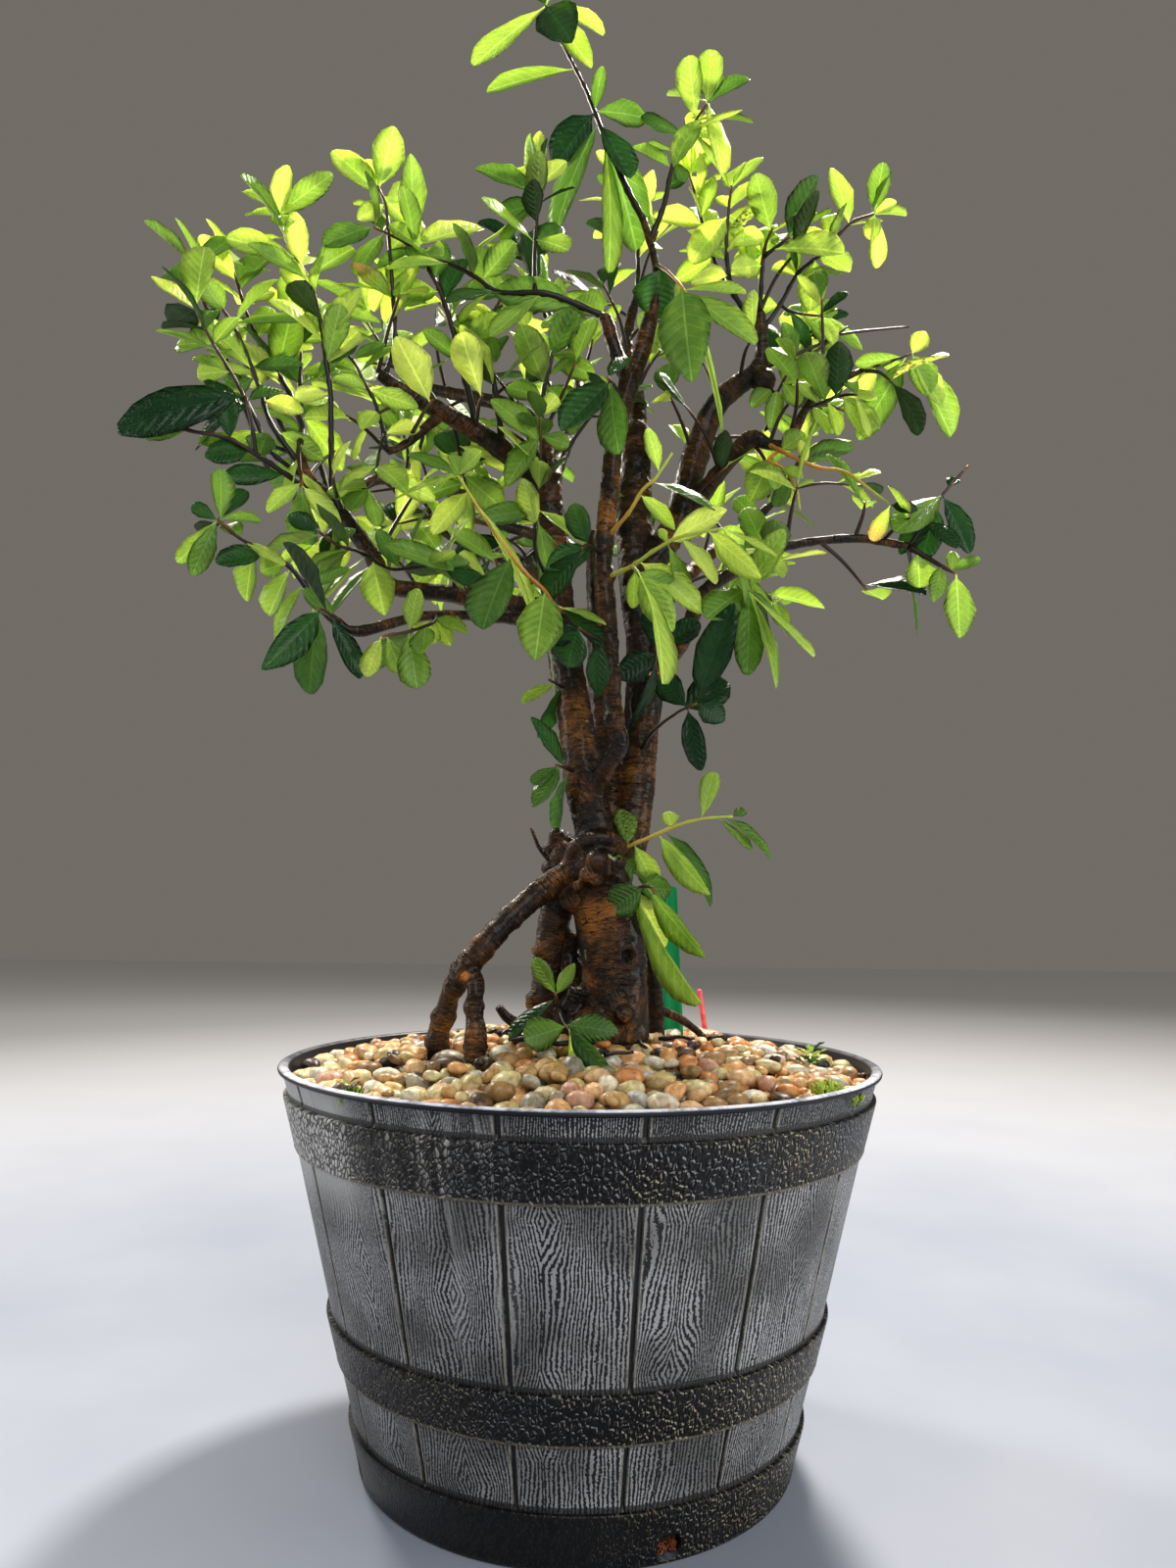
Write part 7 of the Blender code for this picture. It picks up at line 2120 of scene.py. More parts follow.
@dataclass
class LeafBlades:
    """Blade shapes of unit length and width: petiole, swelling outline, thin lens section."""

    # Half width at each share of the length: an even blade, one widest near its tip, a pointed one.
    stations: tuple = (0.0, 0.07, 0.14, 0.26, 0.4, 0.55, 0.7, 0.83, 0.93, 0.98, 1.0)
    outlines: tuple = ((0.022, 0.03, 0.15, 0.34, 0.46, 0.5, 0.48, 0.39, 0.25, 0.13, 0.0),
                       (0.022, 0.03, 0.1, 0.24, 0.37, 0.47, 0.5, 0.44, 0.3, 0.16, 0.0),
                       (0.022, 0.035, 0.17, 0.33, 0.45, 0.5, 0.45, 0.33, 0.19, 0.09, 0.0))
    thickness: float = 0.5
    lanes: tuple = (-1.0, -0.5, 0.0, 0.5, 1.0)
    tooth: float = 0.012

    def blade(self, number: int) -> Mesh:
        """One blade as a closed lens whose faces share its rim, with its map and under face.

        Args:
            number: Which blade of the set.

        Returns:
            Its mesh, of unit length.
        """
        verts, rows, faces, under = [], ([], []), [], []
        for row, (share, half) in enumerate(zip(self.stations, self.outlines[number])):
            for side in (0, 1):
                rows[side].append([])
            for lane in self.lanes if half > 0.0 else (0.0,):
                jag = self.tooth * (1 if row % 2 else -1) if abs(lane) == 1 and half > 0.1 else 0
                edge = abs(lane) == 1.0 or half == 0.0
                for side in (0, 1):
                    if side == 0 or not edge:
                        rise = 0.0 if edge else self.thickness * MM * (0.5 - side)
                        verts.append((share, lane * (half + jag), rise))
                    rows[side][-1].append(len(verts) - 1)
        for side in (0, 1):
            for first, second in zip(rows[side], rows[side][1:]):
                for lane in range(len(first) - 1):
                    sheet = [first[lane], *second[lane:lane + 2], first[lane + 1]]
                    if len(second) == 1:
                        sheet = [first[lane], second[0], first[lane + 1]]
                    faces.append(sheet if side else sheet[::-1])
                    under.append(bool(side))
        faces.append(rows[0][0] + rows[1][0][-2:0:-1])
        mesh = bpy.data.meshes.new(f"blade_{number}")
        mesh.from_pydata(verts, [], faces)
        work = bmesh.new()
        work.from_mesh(mesh)
        bmesh.ops.recalc_face_normals(work, faces=work.faces)
        work.to_mesh(mesh)
        work.free()
        add_attribute(mesh, "blade_along", "FLOAT", [vert[0] for vert in verts])
        add_attribute(mesh, "blade_across", "FLOAT", [vert[1] for vert in verts])
        layer = mesh.attributes.new("under", "BOOLEAN", "FACE")
        layer.data.foreach_set("value", under + [True])
        mesh.shade_smooth()
        return mesh

    def build(self) -> Collection:
        """Build the blades as a collection to scatter from."""
        return shape_collection("leaf_blades", [self.blade(number) for number in range(3)])


@dataclass
class Leaf:
    """One leaf in millimetres: its foot, heading, face, length and width."""

    place: Vector
    heading: Vector
    face: Vector
    length: float
    width: float


@dataclass(frozen=True)
class Spiral:
    """How leaves stand in a spiral round a twig; angles in degrees, lengths in millimetres."""

    stray: float
    roll: float
    opening: tuple
    # Random rise of the heading, the direction of the first leaf, and that of the light.
    lift: tuple
    start: tuple
    light: tuple
    outward: float
    lengths: tuple
    widths: tuple


FILLING = Spiral(20.0, 30.0, (40.0, 75.0), (), (0.0, 1.0, 0.1), (0.0, 0.0, 1.0), 0.3,
                 (30.0, 48.0), (0.38, 0.48))
SMALL = Spiral(25.0, 45.0, (30.0, 75.0), (-0.15, 0.35), (0.3, 1.0, 0.1), (0.0, -0.5, 1.0), 0.4,
               (25.0, 45.0), (0.44, 0.56))


@dataclass
class LeafyShoots:
    """Every leafy shoot with its twigs and leaves, as the view shows them or by the rule."""

    # How the leaves that show are set: lean and roll in degrees, and width by length.
    most_lean: float = 38.0
    slight_roll: float = 25.0
    slimmest: float = 0.34
    turned_over: float = 0.2
    leafy_share: float = 0.8
    twig_step: float = 18.0
    twig_tip: float = 0.75
    side_twig: float = 0.8
    # Swellings of a twig's buds: how far apart, how long and how high.
    bud_beat: float = 13.0
    bud_length: float = 1.5
    bud_rise: float = 0.5
    # How much longer and wider the real blades are than the plain ones of the solids.
    grown: tuple = (1.1, 1.18)
    # Rosettes of small leaves: how far apart, and the share of a twig that stays bare of them.
    bud_spacing: float = 15.0
    bare_share: float = 0.4
    sprig_spacing: float = 23.0
    sprig_lengths: tuple = (24.0, 58.0)
    sprig_foot: float = 560.0
    # No sprig's tip comes before the trunk: between these x, nearer than this y, under this z.
    trunk_view: tuple = (-50, 78, 12, 700)
    # Foot, middle and tip radius of a sprig's twig.
    sprig_radii: tuple = (1.6, 1.3, 0.8)
    sprig_leaves: dict = field(default_factory=lambda: {
        "left": (1, 2, 2), "right": (2, 2, 2), "back": (4, 4, 5)})
    # Where the front view is taken from, its smallest step (8 mm at the trunk), and how far back
    # a stem still shows; most small leaves keep from before such stems.
    viewer: tuple = (0.0, -745.0, 345.0)
    view_steps: float = 93.0
    deepest_shown: float = 45.0
    spared_stems: float = 0.8
    # Shares of a leaf's length that are tried, and how far it stands before a stem, at least.
    tried: tuple = (0.4, 0.6, 0.8)
    before_stem: float = 4.0
    shown_stems: dict = field(default_factory=dict)
    # Middle part of a blade that may cross no other: shares of its length and of its width.
    clear_part: tuple = ((0.45, -0.3), (0.65, -0.45), (0.97, 0.0), (0.65, 0.45), (0.45, 0.3))
    # Middle and reach of the ball round that part, as shares of the length.
    clear_ball: tuple = (0.7, 0.3)
    # How far leaves may pass the plain plant's box: share of its size, and metres.
    past_box: tuple = (0.03, 0.003)
    # Shoots whose every leaf the view shows one by one.
    single: tuple = ("root_sprout", "stub_sprout", "burl_sprout", "trunk_sprout", "small_left",
                     "small_low", "mid_dark", "mid_olive", "front_olive", "right_cluster",
                     "yellow_shoot", "orange_spur", "orange_shoot", "left_front_shoot",
                     "low_right_end", "low_right_tip", "low_right_front", "far_left",
                     "centre_front", "crown_tip", "right_tip", "low_left_hang")
    tones: dict = field(default_factory=lambda: {
        Tone.YOUNG: "yellow_shoot orange_spur crown_high",
        Tone.BRIGHT: "left_bright burl_sprout trunk_sprout top_left left_lead left_tall "
                     "crown_right centre_front centre_slim left_mid back_top back_crown "
                     "left_behind left_broad left_limb_sprigs",
        Tone.OLIVE: "left_olive mid_olive front_olive small_low left_fall",
        Tone.DARK: "mid_dark stub_sprout right_cluster far_left low_left_hang "
                   "low_right_end"})
    fresh_twigs: dict = field(default_factory=lambda: {
        "yellow_shoot": 0.85, "orange_shoot": 0.6, "orange_spur": 0.68, "burl_sprout": 0.75,
        "left_front_shoot": 0.45, "centre_front": 0.35})
    # Leaves with a pink flush, and the one with brown spots.
    blushed: tuple = ("crown_high small 0 2 0", "orange_shoot 0")
    spotted: tuple = ("burl_sprout 0",)
    # Old glossy leaves among younger ones.
    aged: tuple = ("crown_tip 1", "crown_tip 5", "crown_tip 6", "far_left 6", "yellow_leaf 1")
    # Age of a leaf over its shoot's tone: random spread; height where it adds nothing and height
    # for one less; most in the shaded middle, its x, half width and top, which darkens the leaves
    # there, partly as a painted shade; over a height; an old leaf's; and the chance and the age of
    # an odd old leaf.
    age_spread: float = 0.2
    age_heights: tuple = (620.0, 3800.0)
    shaded_age: tuple = (0.2, 5.0, 120.0, 880)
    top_age: tuple = (0.14, 860)
    old_age: float = 0.7
    odd_age: tuple = (0.13, 0.5)
    # Curl by length, fold by width, the chance of a flush or a spot, and how strong they are.
    curls: tuple = (0.0, 0.2)
    folds: tuple = (0.1, 0.5)
    flaw_chance: float = 0.004
    flush: float = 0.55
    spots: float = 0.8
    bare: tuple = (((128, 22, 742, 1.7), (129, 24, 749, 1.6), (175, 30, 774, 1.3),
                    (195, 34, 785, 1.1), (247, 40, 795, 0.8)),
                   ((-209, -60, 626, 1.9), (-225, -60, 665, 1.8), (-242, -60, 706, 1.6),
                    (-257, -60, 742, 1.5), (-271, -60, 777, 1.3)),
                   ((-190, -48, 632, 1.9), (-220, -48, 691, 1.7), (-245, -48, 726, 1.5),
                    (-271, -48, 754, 1.2)),
                   ((133, 20, 700, 1.7), (135, 20, 707, 1.6), (162, 24, 756, 1.3),
                    (176, 28, 770, 1.1), (198, 32, 790, 0.8)))
    taken: list = field(default_factory=list)

    def limits(self) -> list[tuple[float, float]]:
        """How far leaves may reach along each axis: a little past the plain plant's box.

        Returns:
            Lowest and highest, for each axis, in millimetres.
        """
        share, more = self.past_box
        reach = [share * (high - low) + more for low, high in zip(*CAD_BOX)]
        return [((low - more) / MM, (high + more) / MM)
                for low, high, more in zip(*CAD_BOX, reach)]

    def nearest_axis(self, place: Vector) -> tuple[Vector, float]:
        """The nearest point on a limb's axis and the limb's radius there.

        Args:
            place: The place, in millimetres.

        Returns:
            The point and the radius.
        """
        best = None
        for route in LIMBS.values():
            for start, end in zip(route, route[1:]):
                a, b = Vector(start[:3]), Vector(end[:3])
                share = max(0.0, min(1.0, (place - a).dot(b - a) / (b - a).length_squared))
                axis = a.lerp(b, share)
                radius = start[3] + (end[3] - start[3]) * share
                distance = (place - axis).length - radius
                if best is None or distance < best[0]:
                    best = (distance, axis, radius)
        return best[1:]

    def routes(self, shoot: Shoot) -> list[list[Vector]]:
        """Routes of a shoot's twigs, the first of them from its limb's axis.

        Args:
            shoot: The shoot.

        Returns:
            The routes.
        """
        routes = [[Vector(place) for place in twig] for twig in shoot.twigs]
        axis, reach = self.nearest_axis(routes[0][0])
        beyond = [place for place in routes[0][1:]
                  if (place - axis).length > reach + self.twig_step]
        routes[0] = [axis] + (beyond or routes[0][-1:])
        return routes

    @staticmethod
    def along(route: list[Vector], share: float) -> tuple[Vector, Vector]:
        """The point at a share of a route's length, and the heading there.

        Args:
            route: The route.
            share: From 0 at its start to 1 at its end.

        Returns:
            The point and the heading.
        """
        lengths = [(b - a).length for a, b in zip(route, route[1:])]
        left = share * sum(lengths)
        for a, b, length in zip(route, route[1:], lengths):
            if left <= length:
                return a.lerp(b, left / length), (b - a).normalized()
            left -= length
        return route[-1].copy(), (route[-1] - route[-2]).normalized()

    def shown_leaf(self, name: str, index: int, shoot: Shoot, routes: list) -> Leaf:
        """A leaf that the front view shows, at its bearing and seen size.

        Args:
            name: The shoot's name.
            index: The leaf's place in its list.
            shoot: The shoot.
            routes: The shoot's twigs.

        Returns:
            The leaf.
        """
        twig, share, bearing, seen_length, seen_width = shoot.leaves[index]
        draw = random.Random(f"{SEED} {name} {index}")
        lean = math.radians(draw.uniform(-self.most_lean, self.most_lean))
        turn = math.radians(bearing)
        heading = Vector((math.cos(turn) * math.cos(lean), -math.sin(lean),
                          math.sin(turn) * math.cos(lean)))
        length = seen_length / math.cos(lean)
        width = max(seen_width, self.slimmest * length)
        roll = max(math.acos(min(1.0, seen_width / width)),
                   math.radians(draw.uniform(0.0, self.slight_roll)))
        front = facing(heading, Vector((0.0, -1.0, 0.0)))
        side = heading.cross(front)
        up_sign = 1.0 if side.z > 0 else -1.0
        if draw.random() < self.turned_over:
            up_sign = -up_sign
        face = front * math.cos(roll) + side * math.sin(roll) * up_sign
        return Leaf(self.along(routes[twig], share)[0], heading, face, length, width)

    def spiral_leaf(self, rule: Spiral, route: list, share: float, number: int,
                    draw: random.Random) -> Leaf:
        """A leaf in the spiral of a twig, its face turned more or less to the light.

        Args:
            rule: How the spiral's leaves stand.
            route: The twig.
            share: How far along the twig it grows.
            number: Its place in the spiral.
            draw: Random draws.

        Returns:
            The leaf.
        """
        place, along = self.along(route, share)
        spin = math.radians(GOLDEN_ANGLE * number + draw.uniform(-rule.stray, rule.stray))
        out = Matrix.Rotation(spin, 3, along) @ facing(along, Vector(rule.start))
        opening = math.radians(draw.uniform(*rule.opening))
        heading = along * math.cos(opening) + out * math.sin(opening)
        if rule.lift:
            heading = heading + Vector((0, 0, draw.uniform(*rule.lift)))
        heading.normalize()
        face = facing(heading, Vector(rule.light) + out * rule.outward)
        roll = math.radians(draw.uniform(-rule.roll, rule.roll))
        face = Matrix.Rotation(roll, 3, heading) @ face
        length = draw.uniform(*rule.lengths)
        return Leaf(place, heading, face, length, length * draw.uniform(*rule.widths))

    def small_leaves(self, name: str, routes: list) -> list[tuple[str, Leaf]]:
        """The finer leaves along a shoot's twigs, a small rosette at every bud.

        Args:
            name: The shoot's name.
            routes: The shoot's twigs.

        Returns:
            The name and the leaf of each.
        """
        found = []
        draw = random.Random(f"{SEED} {name} small")
        for number, route in enumerate(routes):
            length = sum((b - a).length for a, b in zip(route, route[1:]))
            buds = max(2, int(length / self.bud_spacing))
            for bud in range(1, buds + 1):
                share = (bud - 0.15) / buds
                if share > self.bare_share:
                    found += [(f"{name} small {number} {bud} {leaf}",
                               self.spiral_leaf(SMALL, route, share, bud * 3 + leaf, draw))
                              for leaf in range(draw.choice((2, 2, 3, 3)))]
        return found

    def sprigs(self, limb: str, twigs: Tubes) -> list[tuple[str, Leaf]]:
        """Short leafy side twigs along a crown limb, kept off the stems that the view shows.

        Args:
            limb: The limb's name.
            twigs: Where the twigs' tubes go.

        Returns:
            The name and the leaf of each leaf on them.
        """
        draw = random.Random(f"{SEED} sprigs {limb}")
        path, found = smoothed(LIMBS[limb], self.sprig_spacing), []
        for index, (point, (tangent, normal, _)) in enumerate(zip(path, path_frames(path))):
            foot = Vector(point[:3])
            out = Matrix.Rotation(math.radians(GOLDEN_ANGLE * index), 3, tangent) @ normal
            heading = tangent * draw.uniform(0.1, 0.7) + out + Vector((0, 0, draw.uniform(0, 0.7)))
            tip = foot + heading.normalized() * (draw.uniform(*self.sprig_lengths) + point[3])
            left, right, near, top = self.trunk_view
            if index == 0 or tip.z < self.sprig_foot or (left < tip.x < right and tip.y < near
                                                         and tip.z < top):
                continue
            middle = foot.lerp(tip, 0.5) + Vector((draw.uniform(-3, 3), draw.uniform(-3, 3), 3))
            route = [foot, middle, tip]
            twigs.add(smoothed([(*place, radius) for place, radius in
                                zip(route, self.sprig_radii)], 4.0), 7, (0.15, 0.5))
            found += [(f"{limb} sprig {index} {number}",
                       self.spiral_leaf(SMALL, route, max(0.35, 1.0 - 0.09 * number), number,
                                        draw))
                      for number in range(draw.choice(self.sprig_leaves[limb.split("_")[0]]))]
        return found

    def seen(self, place: Vector) -> tuple[tuple[int, int], float]:
        """The step of the front view that a place covers, and how far off it lies.

        Args:
            place: The place, in millimetres.

        Returns:
            The step, and the distance.
        """
        away = place - Vector(self.viewer)
        return (round(away.x / away.y * self.view_steps),
                round(away.z / away.y * self.view_steps)), away.y

    def note_stems(self, routes: dict) -> None:
        """Remember where the front view shows limbs and the shoots' twigs.

        Args:
            routes: The twigs' routes by shoot.
        """
        stems = [smoothed(route, 5.0) for route in LIMBS.values()]
        stems += [smoothed([(*place, 1.0) for place in route], 5.0)
                  for group in routes.values() for route in group]
        for stem in stems:
            for point in stem:
                if point[1] < self.deepest_shown:
                    step, far = self.seen(Vector(point[:3]))
                    self.shown_stems[step] = max(far, self.shown_stems.get(step, 0.0))

    def hides_stem(self, leaf: Leaf) -> bool:
        """True where a leaf would stand before a stem that the front view shows.

        Args:
            leaf: The leaf.

        Returns:
            Whether it hides one.
        """
        for share in self.tried:
            step, far = self.seen(leaf.place + leaf.heading * (leaf.length * share))
            if self.shown_stems.get(step, 0.0) > far + self.before_stem:
                return True
        return False

    def has_room(self, leaf: Leaf) -> bool:
        """True, and the room is taken, where a leaf crosses no leaf set before it.

        Args:
            leaf: The leaf.

        Returns:
            Whether it has room.
        """
        side = leaf.face.cross(leaf.heading) * leaf.width
        tree = BVHTree.FromPolygons(
            [leaf.place + leaf.heading * (leaf.length * share) + side * across
             for share, across in self.clear_part], [(0, 1, 3, 4), (1, 2, 3)])
        middle_share, reach_share = self.clear_ball
        middle = leaf.place + leaf.heading * (leaf.length * middle_share)
        reach = leaf.length * reach_share
        for other_middle, other_reach, other in self.taken:
            if (middle - other_middle).length < reach + other_reach and tree.overlap(other):
                return False
        self.taken.append((middle, reach, tree))
        return True

    def dressed(self, name: str, draw_name: str, leaf: Leaf) -> dict:
        """A leaf's point values with its curl, fold, age, blush and spots.

        Args:
            name: The shoot's name.
            draw_name: The leaf's own name, which seeds its looks.
            leaf: The leaf.

        Returns:
            The point's values.
        """
        draw = random.Random(f"{SEED} look {draw_name}")
        for low, high, start, step in zip(*zip(*self.limits()), leaf.place, leaf.heading):
            room = (high - start if step > 0 else start - low) / max(1e-6, abs(step))
            leaf.length = min(leaf.length, max(8.0, room))
        point = leaf_point(leaf.place, leaf.heading, leaf.face, leaf.length, leaf.width, draw)
        tone = next((tone for tone, names in self.tones.items() if name in names.split()),
                    Tone.MIXED)
        # Backlit young leaves stand high and outside; old glossy ones sit low and inside.
        level, fall = self.age_heights
        age = tone.value - (leaf.place.z - level) / fall + draw.gauss(0.0, self.age_spread)
        # Leaves of the shaded middle are made older and darker: partly a painted shade.
        most, middle, half, top = self.shaded_age
        age += most * max(0.0, 1.0 - abs(leaf.place.x - middle) / half) * (leaf.place.z < top)
        more, above = self.top_age
        age += more * (leaf.place.z > above) + self.old_age * (draw_name in self.aged)
        odd, older = self.odd_age
        if draw.random() < odd and any(word in draw_name for word in ("small", "sprig", "more")):
            age += older
        point["stone"] = max(0.0, min(1.0, age))
        point["curl"] = draw.uniform(*self.curls) * leaf.length * MM
        point["fold"] = draw.uniform(*self.folds) * leaf.width * MM
        for key, names, strength in (("blush", self.blushed, self.flush),
                                     ("blemish", self.spotted, self.spots)):
            has_it = draw_name in names or draw.random() < self.flaw_chance
            point[key] = strength if has_it else 0.0
        return point

    def twigs(self, name: str, shoot: Shoot, routes: list) -> Tubes:
        """A shoot's twigs as tapered tubes with a swelling at every bud.

        Args:
            name: The shoot's name.
            shoot: The shoot.
            routes: The twigs' routes.

        Returns:
            The tubes.
        """
        tubes, young = Tubes(), self.fresh_twigs.get(name, 0.0)
        for index, route in enumerate(routes):
            start = shoot.thickness * (self.side_twig if index else 1.0)
            points = [(*place, start + (self.twig_tip - start) * step / (len(route) - 1))
                      for step, place in enumerate(route)]
            phase = random.Random(f"{SEED} {name} bud {index}").uniform(0.0, PHASE)

            def buds(_: Vector, turn: float, along: float) -> float:
                """Radius factor at one point of the twig's skin, with a swelling at every bud.

                Args:
                    _: The point; not used.
                    turn: Its turn round the twig.
                    along: How far along the twig it lies.

                Returns:
                    The factor.
                """
                beat = ((along + phase * 2) % self.bud_beat - self.bud_beat / 2) / self.bud_length
                one_sided = 0.6 + 0.4 * math.cos(turn + phase)
                return 1.06 + self.bud_rise * math.exp(-beat * beat) * one_sided

            tubes.add(smoothed(points, 3.2), 8, (young + 0.06, min(1.0, young + 0.5)), buds)
        return tubes

    def build(self, kit: LeafKit, bark: Material) -> None:
        """Build and dress every shoot, then the side sprigs of the crown's limbs.

        Args:
            kit: What leaves are made with.
            bark: Finish of the twigs.
        """
        routes = {name: self.routes(shoot) for name, shoot in SHOOTS.items()}
        wanted = [(name, f"{name} {index}", self.shown_leaf(name, index, shoot, routes[name]))
                  for name, shoot in SHOOTS.items() for index in range(len(shoot.leaves))]
        shown = len(wanted)
        # The filling leaves of a shoot stand closer at its tip.
        wanted += [(name, f"{name} more {index}", self.spiral_leaf(
            FILLING, routes[name][0], 1.0 - self.leafy_share * (index + 0.5) / shoot.more, index,
            random.Random(f"{SEED} {name} more {index}")))
                   for name, shoot in SHOOTS.items() for index in range(shoot.more)]
        for _, _, leaf in wanted:
            leaf.length *= self.grown[0]
            leaf.width *= self.grown[1]
        wanted += [(name, *found) for name in SHOOTS if name not in self.single
                   for found in self.small_leaves(name, routes[name])]
        wood = {name: self.twigs(name, shoot, routes[name]) for name, shoot in SHOOTS.items()}
        for group in ("left_limb", "right_limb", "back_limb"):
            wood[f"{group}_sprigs"] = Tubes()
            wanted += [(f"{group}_sprigs", *found) for limb in LIMBS if limb.startswith(group)
                       for found in self.sprigs(limb, wood[f"{group}_sprigs"])]
        leaves = {name: [] for name in wood}
        self.note_stems(routes)
        chance = random.Random(f"{SEED} before stems")
        for number, (name, draw_name, leaf) in enumerate(wanted):
            if (number >= shown and chance.random() < self.spared_stems
                    and self.hides_stem(leaf)):
                continue
            if self.has_room(leaf) or number < shown:
                leaves[name].append(self.dressed(name, draw_name, leaf))
        for name, points in leaves.items():
            spray = joined(f"{name}_spray", [kit.spread(f"{name}_leaves", points),
                                             wood[name].made(f"{name}_twigs", bark)])
            hand_over(spray, Slot.FOLIAGE, *([name] if name in SHOOTS else []))
        LOG.info("leaves: %d", sum(len(points) for points in leaves.values()))

    def bare_twigs(self, bark: Material) -> None:
        """The leafless twigs right and left of the crown, in the twigs' bark.

        Args:
            bark: The twigs' bark.
        """
        tubes = Tubes()
        for route in self.bare:
            tubes.add(smoothed(route, 4.0), 8, (0.2, 0.3))
        hand_over(tubes.made("bare_crown_twigs", bark), Slot.BARK)


@dataclass(frozen=True)
class TintedStripFinish(Finish):
    """Thin see-through green polystyrene of a plant label, faintly ribbed along its length."""

    green: str = "1fa36a"

    def feeds(self, add: NodeAdder) -> dict:
        """Glossy clear green with faint lengthwise ribs and a little scuffing.

        Args:
            add: Adds nodes to the material's tree.

        Returns:
            Sockets and values by the shader's inputs.
        """
        ribs = add.noise(add("Mapping", add.place(), None, None, (420.0, 420.0, 3.0)), 1.0, 1.0)
        colour = add.ramp(ribs, ((0.3, "0f7d4e"), (0.55, self.green), (0.75, "57c796")))
        return {"Base Color": colour, "Glow": (0.45, colour), "Roughness": 0.18,
                "Normal": add.relief(ribs, 0.2, 0.1)}


@dataclass(frozen=True)
class RedRodFinish(Finish):
    """Red polystyrene rod, bleached a little by the sun."""

    red: str = "d8343f"
    faded: str = "e8707a"

    def feeds(self, add: NodeAdder) -> dict:
        """Satin red, paler in places.

        Args:
            add: Adds nodes to the material's tree.

        Returns:
            Sockets and values by the shader's inputs.
        """
        fading = add.noise(add.place(), 150.0, 3.0)
        return {"Base Color": add.ramp(fading, ((0.4, self.red), (0.7, self.faded))),
                "Roughness": 0.35, "Normal": add.relief(fading, 0.2, 0.1)}


@dataclass(frozen=True)
class FloorFinish(Finish):
    """Plain pale laminate of the studio floor."""

    def feeds(self, add: NodeAdder) -> dict:
        """Pale grey with a faint cloudiness, paler away from the lamps so that it looks even.

        Args:
            add: Adds nodes to the material's tree.

        Returns:
            Sockets and values by the shader's inputs.
        """
        place = add.place()
        cloud = add.noise(place, 5.0, 3.0)
        near = add.ramp(cloud, ((0.3, "868e9e"), (0.7, "8f96a4")))
        away = add.mapped(add("VectorMath", place, operation="LENGTH", out="Value"), 0.6, 3.2)
        return {"Base Color": add.mix(away, near, "eef0f4"), "Roughness": 0.5}


@dataclass
class Markers:
    """The plain green plant label and the red stick behind the trunk."""

    label_size: tuple = (22.0, 0.9, 128.0)
    label_middle: tuple = (59.0, 24.0, 298.0)
    label_lean: float = -2.6
    # Radius of the upper corners, and how far the edges are eased.
    corner: float = 3.5
    eased: float = 0.25
    stick_route: tuple = ((95, 88, 240, 2), (94, 88, 256, 2), (90, 88, 284.4, 2),
                          (90, 88, 284.8, 1.84), (90, 88, 285.3, 1.4), (90, 88, 285.6, 0.7))

    def label(self) -> None:
        """Build the label: a thin strip with rounded upper corners and eased edges."""
        wide, thick, tall = self.label_size
        outline = [(-wide / 2, -tall / 2), (wide / 2, -tall / 2)]
        for centre, start in ((wide / 2 - self.corner, 0), (self.corner - wide / 2, 90)):
            for turn in (math.radians(start + 18 * step) for step in range(6)):
                outline.append((centre + self.corner * math.cos(turn),
                                tall / 2 - self.corner + self.corner * math.sin(turn)))
        count = len(outline)
        verts = [(x, side * thick / 2, z) for side in (-1, 1) for x, z in outline]
        faces = [tuple(range(count)), tuple(range(2 * count - 1, count - 1, -1))]
        faces += [(part, part + count, (part + 1) % count + count, (part + 1) % count)
                  for part in range(count)]
        mesh = mesh_from("label_strip", verts, faces)
        lean = Matrix.Rotation(math.radians(self.label_lean), 4, "Y")
        mesh.transform(Matrix.Translation(Vector(self.label_middle) * MM) @ lean)
        mesh.set_sharp_from_angle(angle=math.radians(30))
        strip = link_object("green_label_strip", mesh)
        ease = strip.modifiers.new("Ease", "BEVEL")
        ease.width = self.eased * MM
        ease.segments = 2
        strip = baked(strip)
        strip.data.materials.append(TintedStripFinish().material("clear_green_polystyrene"))
        hand_over(strip, Slot.LABEL, "plant_label")

    def stick(self) -> None:
        """Build the stick: a round rod with a domed end."""
        rod = Tubes()
        rod.add(smoothed(self.stick_route[:3], 4.0) + [list(ring) for ring in self.stick_route[3:]],
                20)
        hand_over(rod.made("red_marker_rod", RedRodFinish().material("red_polystyrene")),
                  Slot.STICK, "marker_stick")


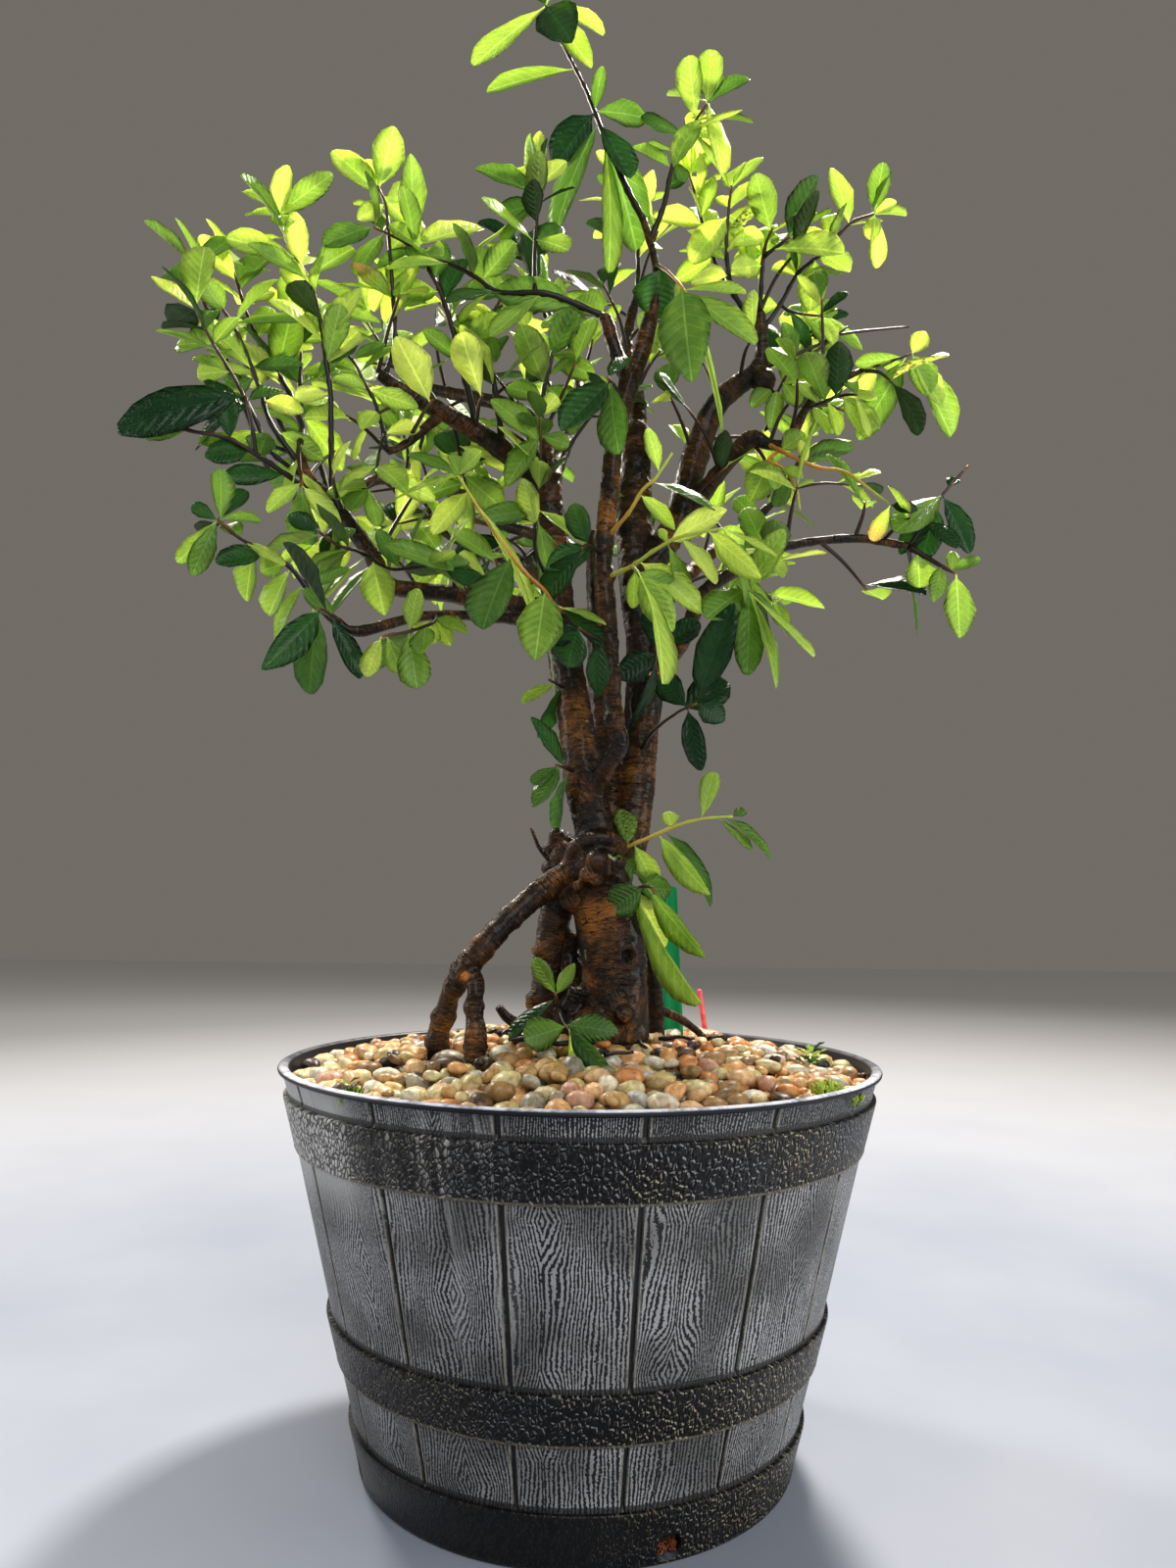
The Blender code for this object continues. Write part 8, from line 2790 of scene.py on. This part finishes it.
@dataclass
class Studio:
    """Pale floor, soft lights and the camera at the photograph's angle."""

    place: tuple = (0.0, -0.7451, 0.3450)
    pitch: float = 0.1159
    roll: float = 0.0111
    yaw: float = 0.0041
    lens: float = 24.75
    sensor: float = 36.0
    floor_reach: float = 6000.0
    sky: str = "a8a299"
    sky_strength: float = 0.42
    # Name, place and aim in metres, side in metres, power in watts, colour.
    lights: tuple = (("sun_side", (0.55, 1.1, 2.2), (0.0, 0.0, 0.6), 0.3, 106.0, "fff5e8"),
                     ("sky_front", (0.5, -2.0, 1.6), (0.0, 0.0, 0.35), 1.4, 35.0, "f2f3f6"),
                     ("edge_left", (-1.7, -0.1, 0.9), (0.0, 0.0, 0.3), 0.7, 11.0, "ffffff"),
                     ("back_left", (-1.1, 1.2, 1.7), (-0.15, 0.0, 0.8), 0.3, 32.0, "fff5e8"),
                     ("edge_right", (1.5, -0.6, 0.5), (0.0, 0.0, 0.15), 0.7, 12.0, "fbfaf6"))

    def camera(self) -> None:
        """Set the camera where the photograph was taken from."""
        ahead = Vector((math.sin(self.yaw) * math.cos(self.pitch),
                        math.cos(self.yaw) * math.cos(self.pitch), math.sin(self.pitch)))
        right = Vector((math.cos(self.yaw), -math.sin(self.yaw), 0.0))
        up = right.cross(ahead)
        across = right * math.cos(self.roll) + up * math.sin(self.roll)
        upright = up * math.cos(self.roll) - right * math.sin(self.roll)
        eye = bpy.data.cameras.new("view")
        eye.lens, eye.sensor_width = self.lens, self.sensor
        camera = bpy.data.objects.new("view", eye)
        turn = Matrix((across, upright, -ahead)).transposed().to_4x4()
        camera.matrix_world = Matrix.Translation(Vector(self.place)) @ turn
        bpy.context.scene.collection.objects.link(camera)
        bpy.context.scene.camera = camera

    def build(self) -> None:
        """Set the floor, the sky, the soft square lights and the camera."""
        far = self.floor_reach
        floor = link_object("studio_floor", mesh_from(
            "studio_floor", [(-far, -far, 0), (far, -far, 0), (far, far, 0), (-far, far, 0)],
            [(0, 1, 2, 3)]))
        floor.data.materials.append(FloorFinish().material("pale_laminate"))
        world = bpy.data.worlds.new("studio")
        world.use_nodes = True
        sky = world.node_tree.nodes["Background"].inputs
        sky[0].default_value, sky[1].default_value = linear(self.sky), self.sky_strength
        bpy.context.scene.world = world
        for name, place, aim, size, power, colour in self.lights:
            lamp = bpy.data.lights.new(name, "AREA")
            lamp.size, lamp.energy, lamp.color = size, power, linear(colour)[:3]
            holder = bpy.data.objects.new(name, lamp)
            holder.rotation_mode = "QUATERNION"
            holder.rotation_quaternion = (Vector(aim) - Vector(place)).to_track_quat("-Z", "Y")
            holder.location = place
            bpy.context.scene.collection.objects.link(holder)
        self.camera()
        bpy.context.scene.view_settings.view_transform = "Standard"


def main() -> None:
    """Build every piece in order."""
    logging.basicConfig(level=logging.INFO, format="%(message)s")
    pot = BarrelPot()
    pot.build()
    pot.rusty_fibres()
    scatter = ScatterTree("set_shapes_on_points")
    scatter.build()
    bed = PebbleBed(pot)
    bed.build(scatter)
    WoodyPlant().build()
    kit = LeafKit(scatter, LeafBlades().build(),
                  QuinceLeafFinish().material("quince_leaf_upper_face"),
                  QuinceLeafFinish(under=True).material("quince_leaf_under_face"))
    bark = TwigBarkFinish().material("young_twig_bark")
    shoots = LeafyShoots()
    shoots.build(kit, bark)
    shoots.bare_twigs(bark)
    bed.moss(kit)
    bed.seedlings(kit)
    bed.litter(bark)
    markers = Markers()
    markers.label()
    markers.stick()
    Studio().build()


if __name__ == "__main__":
    main()
